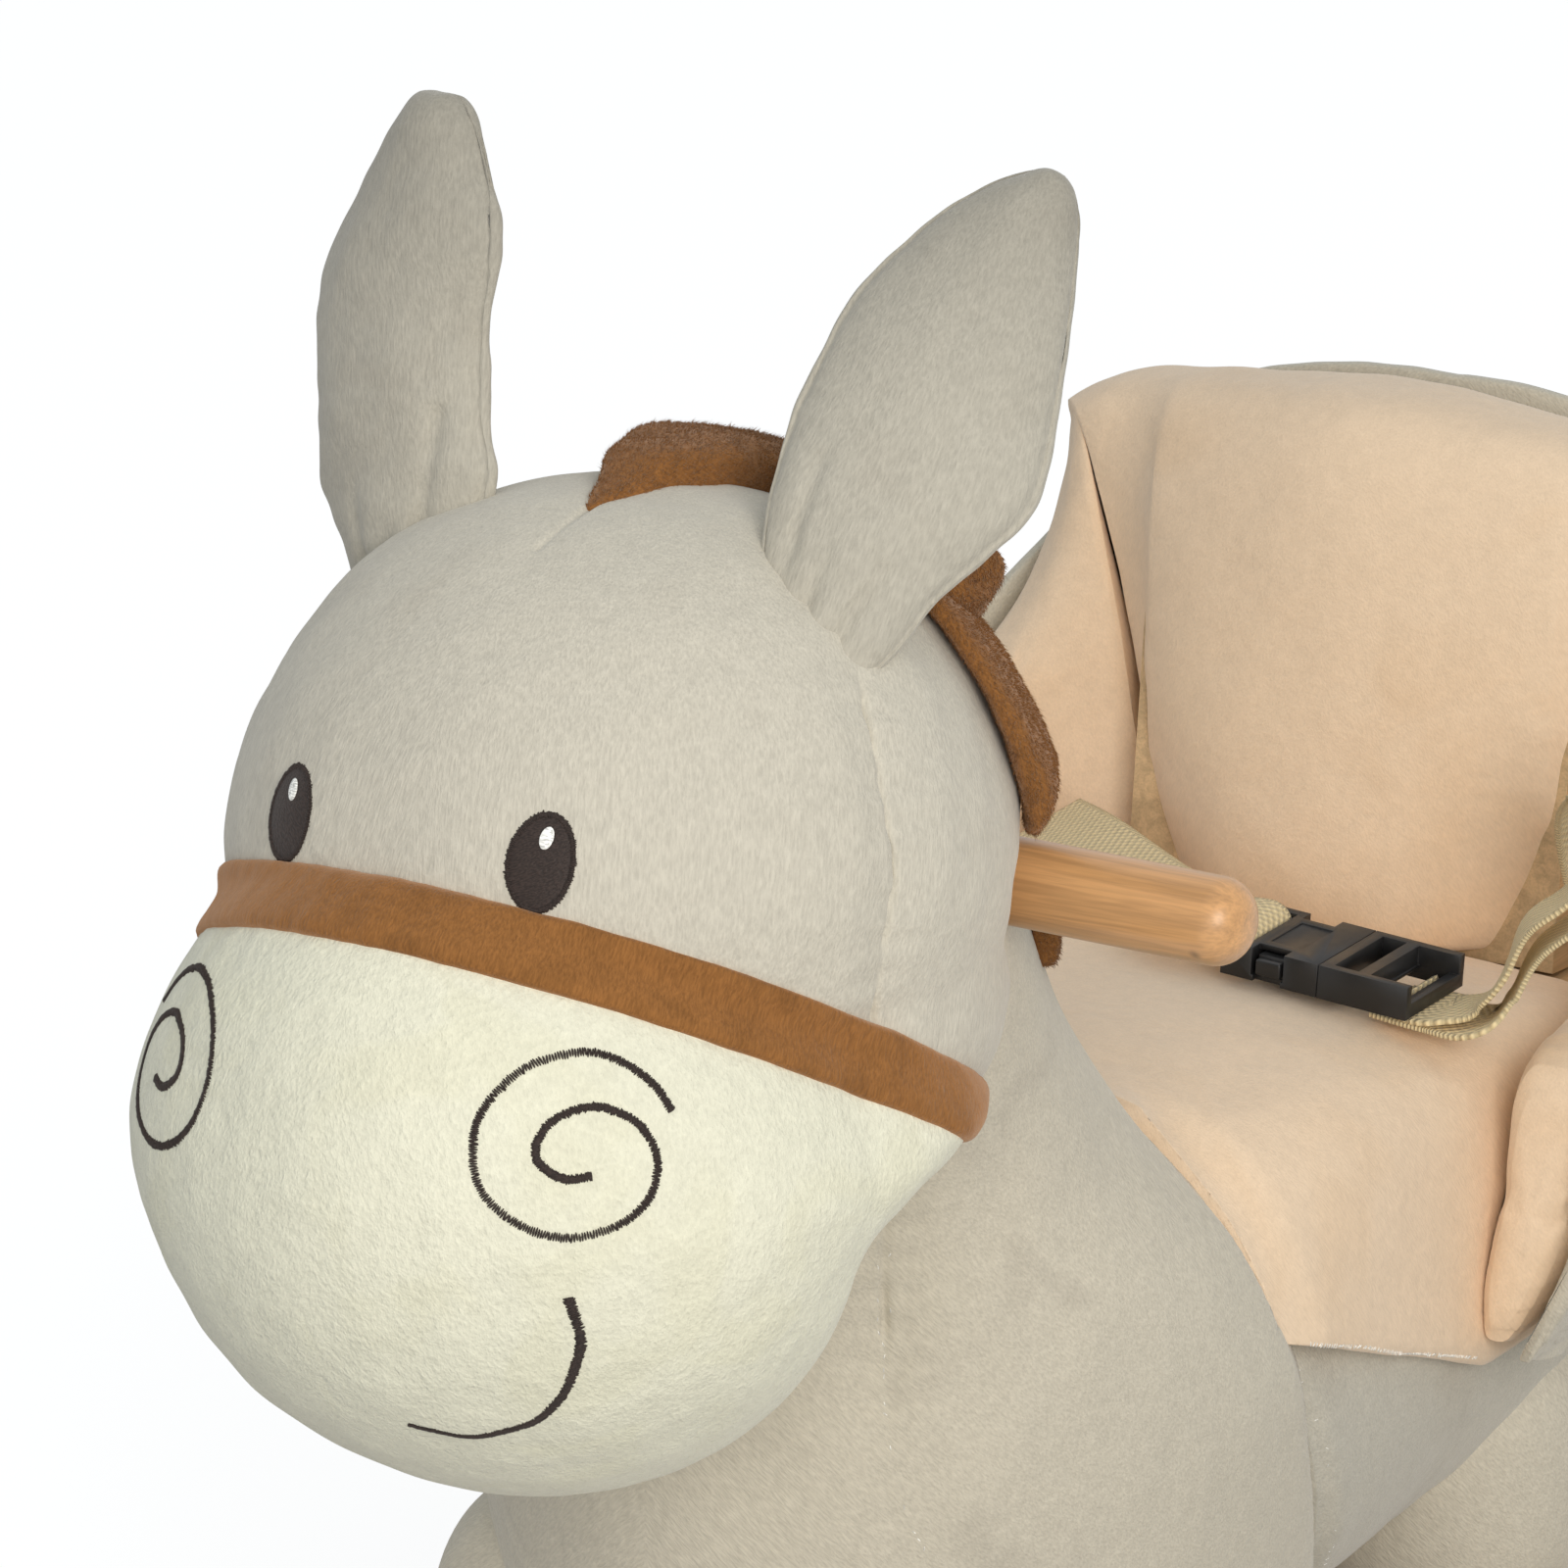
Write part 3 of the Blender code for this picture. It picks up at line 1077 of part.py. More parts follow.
def pad_ring(distance, inner, outer, bottom, top, fullness, grow):
    """One section of a cushion that follows the plan line."""
    middle_inset, half_inset = (inner + outer) / 2, abs(inner - outer) / 2
    middle, half = (bottom + top) / 2, (top - bottom) / 2
    points = []
    for c, s in unit_section(8, 3.4):
        inset = middle_inset + (half_inset * fullness + grow) * c
        z = middle + (half * (0.35 + 0.65 * fullness) + grow) * s
        x, y = bucket_plan(distance + crease_shift(distance, z), inset)
        points.append(Vector((x, bucket_lean(y, z), z)))
    return points


def bucket_pad(name, stations, depth, bottom, material=None, group=PIECES, grow=0.0):
    """A cushion through (distance, fullness) stations along the plan line."""
    outer = COVER_THICKNESS + GAP
    rings = []
    for k, (distance, fullness) in enumerate(stations):
        if k in (0, len(stations) - 1):
            distance += math.copysign(grow, distance - stations[len(stations) // 2][0])
        rings.append(pad_ring(distance, outer + depth(distance), outer, bottom(distance),
                              rim_height(distance), fullness, grow))
    tight = [k for k in (0, -1) if stations[k][1] > 0.9]
    return loft(name, rings, material, group, soften=1, tight=tight)


def wing_cushion(side, name, grow=0.0, group=PIECES):
    """A side cushion: a full round front and a close seam where it meets the back."""
    front, rear = bucket_end(), CREASE_RUN + CREASE_CLEARANCE
    run = front - rear
    stations = [(front, 0.50), (front - 0.005, 0.85), (front - 0.020, 1.0)]
    stations += [(rear + run * t, 1.0) for t in (0.64, 0.48, 0.33, 0.20, 0.08)] + [(rear, 0.93)]
    return bucket_pad(name, [(side * distance, fullness) for distance, fullness in stations], wing_depth,
                      wing_floor, PEACH_PLUSH if group is PIECES else None, group, grow)


def back_cushion_form(name, grow=0.0, group=PIECES):
    """The back cushion round its board."""
    half = CREASE_RUN - CREASE_CLEARANCE
    stations = [(half * t, full) for t, full in ((-1.0, 0.93), (-0.92, 1.0), (-0.6, 1.0), (-0.2, 1.0),
                                                 (0.2, 1.0), (0.6, 1.0), (0.92, 1.0), (1.0, 0.93))]
    return bucket_pad(name, stations, back_depth, back_floor, PEACH_PLUSH if group is PIECES else None, group, grow)


def seat():
    """Cushion, two wings and the back cushion, each with room for its neighbours."""
    back = back_cushion_form("back_cushion")
    cut(back, back_board_form("board_room_back", GAP, CUTTERS))
    thick = BACK_BOARD_THICKNESS + BRACKET_THICKNESS + 4 * GAP
    floor = SEAT_BOARD_BOTTOM + SEAT_BOARD_THICKNESS
    for side, name in ((1, "left"), (-1, "right")):
        middle = side * BACK_BRACKET_SPREAD
        half = BRACKET_WIDTH / 2 + GAP
        cut(back, block("back_bracket_room_" + name, (middle - half, BACK_BOARD_FRONT_Y, floor - 0.004),
                        (middle + half, BACK_BOARD_FRONT_Y + thick + BRACKET_LEG, floor + BRACKET_HEIGHT + GAP),
                        group=CUTTERS))
    cushion = seat_cushion()
    cut(cushion, back_cushion_form("seat_room_back", GAP, CUTTERS))
    board = Vector((SEAT_BOARD_WIDTH / 2 + GAP, 0.0, 0.0))
    cut(cushion, block("seat_room_board", Vector((0.0, SEAT_BOARD_FRONT, 0.1)) - board,
                       Vector((0.0, SEAT_BOARD_BACK, floor + GAP)) + board, group=CUTTERS))
    body = slice_off(trunk_form("seat_room_trunk", 3 * GAP, group=CUTTERS), Vector((0.0, 0.0, SEAT_BOARD_BOTTOM)), UP)
    cut(cushion, body)
    for side, name in ((1, "left"), (-1, "right")):
        wing = wing_cushion(side, "wing_cushion_" + name)
        cut(wing, body)
        cut(cushion, wing_cushion(side, "seat_room_wing_" + name, GAP, CUTTERS))
    return cushion


def seat_seam(clear=0.0):
    """A point on and the backward normal of the seam between the chest and the seat cushion."""
    normal = Vector((0.0, 1.0, SEAT_SEAM_LEAN)).normalized()
    return Vector((0.0, SEAT_SEAM_Y, SEAT_FRONT_HEM)) + normal * clear, normal


def seat_cushion():
    """The crowned saddle: its arch comes down on both sides to a hem."""
    rings = []
    for i in range(10):
        y = SEAT_FRONT + (SEAT_BACK - SEAT_FRONT) * i / 9
        top, hem, half_width, across, upward = seat_section(y)
        arch = []
        for k in range(13):
            turn = math.pi * k / 12
            c, s = math.cos(turn), math.sin(turn)
            arch.append(Vector((half_width * math.copysign(abs(c) ** (2 / across), c), y,
                                hem + (top - hem) * abs(s) ** (2 / upward))))
        inner = half_width * 0.6
        arch += [Vector((-inner, y, hem)), Vector((inner, y, hem))]
        rings.append(arch)
    cushion = loft("seat_cushion", rings, PEACH_PLUSH)
    point, normal = seat_seam(GAP)
    slice_off(cushion, point, -normal)
    seam, normal = seat_seam()
    return cut(cushion, slice_off(chest_form("seat_room_chest", GAP, group=CUTTERS), seam, SIDE.cross(normal)))


def back_cover():
    """The grey outer cover: one sheet round the back of the bucket, given its thickness inwards."""
    bm = bmesh.new()
    columns, rows = 24, 3
    grid = []
    for i in range(columns + 1):
        distance = bucket_end() * (2 * i / columns - 1)
        low = wing_floor(distance) - 0.002
        high = rim_height(distance) - COVER_DROP
        column = []
        for k in range(rows + 1):
            z = low + (high - low) * k / rows
            x, y = bucket_plan(distance, 0.0)
            column.append(bm.verts.new((x, bucket_lean(y, z), z)))
        grid.append(column)
    for left, right in zip(grid, grid[1:]):
        for k in range(rows):
            bm.faces.new((left[k], right[k], right[k + 1], left[k + 1]))
    made = smooth(piece_from("back_cover", bm, GREY_PLUSH), 60.0)
    wall = made.modifiers.new("wall", "SOLIDIFY")
    wall.thickness = COVER_THICKNESS
    wall.offset = -1.0
    wall.use_even_offset = True
    return cut(made, trunk_form("cover_seat", 2 * GAP, group=CUTTERS))


# Lap belt


def buckle_place():
    """From the buckle's own frame, mouth at the origin and frame end along +X, to its place."""
    return Matrix.Translation(BUCKLE_MOUTH) @ Matrix.Rotation(BUCKLE_PITCH, 4, "Y")


def socket():
    """The hollow half of the buckle, with side windows for the prongs and a slot for the strap."""
    half, thick = BUCKLE_WIDTH / 2, BUCKLE_THICKNESS / 2
    place = buckle_place()
    made = block("buckle_socket", (-SOCKET_LENGTH, -half, -thick), (0.0, half, thick), BLACK_PLASTIC,
                 bevel=0.0012)
    made.matrix_world = place
    hollow = thick - BUCKLE_WALL
    inside = half - BUCKLE_WALL
    cut(made, block("socket_hollow", (-SOCKET_DEPTH, -inside, -hollow), (0.002, inside, hollow),
                    group=CUTTERS, turn=place))
    cut(made, block("socket_windows", (-SOCKET_DEPTH + 0.004, -half - 0.002, -hollow),
                    (-0.006, half + 0.002, hollow), group=CUTTERS, turn=place))
    slot = WEBBING_WIDTH / 2 + 0.0005
    cut(made, block("strap_slot", (-SOCKET_LENGTH + 0.0025, -slot, -thick - 0.002),
                    (-SOCKET_LENGTH + 0.0065, slot, thick + 0.002), group=CUTTERS, turn=place))
    return made


def prong_frame():
    """The solid half of the buckle: an open frame for the strap, two prongs and a centre guide."""
    half, thick = BUCKLE_WIDTH / 2, BUCKLE_THICKNESS / 2
    place = buckle_place()
    made = block("buckle_frame", (GAP, -half, -thick), (FRAME_LENGTH, half, thick), BLACK_PLASTIC,
                 bevel=0.0012, turn=place)
    slot = WEBBING_WIDTH / 2 + 0.0005
    for name, low, high in (("frame_window_near", 0.006, 0.0125), ("frame_window_far", 0.0160, 0.0225)):
        cut(made, block(name, (low, -slot, -thick - 0.002), (high, slot, thick + 0.002),
                        group=CUTTERS, turn=place))
    flat = thick - BUCKLE_WALL - GAP
    outer = half - BUCKLE_WALL - GAP
    for name, low, high in (("prong_left", outer - PRONG_WIDTH, outer), ("prong_right", -outer, -outer + PRONG_WIDTH),
                            ("prong_guide", -GUIDE_WIDTH / 2, GUIDE_WIDTH / 2)):
        reach = PRONG_LENGTH if name != "prong_guide" else PRONG_LENGTH * 0.8
        prong = block(name, (-reach, low, -flat), (0.003, high, flat), group=CUTTERS, turn=place)
        join = made.modifiers.new(name, "BOOLEAN")
        join.operation = "UNION"
        join.object = prong
    return made


def ribbon(name, path, material=WEBBING):
    """Flat webbing along a list of (point, width direction) pairs."""
    rings = []
    for i, (point, across) in enumerate(path):
        ahead = path[min(i + 1, len(path) - 1)][0] - path[max(i - 1, 0)][0]
        across = (across - ahead.normalized() * across.dot(ahead.normalized())).normalized()
        normal = ahead.cross(across).normalized()
        half, thick = across * WEBBING_WIDTH / 2, normal * WEBBING_THICKNESS / 2
        rings.append([point - half - thick, point + half - thick, point + half + thick, point - half + thick])
    return loft(name, rings, material)


def smooth_path(points, turns, buckle_end, count):
    """A smooth run of (point, width direction) pairs through free points and then places in the buckle."""
    place = buckle_place()
    flat = place.to_3x3() @ BACKWARD
    rows = [tuple(point) + tuple(across) for point, across in zip(points, turns)]
    rows += [tuple(place @ Vector((x, 0.0, z))) + tuple(flat) for x, z in buckle_end]
    return [(Vector(row[:3]), Vector(row[3:])) for row in between(rows, count)]


def belt():
    """The two straps: the far one ends in the socket's slot, the near one in the frame."""
    slot = -SOCKET_LENGTH + SLOT_MIDDLE
    bar = FRAME_BAR_MIDDLE
    thick = BUCKLE_THICKNESS
    over = thick / 2 + STRAP_CLEARANCE
    under = -thick / 2 - STRAP_CLEARANCE + GAP / 3
    far_end = ((slot - thick * 2.944, thick / 3), (slot - thick * 0.944, over + 0.0005),
               (slot - thick / 3, over + GAP), (slot, over - 0.0025), (slot, -0.0010))
    near_end = ((bar + thick * 1.078, 0.0048), (bar + GAP * 9, over), (bar, 0.0025), (bar, -0.0020))
    tail_end = ((bar + thick * 1.189, under), (bar - GAP * 11, under))
    ribbon("far_strap", smooth_path(FAR_STRAP_POINTS, FAR_STRAP_TURNS, far_end, 22))
    ribbon("near_strap", smooth_path(NEAR_STRAP_POINTS, NEAR_STRAP_TURNS, near_end, 34))
    ribbon("near_strap_tail", smooth_path(STRAP_TAIL_POINTS, STRAP_TAIL_TURNS, tail_end, 24))


def build():
    """Make every piece."""
    rocker_base()
    seat_board()
    neck_board()
    back_board()
    handle()
    head()
    ear("ear_left", 1, EAR_LEFT_ROOT, EAR_LEFT_TIP)
    ear("ear_right", -1, EAR_RIGHT_ROOT, EAR_RIGHT_TIP)
    body()
    legs()
    mane()
    tail()
    seat()
    back_cover()
    socket()
    prong_frame()
    belt()


build()
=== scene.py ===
"""Plush rocking donkey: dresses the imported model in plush, webbing, wood and plastic.

The donkey faces -Y, its left side is +X and the floor is Z = 0. All sizes are in metres. Stuffed
forms are wrapped from grids, the seat's cushions are then blown up as cloth, and the wooden and
steel pieces keep their own solids with better finishes.
"""
import math

import bpy
import numpy as np
from mathutils import Matrix, Vector
from mathutils.bvhtree import BVHTree


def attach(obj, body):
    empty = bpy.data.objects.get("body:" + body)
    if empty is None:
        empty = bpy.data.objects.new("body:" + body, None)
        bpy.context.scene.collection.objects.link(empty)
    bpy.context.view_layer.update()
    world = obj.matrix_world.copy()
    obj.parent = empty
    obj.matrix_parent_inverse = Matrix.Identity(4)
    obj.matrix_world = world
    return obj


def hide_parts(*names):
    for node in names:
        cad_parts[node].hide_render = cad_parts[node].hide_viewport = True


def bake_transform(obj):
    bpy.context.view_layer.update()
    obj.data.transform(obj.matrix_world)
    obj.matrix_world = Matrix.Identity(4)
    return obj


bl_info = {
    "name": "Plush Rocking Donkey",
    "version": (1, 0, 0),
    "blender": (4, 5, 0),
    "location": "3D View > Sidebar > Donkey",
    "description": "Dresses the packed rocking donkey in plush, webbing, wood and plastic",
    "category": "Object",
}

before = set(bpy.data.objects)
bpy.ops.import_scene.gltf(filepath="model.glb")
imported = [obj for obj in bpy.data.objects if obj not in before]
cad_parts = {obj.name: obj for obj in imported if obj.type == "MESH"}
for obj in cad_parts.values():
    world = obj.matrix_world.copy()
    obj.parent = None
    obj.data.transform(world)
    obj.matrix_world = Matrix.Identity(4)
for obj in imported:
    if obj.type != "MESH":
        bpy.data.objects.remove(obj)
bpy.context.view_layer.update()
TOY = "donkey"


def linear(red, green, blue):
    """A screen colour from 0 to 255 as the linear colour that the shader sockets take."""
    return tuple((c / 255 / 12.92) if c <= 10 else ((c / 255 + 0.055) / 1.055) ** 2.4 for c in (red, green,
                                                                                                blue))


def colour(name, words, *screen):
    """A colour setting for the panel."""
    return bpy.props.FloatVectorProperty(name=name, description=words, subtype="COLOR", min=0.0, max=1.0,
                                         default=linear(*screen))


def size(name, words, value):
    """A length setting for the panel."""
    return bpy.props.FloatProperty(name=name, description=words, subtype="DISTANCE", unit="LENGTH",
                                   default=value)


class DONKEY_PG_colours(bpy.types.PropertyGroup):
    """Colours of the fabrics, the wood and the plastic."""
    grey: colour("Grey plush", "Body, head and ears", 213, 207, 192)
    grey_shade: colour("Grey plush shade", "Where the grey nap is brushed the other way", 190, 182, 167)
    cream: colour("Cream plush", "Muzzle", 240, 238, 217)
    brown: colour("Brown plush", "Nose band, mane, hooves and tail tuft", 152, 103, 56)
    peach: colour("Peach plush", "Seat cushions", 244, 218, 188)
    webbing: colour("Webbing", "Lap belt", 238, 216, 168)
    thread: colour("Thread", "Embroidered eyes, nostrils and mouth", 50, 40, 36)
    handle: colour("Handle wood", "Grip bar", 213, 161, 107)
    birch: colour("Birch", "Rockers, slats and foot bar", 226, 196, 152)
    plastic: colour("Plastic", "Buckle", 26, 26, 27)


class DONKEY_PG_head(bpy.types.PropertyGroup):
    """Sizes of the head and what is sewn on it."""
    band_width: size("Nose band width", "Across the band", 0.018)
    band_thickness: size("Nose band thickness", "How far the band stands proud", 0.0026)
    thread_width: size("Thread line width", "Width of the embroidered lines", 0.0021)
    pile_length: size("Mane pile", "Length of the mane's fibres", 0.0022)


class DONKEY_PG_seat(bpy.types.PropertyGroup):
    """Sizes of the seat and the belt."""
    cap: size("Swell cap", "Furthest that a cushion's surface may move", 0.0045)
    webbing_width: size("Webbing width", "Across the lap belt", 0.025)
    webbing_thickness: size("Webbing thickness", "Through the lap belt", 0.0014)


class DONKEY_PG_stage(bpy.types.PropertyGroup):
    """Camera and lamps."""
    azimuth: bpy.props.FloatProperty(name="Camera azimuth",
                                     description="Round from the donkey's front to its left",
                                     subtype="ANGLE", unit="ROTATION", default=math.radians(32.0))
    elevation: bpy.props.FloatProperty(name="Camera elevation", description="Above the horizon",
                                       subtype="ANGLE", unit="ROTATION", default=math.radians(18.0))
    focal: bpy.props.FloatProperty(name="Lens", description="Focal length in millimetres", default=178.2)
    key: bpy.props.FloatProperty(name="Key lamp", description="Power of the large lamp", unit="POWER",
                                 default=31.0)
    sky: bpy.props.FloatProperty(name="Sky", description="Strength of the even light from all sides",
                                 default=0.55)


# Small tools


def clear_selection():
    """Nothing selected, in object mode."""
    if bpy.context.mode != "OBJECT":
        bpy.ops.object.mode_set(mode="OBJECT")
    bpy.ops.object.select_all(action="DESELECT")


def pick(piece):
    """Select one piece alone and make it active."""
    clear_selection()
    piece.select_set(True)
    bpy.context.view_layer.objects.active = piece
    return piece


def corners(piece):
    """A piece's vertices as rows of three numbers."""
    at = np.empty(len(piece.data.vertices) * 3)
    piece.data.vertices.foreach_get("co", at)
    return at.reshape(-1, 3)


def place_corners(piece, at):
    """Put a piece's vertices where rows of three numbers say."""
    piece.data.vertices.foreach_set("co", np.ascontiguousarray(at, dtype=np.float64).ravel())
    piece.data.update()


def outward(piece):
    """A piece's vertex normals as rows of three numbers."""
    at = np.empty(len(piece.data.vertices) * 3)
    piece.data.vertex_normals.foreach_get("vector", at)
    return at.reshape(-1, 3)


def push(piece, amount):
    """Move each vertex along its normal."""
    place_corners(piece, corners(piece) + outward(piece) * np.asarray(amount).reshape(-1, 1))


def uneven(piece, *layers):
    """Give a piece soft lumps; each layer is (height, width of a lump, seed)."""
    at = corners(piece)
    push(piece, sum(high * waves(at, lump, seed) for high, lump, seed in layers))


def rounded(value, power):
    """A power that keeps the sign: below 1 it squares a circle off."""
    return np.sign(value) * np.abs(value) ** power


def circle(turn):
    """Cosine and sine of turns from 0 to 1."""
    a = 2 * np.pi * turn
    return np.cos(a), np.sin(a)


def at_ends(rise):
    """Where a wrapped form closes to a point at either end."""
    return (rise < 1e-6) | (rise > 1 - 1e-6)


def eased(value):
    """Ease a value from 0 to 1 in and out."""
    return value * value * (3 - 2 * value)


def unit_rows(rows):
    """Rows of numbers as unit directions."""
    return rows / np.linalg.norm(rows, axis=1)[:, None]


def apply_modifiers(piece):
    """Apply every modifier on a piece, in order."""
    pick(piece)
    for modifier in list(piece.modifiers):
        bpy.ops.object.modifier_apply(modifier=modifier.name)
    return piece


def with_modifier(piece, kind, **values):
    """Add a modifier with its settings and apply it."""
    modifier = piece.modifiers.new(kind.lower(), kind)
    for name, value in values.items():
        setattr(modifier, name, value)
    return apply_modifiers(piece)


def edit_all(piece, tool, **values):
    """Run a mesh tool on all of a piece in edit mode."""
    pick(piece)
    bpy.ops.object.mode_set(mode="EDIT")
    bpy.ops.mesh.select_all(action="SELECT")
    tool(**values)
    bpy.ops.object.mode_set(mode="OBJECT")
    return piece


def finer(piece):
    """Divide each face in four, rounding the form."""
    return with_modifier(piece, "SUBSURF", levels=1, render_levels=1)


def merged(piece):
    """Weld a closed form's seams and poles and turn its faces outwards."""
    edit_all(piece, bpy.ops.mesh.remove_doubles, threshold=0.00002)
    return edit_all(piece, bpy.ops.mesh.normals_make_consistent, inside=False)


def wrapped(name, around, along, place, focus=()):
    """Wrap a grid into a closed form: place takes turn and rise from 0 to 1 and gives points.

    Columns are closer together near the turns in focus, where a narrow seam needs them.
    """
    clear_selection()
    bpy.ops.mesh.primitive_grid_add(x_subdivisions=around, y_subdivisions=along, size=2.0)
    piece = bpy.context.object
    piece.name = piece.data.name = name
    at = corners(piece)
    turn = (at[:, 0] + 1) / 2
    if focus:
        fine = np.linspace(0, 1, 2001)
        crowd = 1.0 + sum(4.0 * np.exp(-((fine - middle) / 0.022) ** 4) for middle in focus)
        share = np.concatenate(([0], np.cumsum((crowd[1:] + crowd[:-1]) / 2)))
        turn = np.interp(turn, share / share[-1], fine)
    place_corners(piece, place(turn, (at[:, 1] + 1) / 2))
    merged(piece)
    bpy.ops.object.shade_smooth()
    return piece


def through(rows, where):
    """Read a smooth curve through a few rows at places from 0 to 1."""
    rows = np.asarray(rows, dtype=float)
    last = len(rows) - 1
    place = np.clip(where, 0.0, 1.0) * last
    k = np.minimum(place.astype(int), last - 1)
    t = (place - k)[:, None]
    p, q, r, s = (rows[np.clip(k + j, 0, last)] for j in (-1, 0, 1, 2))
    return (q + t * (r - p) / 2 + t ** 2 * (2 * p - 5 * q + 4 * r - s) / 2
            + t ** 3 * (3 * q - p - 3 * r + s) / 2)


def heading(rows, where, step=0.01):
    """Which way a curve runs at places from 0 to 1, not of unit length."""
    return through(rows, np.clip(where + step, 0, 1)) - through(rows, np.clip(where - step, 0, 1))


def waves(points, lump, seed):
    """A smooth uneven field from about -1 to 1, with lumps of about a given size."""
    chance = np.random.RandomState(seed)
    total = np.zeros(len(points))
    for _ in range(8):
        way = chance.normal(size=3)
        way /= np.linalg.norm(way)
        total += np.sin(points @ way * (2 * np.pi / lump) * chance.uniform(0.6, 1.5) + chance.uniform(0, 6.3))
    return total / 3.6


def from_path(points, path):
    """Distance of each point from a path, how far along the path it lies, and the path's length."""
    best = np.full(len(points), np.inf)
    where = np.zeros(len(points))
    run = 0.0
    for a, b in zip(path, path[1:]):
        along = b - a
        length = np.linalg.norm(along)
        t = np.clip((points - a) @ along / length ** 2, 0.0, 1.0)
        gap = np.linalg.norm(points - (a + t[:, None] * along), axis=1)
        closer = gap < best
        best[closer] = gap[closer]
        where[closer] = (run + t * length)[closer]
        run += length
    return best, where, run


def crease(piece, route, depth, width, valley=0.0, reach=0.008, puckers=0.0, spacing=0.007, count=60):
    """Sink a sewn seam into a piece along a route, with a wide valley and puckers beside it."""
    path = through(route, np.linspace(0, 1, count))
    gap, where, length = from_path(corners(piece), path)
    ends = np.clip(np.minimum(where, length - where) / 0.006, 0.0, 1.0)
    sink = depth * np.exp(-(gap / width) ** 2) + valley * np.exp(-(gap / reach) ** 2)
    sink = sink + puckers * np.exp(-gap / reach) * (0.5 + 0.5 * np.sin(2 * np.pi * where / spacing)) * ends
    push(piece, -sink)


def pinch(piece, point, normal, depth, width):
    """Draw a form in where a plane crosses it, as a seam does."""
    gap = (corners(piece) - np.array(point)) @ np.array(normal)
    push(piece, -depth * np.exp(-(gap / width) ** 2))


def keep_behind(piece, point, normal):
    """Cut a form at a plane, drop what lies on the normal's side and close the cut."""
    return edit_all(piece, bpy.ops.mesh.bisect, plane_co=point, plane_no=normal, use_fill=True,
                    clear_outer=True)


def take_away(piece, cutter):
    """Cut a piece with another, which is then removed; a cut that loses the piece is made the plain way."""
    whole, before = piece.data.copy(), len(piece.data.vertices)
    for solver in ("EXACT", "FAST"):
        with_modifier(piece, "BOOLEAN", operation="DIFFERENCE", solver=solver, object=cutter)
        if len(piece.data.vertices) > before // 3:
            break
        piece.data = whole.copy()
    bpy.data.objects.remove(cutter, do_unlink=True)
    return piece


def kept_out(piece, tree, gap):
    """Move the low corners that stand inside a form out to its surface and a gap more."""
    at = corners(piece)
    for index in np.flatnonzero(at[:, 2] < TRUNK_TOP):
        hit, normal, _, _ = tree.find_nearest(Vector(at[index]))
        if (Vector(at[index]) - hit).dot(normal) < gap:
            at[index] = hit + normal * gap
    place_corners(piece, at)


def surface_of(*pieces):
    """Search trees of finished pieces."""
    made = []
    for piece in pieces:
        piece.data.calc_loop_triangles()
        faces = [tuple(face.vertices) for face in piece.data.loop_triangles]
        made.append(BVHTree.FromPolygons([tuple(at) for at in corners(piece)], faces))
    return made


def settle(piece, material, nodes=(), body=TOY):
    """Give a piece its material, its body and the solids it stands for."""
    piece.data.materials.clear()
    piece.data.materials.append(material)
    if nodes:
        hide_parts(*nodes)
    if body:
        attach(piece, body)
    return piece


# Materials


def feed(made, socket, value):
    """Give a socket another one's value, or a plain number, vector or colour."""
    if isinstance(value, bpy.types.NodeSocket):
        made.node_tree.links.new(value, socket)
    else:
        socket.default_value = (*value, 1.0) if socket.type == "RGBA" and len(value) == 3 else value


def wire(made, target, **values):
    """Feed a node's sockets by name, with _ for a space."""
    for name, value in values.items():
        feed(made, target.inputs[name.replace("_", " ")], value)


def start(name, base, roughness):
    """A new material with its shader's plain numbers set."""
    made = bpy.data.materials.new(name)
    made.use_nodes = True
    shader = made.node_tree.nodes["Principled BSDF"]
    wire(made, shader, Base_Color=base, Roughness=roughness)
    made.diffuse_color = (*base, 1.0)
    return made, shader


def node(made, kind, **values):
    """Add a node; a value is one of the node's own settings or goes to a socket."""
    new = made.node_tree.nodes.new(kind)
    for name, value in values.items():
        if hasattr(new, name):
            setattr(new, name, value)
        else:
            wire(made, new, **{name: value})
    return new


def maths(made, operation, *values):
    """A maths node's result."""
    new = node(made, "ShaderNodeMath", operation=operation)
    for socket, value in zip(new.inputs, values):
        feed(made, socket, value)
    return new.outputs[0]


def coordinates(made, kind="Object"):
    """Where on the object, or on its UV map, a point lies."""
    return node(made, "ShaderNodeTexCoord").outputs[kind]


def split(made, vector):
    """A vector's three numbers."""
    return node(made, "ShaderNodeSeparateXYZ", Vector=vector).outputs


def ranged(made, value, low, high, bottom=0.0, top=1.0, smooth=True):
    """Spread a value from one range over another."""
    return node(made, "ShaderNodeMapRange", interpolation_type="SMOOTHSTEP" if smooth else "LINEAR",
                Value=value,
                From_Min=low, From_Max=high, To_Min=bottom, To_Max=top).outputs["Result"]


def mixed(made, factor, first, second, kind="MIX"):
    """Mix two colours, each a socket or a plain colour."""
    new = node(made, "ShaderNodeMix", data_type="RGBA", blend_type=kind)
    for index, value in ((0, factor), (6, first), (7, second)):
        feed(made, new.inputs[index], value)
    return new.outputs[2]


def toned(made, tone, value, low, high, darkest, lightest, smooth=True):
    """Darken and lighten a tone by a value, spread from one range over another."""
    return mixed(made, 1.0, tone, ranged(made, value, low, high, darkest, lightest, smooth), "MULTIPLY")


def noise(made, vector, scale, detail=2.0, roughness=0.5, distortion=0.0):
    """A noise texture's value."""
    return node(made, "ShaderNodeTexNoise", Vector=vector, Scale=scale, Detail=detail, Roughness=roughness,
                Distortion=distortion).outputs["Fac"]


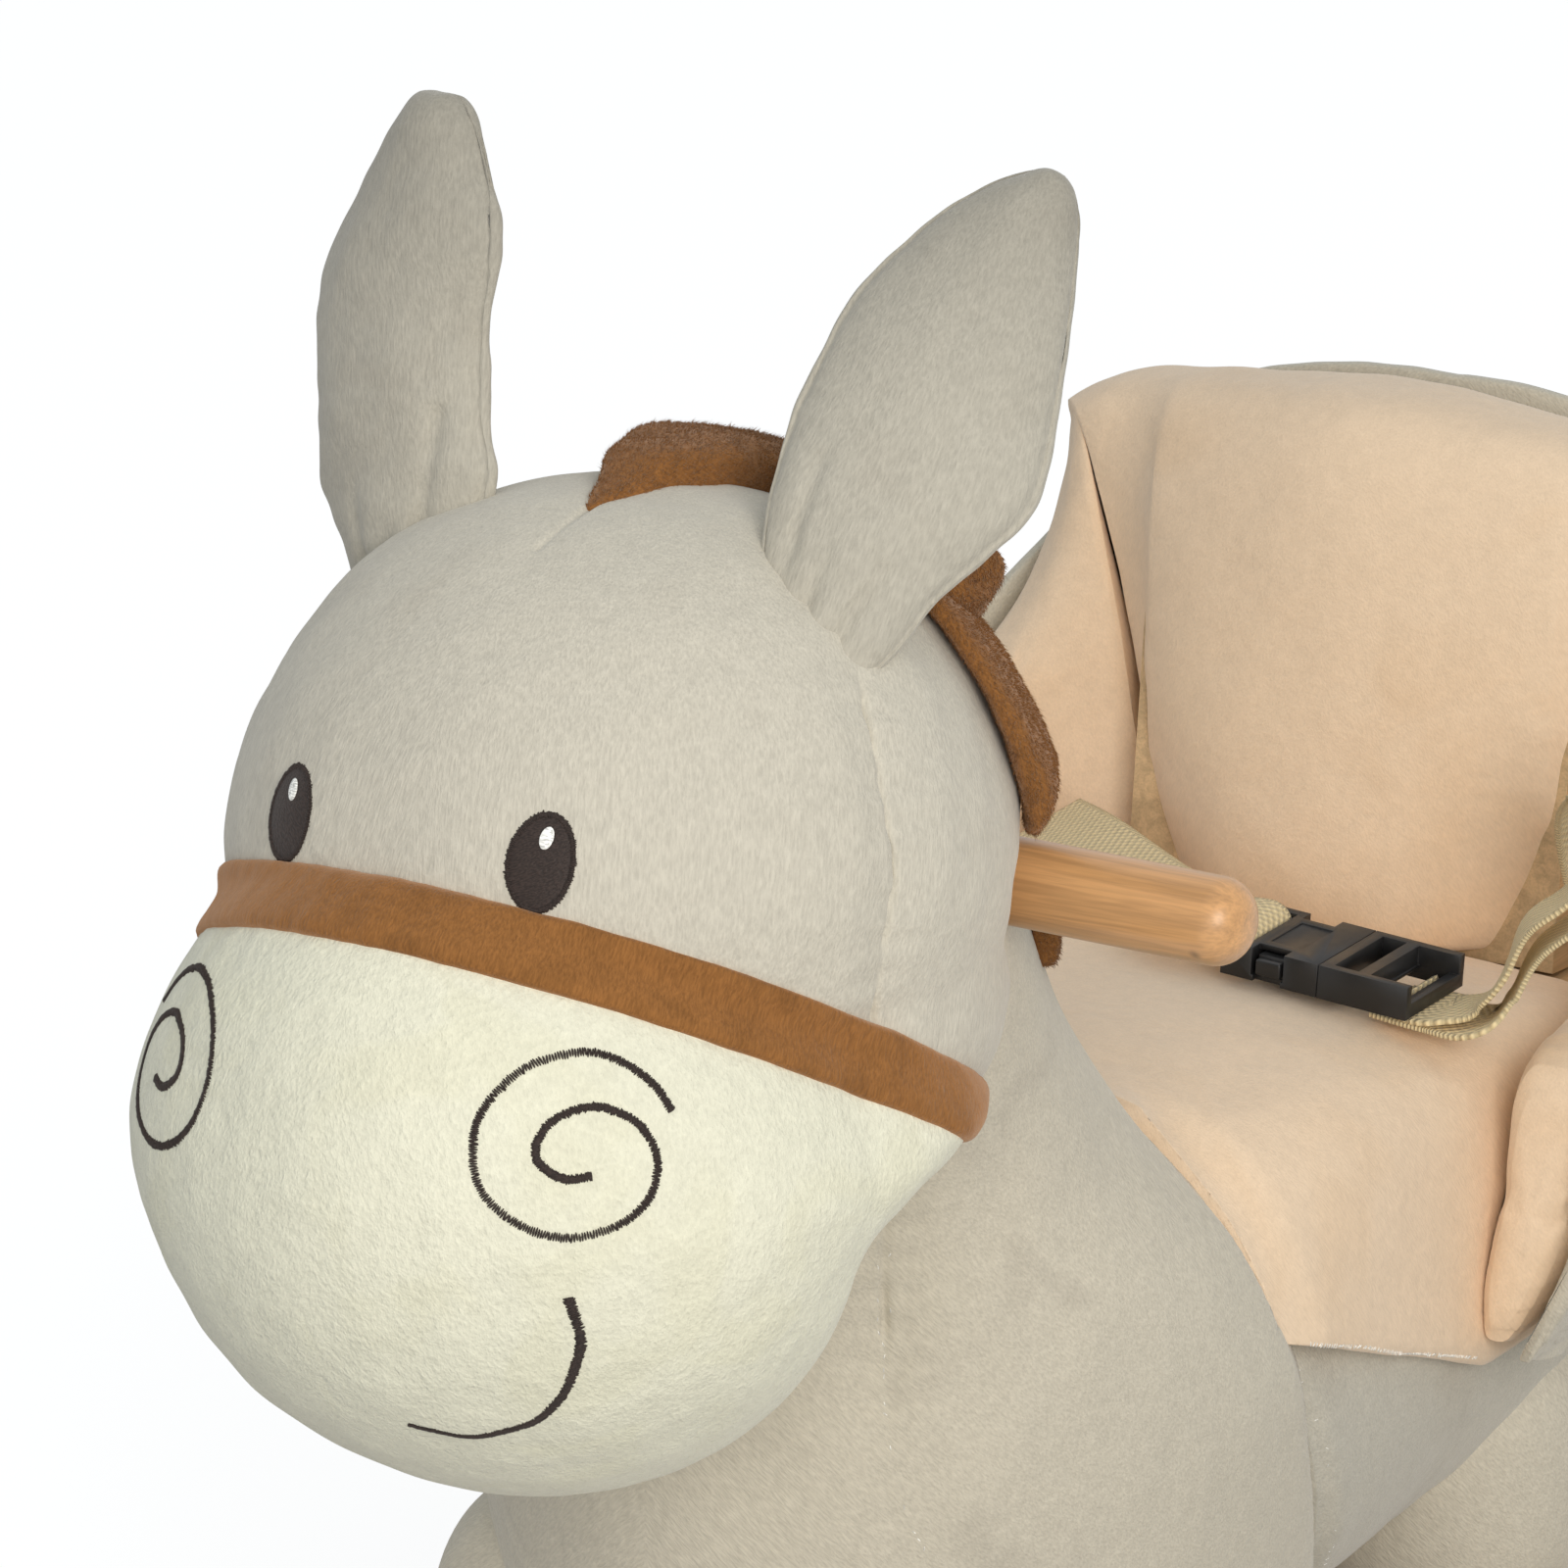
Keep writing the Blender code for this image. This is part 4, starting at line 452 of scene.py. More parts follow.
def bumps(made, shader, *layers):
    """Stack bump layers, each (height socket, strength, distance), and give them to the shader."""
    before = {}
    for height, strength, distance in layers:
        new = node(made, "ShaderNodeBump", Strength=strength, Distance=distance, Height=height, **before)
        before = {"Normal": new.outputs["Normal"]}
    wire(made, shader, **before)


def lying(made, vector, lie, width, length):
    """Stretch a pattern along the way the pile lies; width and length are one fibre's."""
    return node(made, "ShaderNodeMapping", vector_type="TEXTURE", Vector=vector, Scale=(width, width, length),
                Rotation=Vector(lie).to_track_quat("Z", "Y").to_euler()).outputs["Vector"]


def mirrored_place(made):
    """Object coordinates, plain and folded over X = 0, so that both sides of the toy have the same nap."""
    place = coordinates(made)
    x, y, z = split(made, place)
    return place, node(made, "ShaderNodeCombineXYZ", X=maths(made, "ABSOLUTE", x), Y=y, Z=z).outputs["Vector"]


def plush(name, base, shade, lie, width=0.0006, length=0.0032, patch=26.0, depth=0.00045, sheen=0.35,
          spread=(0.5, 0.66), strand=(0.88, 1.07), clump=0.5, brushed=0.45, fade=None, edge=0.0):
    """Short pile: brushed patches of shade, fine fibres along the lie, clumps and a painted sheen that pales
    the edges turned away from the view.

    fade is (height, height, factor): painted shade, where a piece grows darker towards its second height.
    """
    made, shader = start(name, base, 0.95)
    place, folded = mirrored_place(made)
    fibres = noise(made, lying(made, folded, lie, width, length), 1.0, 2.0, 0.6)
    patches = ranged(made, noise(made, place, patch, 2.5, 0.5, 0.7), *spread, 0.0, brushed)
    clumps = noise(made, place, 240.0, 3.0, 0.6)
    tone = mixed(made, patches, base, shade)
    tone = toned(made, tone, noise(made, place, 9.0, 1.5, 0.5), 0.35, 0.65, 0.965, 1.02, False)
    tone = toned(made, tone, fibres, 0.32, 0.68, *strand, False)
    # Painted shade: the piece darkens towards the second height of fade.
    if fade:
        tone = toned(made, tone, split(made, place)["Z"], fade[0], fade[1], 1.0, fade[2])
    # Painted sheen: the colour pales towards a light copy of the base where the surface turns away from the
    # view.
    if edge:
        turned = node(made, "ShaderNodeLayerWeight", Blend=0.45).outputs["Facing"]
        pale = tuple(min(1.0, c * 1.9 + 0.03) for c in base)
        tone = mixed(made, ranged(made, turned, 0.25, 0.95, 0.0, edge), tone, pale)
    tone = toned(made, tone, clumps, 0.3, 0.7, 0.96, 1.03, False)
    bumps(made, shader, (clumps, clump, 0.0009), (fibres, 0.55, depth))
    wire(made, shader, Base_Color=tone, Sheen_Weight=sheen, Sheen_Roughness=0.45,
         Sheen_Tint=(1.0, 0.98, 0.95),
         Specular_IOR_Level=0.15)
    return made


def woven(name, base, ribs=9.0, edge_ribs=22.0):
    """Flat webbing, read from the strap's own UV map: U across it and V along it in widths."""
    made, shader = start(name, base, 0.8)
    across, along, _ = split(made, coordinates(made, "UV"))

    def swing(value, count):
        return maths(made, "SINE", maths(made, "MULTIPLY_ADD", value, count * 2 * math.pi, 0.0))

    weave = maths(made, "MULTIPLY", swing(across, ribs), swing(along, ribs))
    from_middle = maths(made, "ABSOLUTE", maths(made, "SUBTRACT", across, 0.5))
    height = mixed(made, ranged(made, from_middle, 0.43, 0.46), weave, swing(along, edge_ribs))
    fuzz = noise(made, coordinates(made), 900.0, 2.0)
    tone = toned(made, base, height, -0.6, 0.8, 0.8, 1.12)
    tone = toned(made, tone, fuzz, 0.3, 0.7, 0.9, 1.06, False)
    bumps(made, shader, (height, 0.7, 0.0005), (fuzz, 0.25, 0.0002))
    wire(made, shader, Base_Color=tone, Sheen_Weight=0.15)
    return made


def wood(name, base, grain, dark=0.72, gloss=0.42, coat=0.0, knot=None):
    """Clear wood: long grain along a direction, fine pores and slow changes of colour."""
    made, shader = start(name, base, gloss)
    place = coordinates(made)
    bands = noise(made, lying(made, place, grain, 0.0042, 0.085), 1.0, 3.0, 0.55, 0.9)
    pores = noise(made, lying(made, place, grain, 0.0007, 0.016), 1.0, 2.0, 0.5)
    slow = noise(made, lying(made, place, grain, 0.02, 0.12), 1.0, 1.0)
    tone = toned(made, base, bands, 0.34, 0.68, dark, 1.05)
    tone = toned(made, tone, slow, 0.35, 0.65, 0.9, 1.06)
    tone = toned(made, tone, pores, 0.35, 0.6, 0.9, 1.02)
    if knot:
        away = node(made, "ShaderNodeVectorMath", operation="DISTANCE")
        for socket, value in zip(away.inputs, (place, knot)):
            feed(made, socket, value)
        tone = mixed(made, ranged(made, away.outputs["Value"], 0.0022, 0.0, 0.0, 0.75), tone,
                     tuple(c * 0.3 for c in base))
    bumps(made, shader, (bands, 0.08, 0.0004), (pores, 0.12, 0.0002))
    wire(made, shader, Base_Color=tone, Coat_Weight=coat, Coat_Roughness=0.25)
    return made


def stitched(name, base, way, width=0.00035):
    """Satin stitch: fine raised threads side by side."""
    made, shader = start(name, base, 0.55)
    threads = noise(made, lying(made, mirrored_place(made)[1], way, width, 0.012), 1.0, 1.0, 0.4)
    bumps(made, shader, (threads, 0.8, 0.0003))
    wire(made, shader, Base_Color=toned(made, base, threads, 0.35, 0.65, 0.72, 1.35), Sheen_Weight=0.04,
         Specular_IOR_Level=0.25)
    return made


def moulded(name, base):
    """Black moulded plastic with a fine even texture and paler rubbed patches."""
    made, shader = start(name, base, 0.4)
    rubbed = noise(made, coordinates(made), 60.0, 3.0, 0.6)
    pale = tuple(min(1.0, c * 2.2) for c in base)
    bumps(made, shader, (noise(made, coordinates(made), 1500.0, 2.0), 0.18, 0.0001))
    wire(made, shader, Base_Color=mixed(made, ranged(made, rubbed, 0.5, 0.75, 0.0, 0.35), base, pale),
         Roughness=ranged(made, rubbed, 0.35, 0.7, 0.36, 0.52))
    return made


def zinc(name, base):
    """Bright zinc on screws, bolts and brackets, with faint turning marks and dull spots."""
    made, shader = start(name, base, 0.35)
    dull = noise(made, coordinates(made), 90.0, 3.0)
    bumps(made, shader, (noise(made, coordinates(made), 900.0, 2.0), 0.1, 0.00008))
    wire(made, shader, Base_Color=toned(made, base, dull, 0.35, 0.7, 0.82, 1.05), Metallic=1.0,
         Roughness=ranged(made, dull, 0.3, 0.7, 0.26, 0.46))
    return made


FINISH = {}


def make_finishes():
    """Every material, made once from the panel's colours."""
    tint = bpy.context.scene.donkey_colours
    grey, shade, brown, cream, peach, birch = (
        tuple(c) for c in (tint.grey, tint.grey_shade, tint.brown, tint.cream, tint.peach, tint.birch))

    def scaled(base, *factors):
        return tuple(c * f for c, f in zip(base, factors * 3))

    nap = (0.7, 0.2, -0.67)
    pile = dict(length=0.003, depth=0.0006, sheen=0.25)
    FINISH.update(
        body=plush("grey_plush_body", scaled(grey, 0.98, 0.96, 0.93), shade, nap, spread=(0.56, 0.72)),
        trunk=plush("grey_plush_trunk", scaled(grey, 0.9), shade, nap, spread=(0.58, 0.74)),
        head=plush("grey_plush_head", grey, shade, (0.15, -0.35, -0.92), patch=20.0, spread=(0.56, 0.8)),
        # The ear's fade is painted shade, darker towards the tips.
        ear=plush("grey_plush_ear", scaled(grey, 0.8), scaled(shade, 0.84), (0.15, 0.35, 0.92), patch=30.0,
                  spread=(0.5, 0.8), fade=(0.47, 0.545, 0.8)),
        muzzle=plush("cream_plush", cream, scaled(cream, 0.95, 0.94, 0.88), (0.3, -0.2, -0.9), width=0.0009,
                     length=0.0016, patch=30.0, depth=0.0007, strand=(0.93, 1.04), clump=0.8),
        # The band's and the mane's edge is painted sheen, paler where they turn away from the view.
        band=plush("brown_plush_band", brown, scaled(brown, 0.66), (0.0, 0.5, 0.86), width=0.0005, patch=60.0,
                   spread=(0.45, 0.7), strand=(0.8, 1.2), edge=0.75, **pile),
        mane=plush("brown_plush_mane", scaled(brown, 0.92), scaled(brown, 0.7), (0.3, 0.75, -0.6),
                   width=0.00045,
                   patch=90.0, spread=(0.45, 0.75), strand=(0.78, 1.22), edge=0.45, **pile),
        peach=plush("peach_plush", peach, scaled(peach, 0.94, 0.88, 0.8), (0.2, 0.5, -0.8), patch=22.0,
                    spread=(0.48, 0.72), strand=(0.95, 1.03), depth=0.0003, clump=0.35),
        webbing=woven("tan_webbing", tuple(tint.webbing)),
        thread=stitched("brown_thread", tuple(tint.thread), (0.9, 0.0, 0.45)),
        glint=stitched("white_thread", linear(244, 244, 240), (1.0, 0.0, 0.0)),
        seam_thread=stitched("seam_thread", linear(236, 234, 228), (0.0, 0.0, 1.0)),
        handle=wood("handle_wood", tuple(tint.handle), (1.0, 0.0, 0.02), 0.82, 0.36, 0.2,
                    (0.1285, -0.1085, 0.3585)),
        rail=wood("birch_along_y", birch, (0.0, 1.0, 0.0), 0.86, 0.45),
        slat=wood("birch_along_x", birch, (1.0, 0.0, 0.0), 0.86, 0.45),
        post=wood("birch_upright", birch, (0.0, 0.0, 1.0), 0.86, 0.5),
        board=wood("plywood", linear(214, 184, 142), (0.0, 1.0, 0.0), 0.8, 0.6),
        plastic=moulded("black_plastic", tuple(tint.plastic)),
        steel=zinc("zinc_steel", linear(196, 197, 194)),
    )


# Stuffed head

SKULL_CENTRE = np.array((0.0, -0.15, 0.377))
SKULL_HALF = np.array((0.093, 0.092, 0.084))
MUZZLE_CENTRE = np.array((0.0, -0.19, 0.32))
MUZZLE_HALF = np.array((0.0943, 0.088, 0.0872))
SEAM_POINT = np.array((0.0, -0.244, 0.3805))
SEAM_SLOPE = math.radians(30.7)
SEAM_UP = np.array((0.0, math.sin(SEAM_SLOPE), math.cos(SEAM_SLOPE)))
SEAM_BACK = np.array((0.0, math.cos(SEAM_SLOPE), -math.sin(SEAM_SLOPE)))
HANDLE_PLACE = np.array((0.0, -0.1, 0.3645))
HANDLE_RADIUS = 0.0105


def soft_ramp(value, blend):
    """Zero below zero and the value above it, with a rounded bend."""
    return (value + np.sqrt(value ** 2 + blend ** 2)) / 2


def ball(turn, rise):
    """A unit ball's points."""
    (c, s), b = circle(turn), np.pi * rise
    return np.sin(b) * c, np.sin(b) * s, -np.cos(b)


def skull_place(turn, rise):
    """The upper egg, swelled at the cheeks and a little narrower over the brow."""
    x, y, z = ball(turn, rise)
    brow = eased(np.clip(z / 0.45, 0.0, 1.0))
    x = x * (1.0 + 0.5 * soft_ramp(-z - 0.25, 0.03)) * (1.0 - 0.02 * brow)
    y = y * (1.0 - 0.03 * brow * (y < 0))
    return SKULL_CENTRE + np.stack((x, y, z), 1) * SKULL_HALF


def muzzle_place(turn, rise):
    """The lower egg: full at the jowls under the nose band, then tucked in to the chin."""
    x, y, z = ball(turn, rise)
    fade = np.clip((0.07 - z) / 0.33, 0.0, 1.0)
    fade = eased(fade) * 0.6 + fade * 0.4
    x = x * (1.0 + 0.34 * soft_ramp(y, 0.02) * (1.0 - fade)) * (1.0 - 0.2 * soft_ramp(z, 0.02))
    x = x * (1.0 - 0.08 * fade * np.clip(y + 0.6, 0.0, 1.0))
    y = y - 0.7 * fade * soft_ramp(y, 0.04)
    return MUZZLE_CENTRE + np.stack((x, y, z), 1) * MUZZLE_HALF


HEAD_SEAM = ((0.0705, -0.158, 0.432), (0.0753, -0.1638, 0.423), (0.0799, -0.1667, 0.4158),
             (0.0834, -0.1698, 0.4076),
             (0.0868, -0.1719, 0.3982), (0.0884, -0.1729, 0.3891), (0.0886, -0.1765, 0.3777),
             (0.0872, -0.1775, 0.3689), (0.086, -0.178, 0.355))


def mirrored(route):
    """The same route on the other side of the toy."""
    return [(-x, y, z) for x, y, z in route]


class DONKEY_OT_head(bpy.types.Operator):
    """Stuffed face with its side seams, brow dart and the dimple round the handle bar"""
    bl_idname = "donkey.head"
    bl_label = "Head"

    def execute(self, context):
        head = wrapped("plush_head", 400, 190, skull_place, (-0.033, 0.533, 0.967))
        for route in (HEAD_SEAM, mirrored(HEAD_SEAM)):
            crease(head, route, 0.0016, 0.0009, 0.0014, 0.008, 0.0007, 0.009)
        crease(head, ((0.0, -0.15, 0.4615), (0.0, -0.1641, 0.4595), (0.0, -0.176, 0.4565),
                      (-0.0006, -0.184, 0.454)),
               0.0014, 0.001, 0.0008, 0.006)
        uneven(head, (0.0006, 0.06, 3), (0.00022, 0.018, 4))
        for side in (1, -1):
            at = corners(head)
            from_bar = at[:, 1:] - HANDLE_PLACE[1:]
            gap = np.linalg.norm(from_bar, axis=1)
            near = at[:, 0] * side > 0.03
            ripple = 1.0 + 0.12 * np.sin(9 * np.arctan2(*from_bar.T))
            dimple = np.exp(-(np.maximum(gap - HANDLE_RADIUS * 0.8, 0) / 0.008) ** 2)
            push(head, -0.0055 * near * ripple * dimple)
        keep_behind(head, SEAM_POINT - SEAM_UP * 0.004, -SEAM_UP)
        settle(head, FINISH["head"], ["head"])
        return {"FINISHED"}


class DONKEY_OT_muzzle(bpy.types.Operator):
    """Stuffed cream muzzle below the nose band"""
    bl_idname = "donkey.muzzle"
    bl_label = "Muzzle"

    def execute(self, context):
        muzzle = wrapped("plush_muzzle", 288, 190, muzzle_place)
        uneven(muzzle, (0.0005, 0.07, 7), (0.0002, 0.016, 8))
        keep_behind(muzzle, SEAM_POINT + SEAM_UP * 0.002, SEAM_UP)
        settle(muzzle, FINISH["muzzle"], ["muzzle"])
        return {"FINISHED"}


def band_rows(trees, stations, steps):
    """Where rays from inside the head leave it, on lines across the nose band."""
    middle = SEAM_POINT + SEAM_BACK * (MUZZLE_HALF[1] * 0.98) + SEAM_UP * 0.0028
    reach = math.radians(119.0)
    rows = []
    for turn in np.linspace(-reach, reach, stations):
        way = Vector((math.sin(turn), 0, 0)) - Vector(SEAM_BACK) * math.cos(turn)
        row = []
        for step in steps:
            base = Vector(middle + SEAM_UP * step)
            reaches = [tree.ray_cast(base, way)[3] for tree in trees]
            row.append(base + way * max(reach for reach in reaches if reach))
        rows.append((way, row))
    return rows


class DONKEY_OT_nose_band(bpy.types.Operator):
    """Brown plush band over the seam between face and muzzle, with soft cut edges"""
    bl_idname = "donkey.nose_band"
    bl_label = "Nose band"

    def execute(self, context):
        settings = context.scene.donkey_head
        half, proud = settings.band_width / 2, settings.band_thickness
        eggs = [wrapped("egg", 160, 110, form) for form in (skull_place, muzzle_place)]
        trees = surface_of(*eggs)
        for egg in eggs:
            bpy.data.objects.remove(egg, do_unlink=True)
        across = 13
        steps = np.linspace(-half, half, across)
        rows = band_rows(trees, 221, steps)
        count = len(rows) - 1
        core = np.array([row for way, row in rows])
        for _ in range(3):
            core[:, 1:-1] = core[:, 1:-1] * 0.5 + (core[:, :-2] + core[:, 2:]) * 0.25
        ways = np.array([way for way, row in rows])[:, None]
        lift = proud * (1.0 - 0.75 * np.abs(np.linspace(-1, 1, across)) ** 6)
        section = np.concatenate((core + ways * lift[:, None], (core - ways * 0.01)[:, ::-1]), axis=1)
        sides = 2 * across

        def place(turn, rise):
            k = np.rint(turn * sides).astype(int) % sides
            j = np.rint(rise * (count + 2)).astype(int)
            ring = section[np.clip(j - 1, 0, count)]
            return np.where(at_ends(rise)[:, None], ring.mean(axis=1), ring[np.arange(len(k)), k])

        band = wrapped("plush_nose_band", sides, count + 2, place)
        uneven(band, (0.0002, 0.02, 12), (0.00015, 0.006, 13))
        finer(band)
        settle(band, FINISH["band"], ["nose_band"])
        return {"FINISHED"}


# Ears

EARS = {
    "left": dict(side=1, root=(0.056, -0.1525, 0.439), tip=(0.024, 0.064, 0.087),
                 left=((-0.012, -0.01), (0.004, -0.0185), (0.0195, -0.0254), (0.034, -0.029), (0.05, -0.0305),
                       (0.068, -0.0312), (0.087, -0.0262), (0.1035, -0.018), (0.1118, -0.0105),
                       (0.1145, -0.0055)),
                 right=((-0.012, 0.015), (0.002, 0.019), (0.0155, 0.0214), (0.03, 0.0264), (0.042, 0.03),
                        (0.0535, 0.028), (0.075, 0.0202), (0.092, 0.0133), (0.1075, 0.0062),
                        (0.1145, -0.0005))),
    "right": dict(side=-1, root=(-0.057, -0.1545, 0.441), tip=(-0.003, 0.022, 0.097),
                  left=((-0.014, -0.015), (-0.004, -0.02), (0.0074, -0.0293), (0.023, -0.0339),
                        (0.0415, -0.0356),
                        (0.0624, -0.0346), (0.0794, -0.0246), (0.092, -0.0162), (0.0998, -0.0105),
                        (0.103, -0.0068)),
                  right=((-0.014, 0.019), (-0.004, 0.024), (0.0164, 0.0288), (0.03, 0.025), (0.0518, 0.0222),
                         (0.064, 0.0232), (0.077, 0.0218), (0.092, 0.015), (0.1, 0.0092), (0.103, 0.0045))),
}


def ear_axes(side, tip):
    """Unit directions along, across and out of the face of an ear."""
    along = Vector(tip).normalized()
    facing = Vector((side * 0.24, -0.89, 0.1))
    facing = (facing - along * facing.dot(along)).normalized()
    return np.array(along), np.array(along.cross(facing)), np.array(facing)


def ear_piece(name, side, root, tip, left, right):
    """Two panels of plush sewn round the edge and lightly stuffed."""
    along, across, facing = ear_axes(side, tip)
    root = np.array(root)
    depth = 0.0095

    def place(turn, rise):
        end = np.clip(rise, 0.0, 1.0)
        low, high = through(left, end), through(right, end)
        c, s = circle(turn)
        middle, half = (low[:, 1] + high[:, 1]) / 2, (high[:, 1] - low[:, 1]) / 2
        run = (low[:, 0] + high[:, 0]) / 2 + (high[:, 0] - low[:, 0]) / 2 * c
        closing = np.sqrt(np.clip(1.0 - ((rise - 0.955) / 0.045) ** 2 * (rise > 0.955), 0.0, 1.0))
        full = np.sin(np.pi * np.clip(rise * 0.86 + 0.14, 0.0, 1.0)) ** 0.45
        seam = 1.0 - 0.55 * np.exp(-((np.abs(s) - 0.3) / 0.07) ** 2) * (np.abs(c) > 0.8)
        puff = depth * full * closing * rounded(s, 1.15) * seam
        bow = 0.004 * np.sin(np.pi * rise)
        tuck = np.where(rise > 0, closing, 0.2)
        return (root + along * run[:, None] + across * (middle + half * c * np.maximum(tuck, 0.35))[:, None]
                + facing * (puff + bow * (1 - c * c))[:, None])

    piece = wrapped(name, 120, 150, place)
    uneven(piece, (0.0005, 0.03, 20 + side), (0.0002, 0.01, 30 + side))
    for start_at, end_at in (((0.0, -0.013), (0.03, -0.016)), ((-0.004, -0.004), (0.022, -0.004)),
                             ((-0.006, 0.006), (0.014, 0.008))):
        ends = [root + along * t + across * (s * side) + facing * 0.008 for t, s in (start_at, end_at)]
        crease(piece, [ends[0], (ends[0] + ends[1]) / 2, ends[1]], 0.0018, 0.0022, 0.0, count=8)
    return piece


class DONKEY_OT_ears(bpy.types.Operator):
    """Two lightly stuffed ears, sewn round the edge and pleated where they join the head"""
    bl_idname = "donkey.ears"
    bl_label = "Ears"

    def execute(self, context):
        for name, sizes in EARS.items():
            piece = ear_piece("plush_ear_" + name, **sizes)
            settle(piece, FINISH["ear"], ["ear_" + name])
        return {"FINISHED"}


# Embroidery

THREAD_STEP = 0.00036
THREAD_RADIUS = 0.00027
THREAD_RISE = 0.00042


def on_face(tree, x, z, lift=0.0):
    """The place on the front of the head at a height and a distance from the middle, and its normal."""
    hit, normal, _, _ = tree.ray_cast(Vector((x, -0.5, z)), Vector((0.0, 1.0, 0.0)))
    return hit + normal * lift, normal


def thread_line(name, tree, route, width, taper=None, lift=0.0, seed=0):
    """A line of satin stitch on the head: raised threads side by side across a route of (x, z)."""
    length = sum(math.dist(a, b) for a, b in zip(route, route[1:])) * 1.04
    count = max(int(length / THREAD_STEP), 24)
    flat = through(route, np.linspace(0, 1, count))
    spots = [on_face(tree, x, z, lift) for x, z in flat]
    core = np.array([p for p, n in spots])
    normal = np.array([n for p, n in spots])
    ahead = unit_rows(np.gradient(core, axis=0))
    along = np.linspace(0, 1, count)
    half = np.full(count, width / 2) if taper is None else np.interp(along, *taper) * width / 2
    chance = np.random.RandomState(seed)
    side = unit_rows(np.cross(ahead, normal) + ahead * chance.normal(scale=0.1, size=(count, 1)))
    half = half * chance.uniform(0.9, 1.16, size=count)
    core = core + side * chance.normal(scale=0.00009, size=(count, 1))
    return threads(name, core, side, normal, half, THREAD_RADIUS, THREAD_RISE)


def threads(name, core, side, normal, half, radius, rise):
    """Short threads as small bent ellipsoids at given places, lying along side on a surface."""
    clear_selection()
    bpy.ops.mesh.primitive_uv_sphere_add(segments=6, ring_count=7, radius=1.0)
    made = bpy.context.object
    made.name = made.data.name = name
    one = corners(made)
    faces = np.array([tuple(face.vertices) + (-1,) * (4 - len(face.vertices)) for face in made.data.polygons])
    across = np.cross(side, normal)
    dome = np.sqrt(np.clip(1 - one[:, 2] ** 2, 0, 1)) * rise
    points = (core[:, None] + side[:, None] * (one[None, :, 2:] * half[:, None, None])
              + across[:, None] * (one[None, :, :1] * radius)
              + normal[:, None] * (one[None, :, 1:2] * radius + dome[None, :, None] - radius * 0.5))
    built = [tuple(int(v) + k * len(one) for v in face if v >= 0) for k in range(len(core)) for face in faces]
    made.data.clear_geometry()
    made.data.from_pydata(points.reshape(-1, 3).tolist(), [], built)
    pick(made)
    bpy.ops.object.shade_smooth()
    return made


def thread_patch(name, tree, centre, half_wide, half_high, lean, thick, lift=0.0):
    """A filled oval of satin stitch, a little domed."""
    turned = math.radians(lean)

    def place(turn, rise):
        flat_x, flat_z, dome = ball(turn, rise)
        flat_x, flat_z = flat_x * half_wide, flat_z * half_high
        x = centre[0] + flat_x * math.cos(turned) - flat_z * math.sin(turned)
        z = centre[1] + flat_x * math.sin(turned) + flat_z * math.cos(turned)
        made = np.empty((len(x), 3))
        for i in range(len(x)):
            at, normal = on_face(tree, float(x[i]), float(z[i]), lift)
            made[i] = at + normal * (thick * dome[i])
        return made

    return wrapped(name, 72, 24, place)


NOSTRIL = ((0.0686, 0.3492), (0.0646, 0.3548), (0.0587, 0.3595), (0.0512, 0.3623), (0.0427, 0.3599),
           (0.0374, 0.353),
           (0.0362, 0.3452), (0.039, 0.3352), (0.0467, 0.3276), (0.056, 0.3243), (0.0648, 0.3266),
           (0.0692, 0.332), (0.069, 0.3396), (0.0652, 0.3466), (0.0606, 0.3504), (0.0558, 0.3517),
           (0.0508, 0.3498), (0.0485, 0.3456), (0.049, 0.3416), (0.0522, 0.3385), (0.0556, 0.3371),
           (0.059, 0.3376))
SMILE = ((0.0562, 0.31), (0.0575, 0.3005), (0.0556, 0.2929), (0.0512, 0.2842), (0.0446, 0.277),
         (0.037, 0.2731),
         (0.0283, 0.2702), (0.0204, 0.271), (0.0148, 0.2718))
EYES = {"left": (0.0312, 0.3983), "right": (-0.0378, 0.3973)}


class DONKEY_OT_embroidery(bpy.types.Operator):
    """Eyes with a white glint, curled nostrils and a mouth line, all in raised satin stitch"""
    bl_idname = "donkey.embroidery"
    bl_label = "Embroidery"

    def execute(self, context):
        width = context.scene.donkey_head.thread_width
        face, muzzle = surface_of(bpy.data.objects["plush_head"], bpy.data.objects["plush_muzzle"])
        rim_wide, rim_high = 0.0069, 0.01
        for name, (x, z) in EYES.items():
            side = 1 if name == "left" else -1
            lean = math.radians(6.0 * side)
            eye = thread_patch("eye_" + name, face, (x, z), 0.0074, 0.0105, 6.0 * side, 0.0007)
            settle(eye, FINISH["thread"])
            rim = [(x + rim_wide * math.cos(a) * math.cos(lean) - rim_high * math.sin(a) * math.sin(lean),
                    z + rim_wide * math.cos(a) * math.sin(lean) + rim_high * math.sin(a) * math.cos(lean))
                   for a in np.linspace(0, 2 * math.pi, 25)]
            edge = thread_line("eye_rim_" + name, face, rim, 0.0016, lift=0.0001, seed=30 + side)
            settle(edge, FINISH["thread"])
            glint = thread_patch("eye_glint_" + name, face, (x + 0.0004, z + 0.0052), 0.0015, 0.0023, 0.0,
                                 0.0004, 0.0007)
            settle(glint, FINISH["glint"])
        for side, name in ((1, "left"), (-1, "right")):
            line = thread_line("nostril_" + name, muzzle, [(side * x, z) for x, z in NOSTRIL], width,
                               seed=20 + side)
            settle(line, FINISH["thread"])
        mouth = thread_line("mouth", muzzle, SMILE, width, ((0, 0.5, 0.8, 1), (1.35, 1.05, 0.75, 0.6)),
                            seed=22)
        settle(mouth, FINISH["thread"])
        return {"FINISHED"}


# Mane

FIBRE_WIDTH = 0.0003


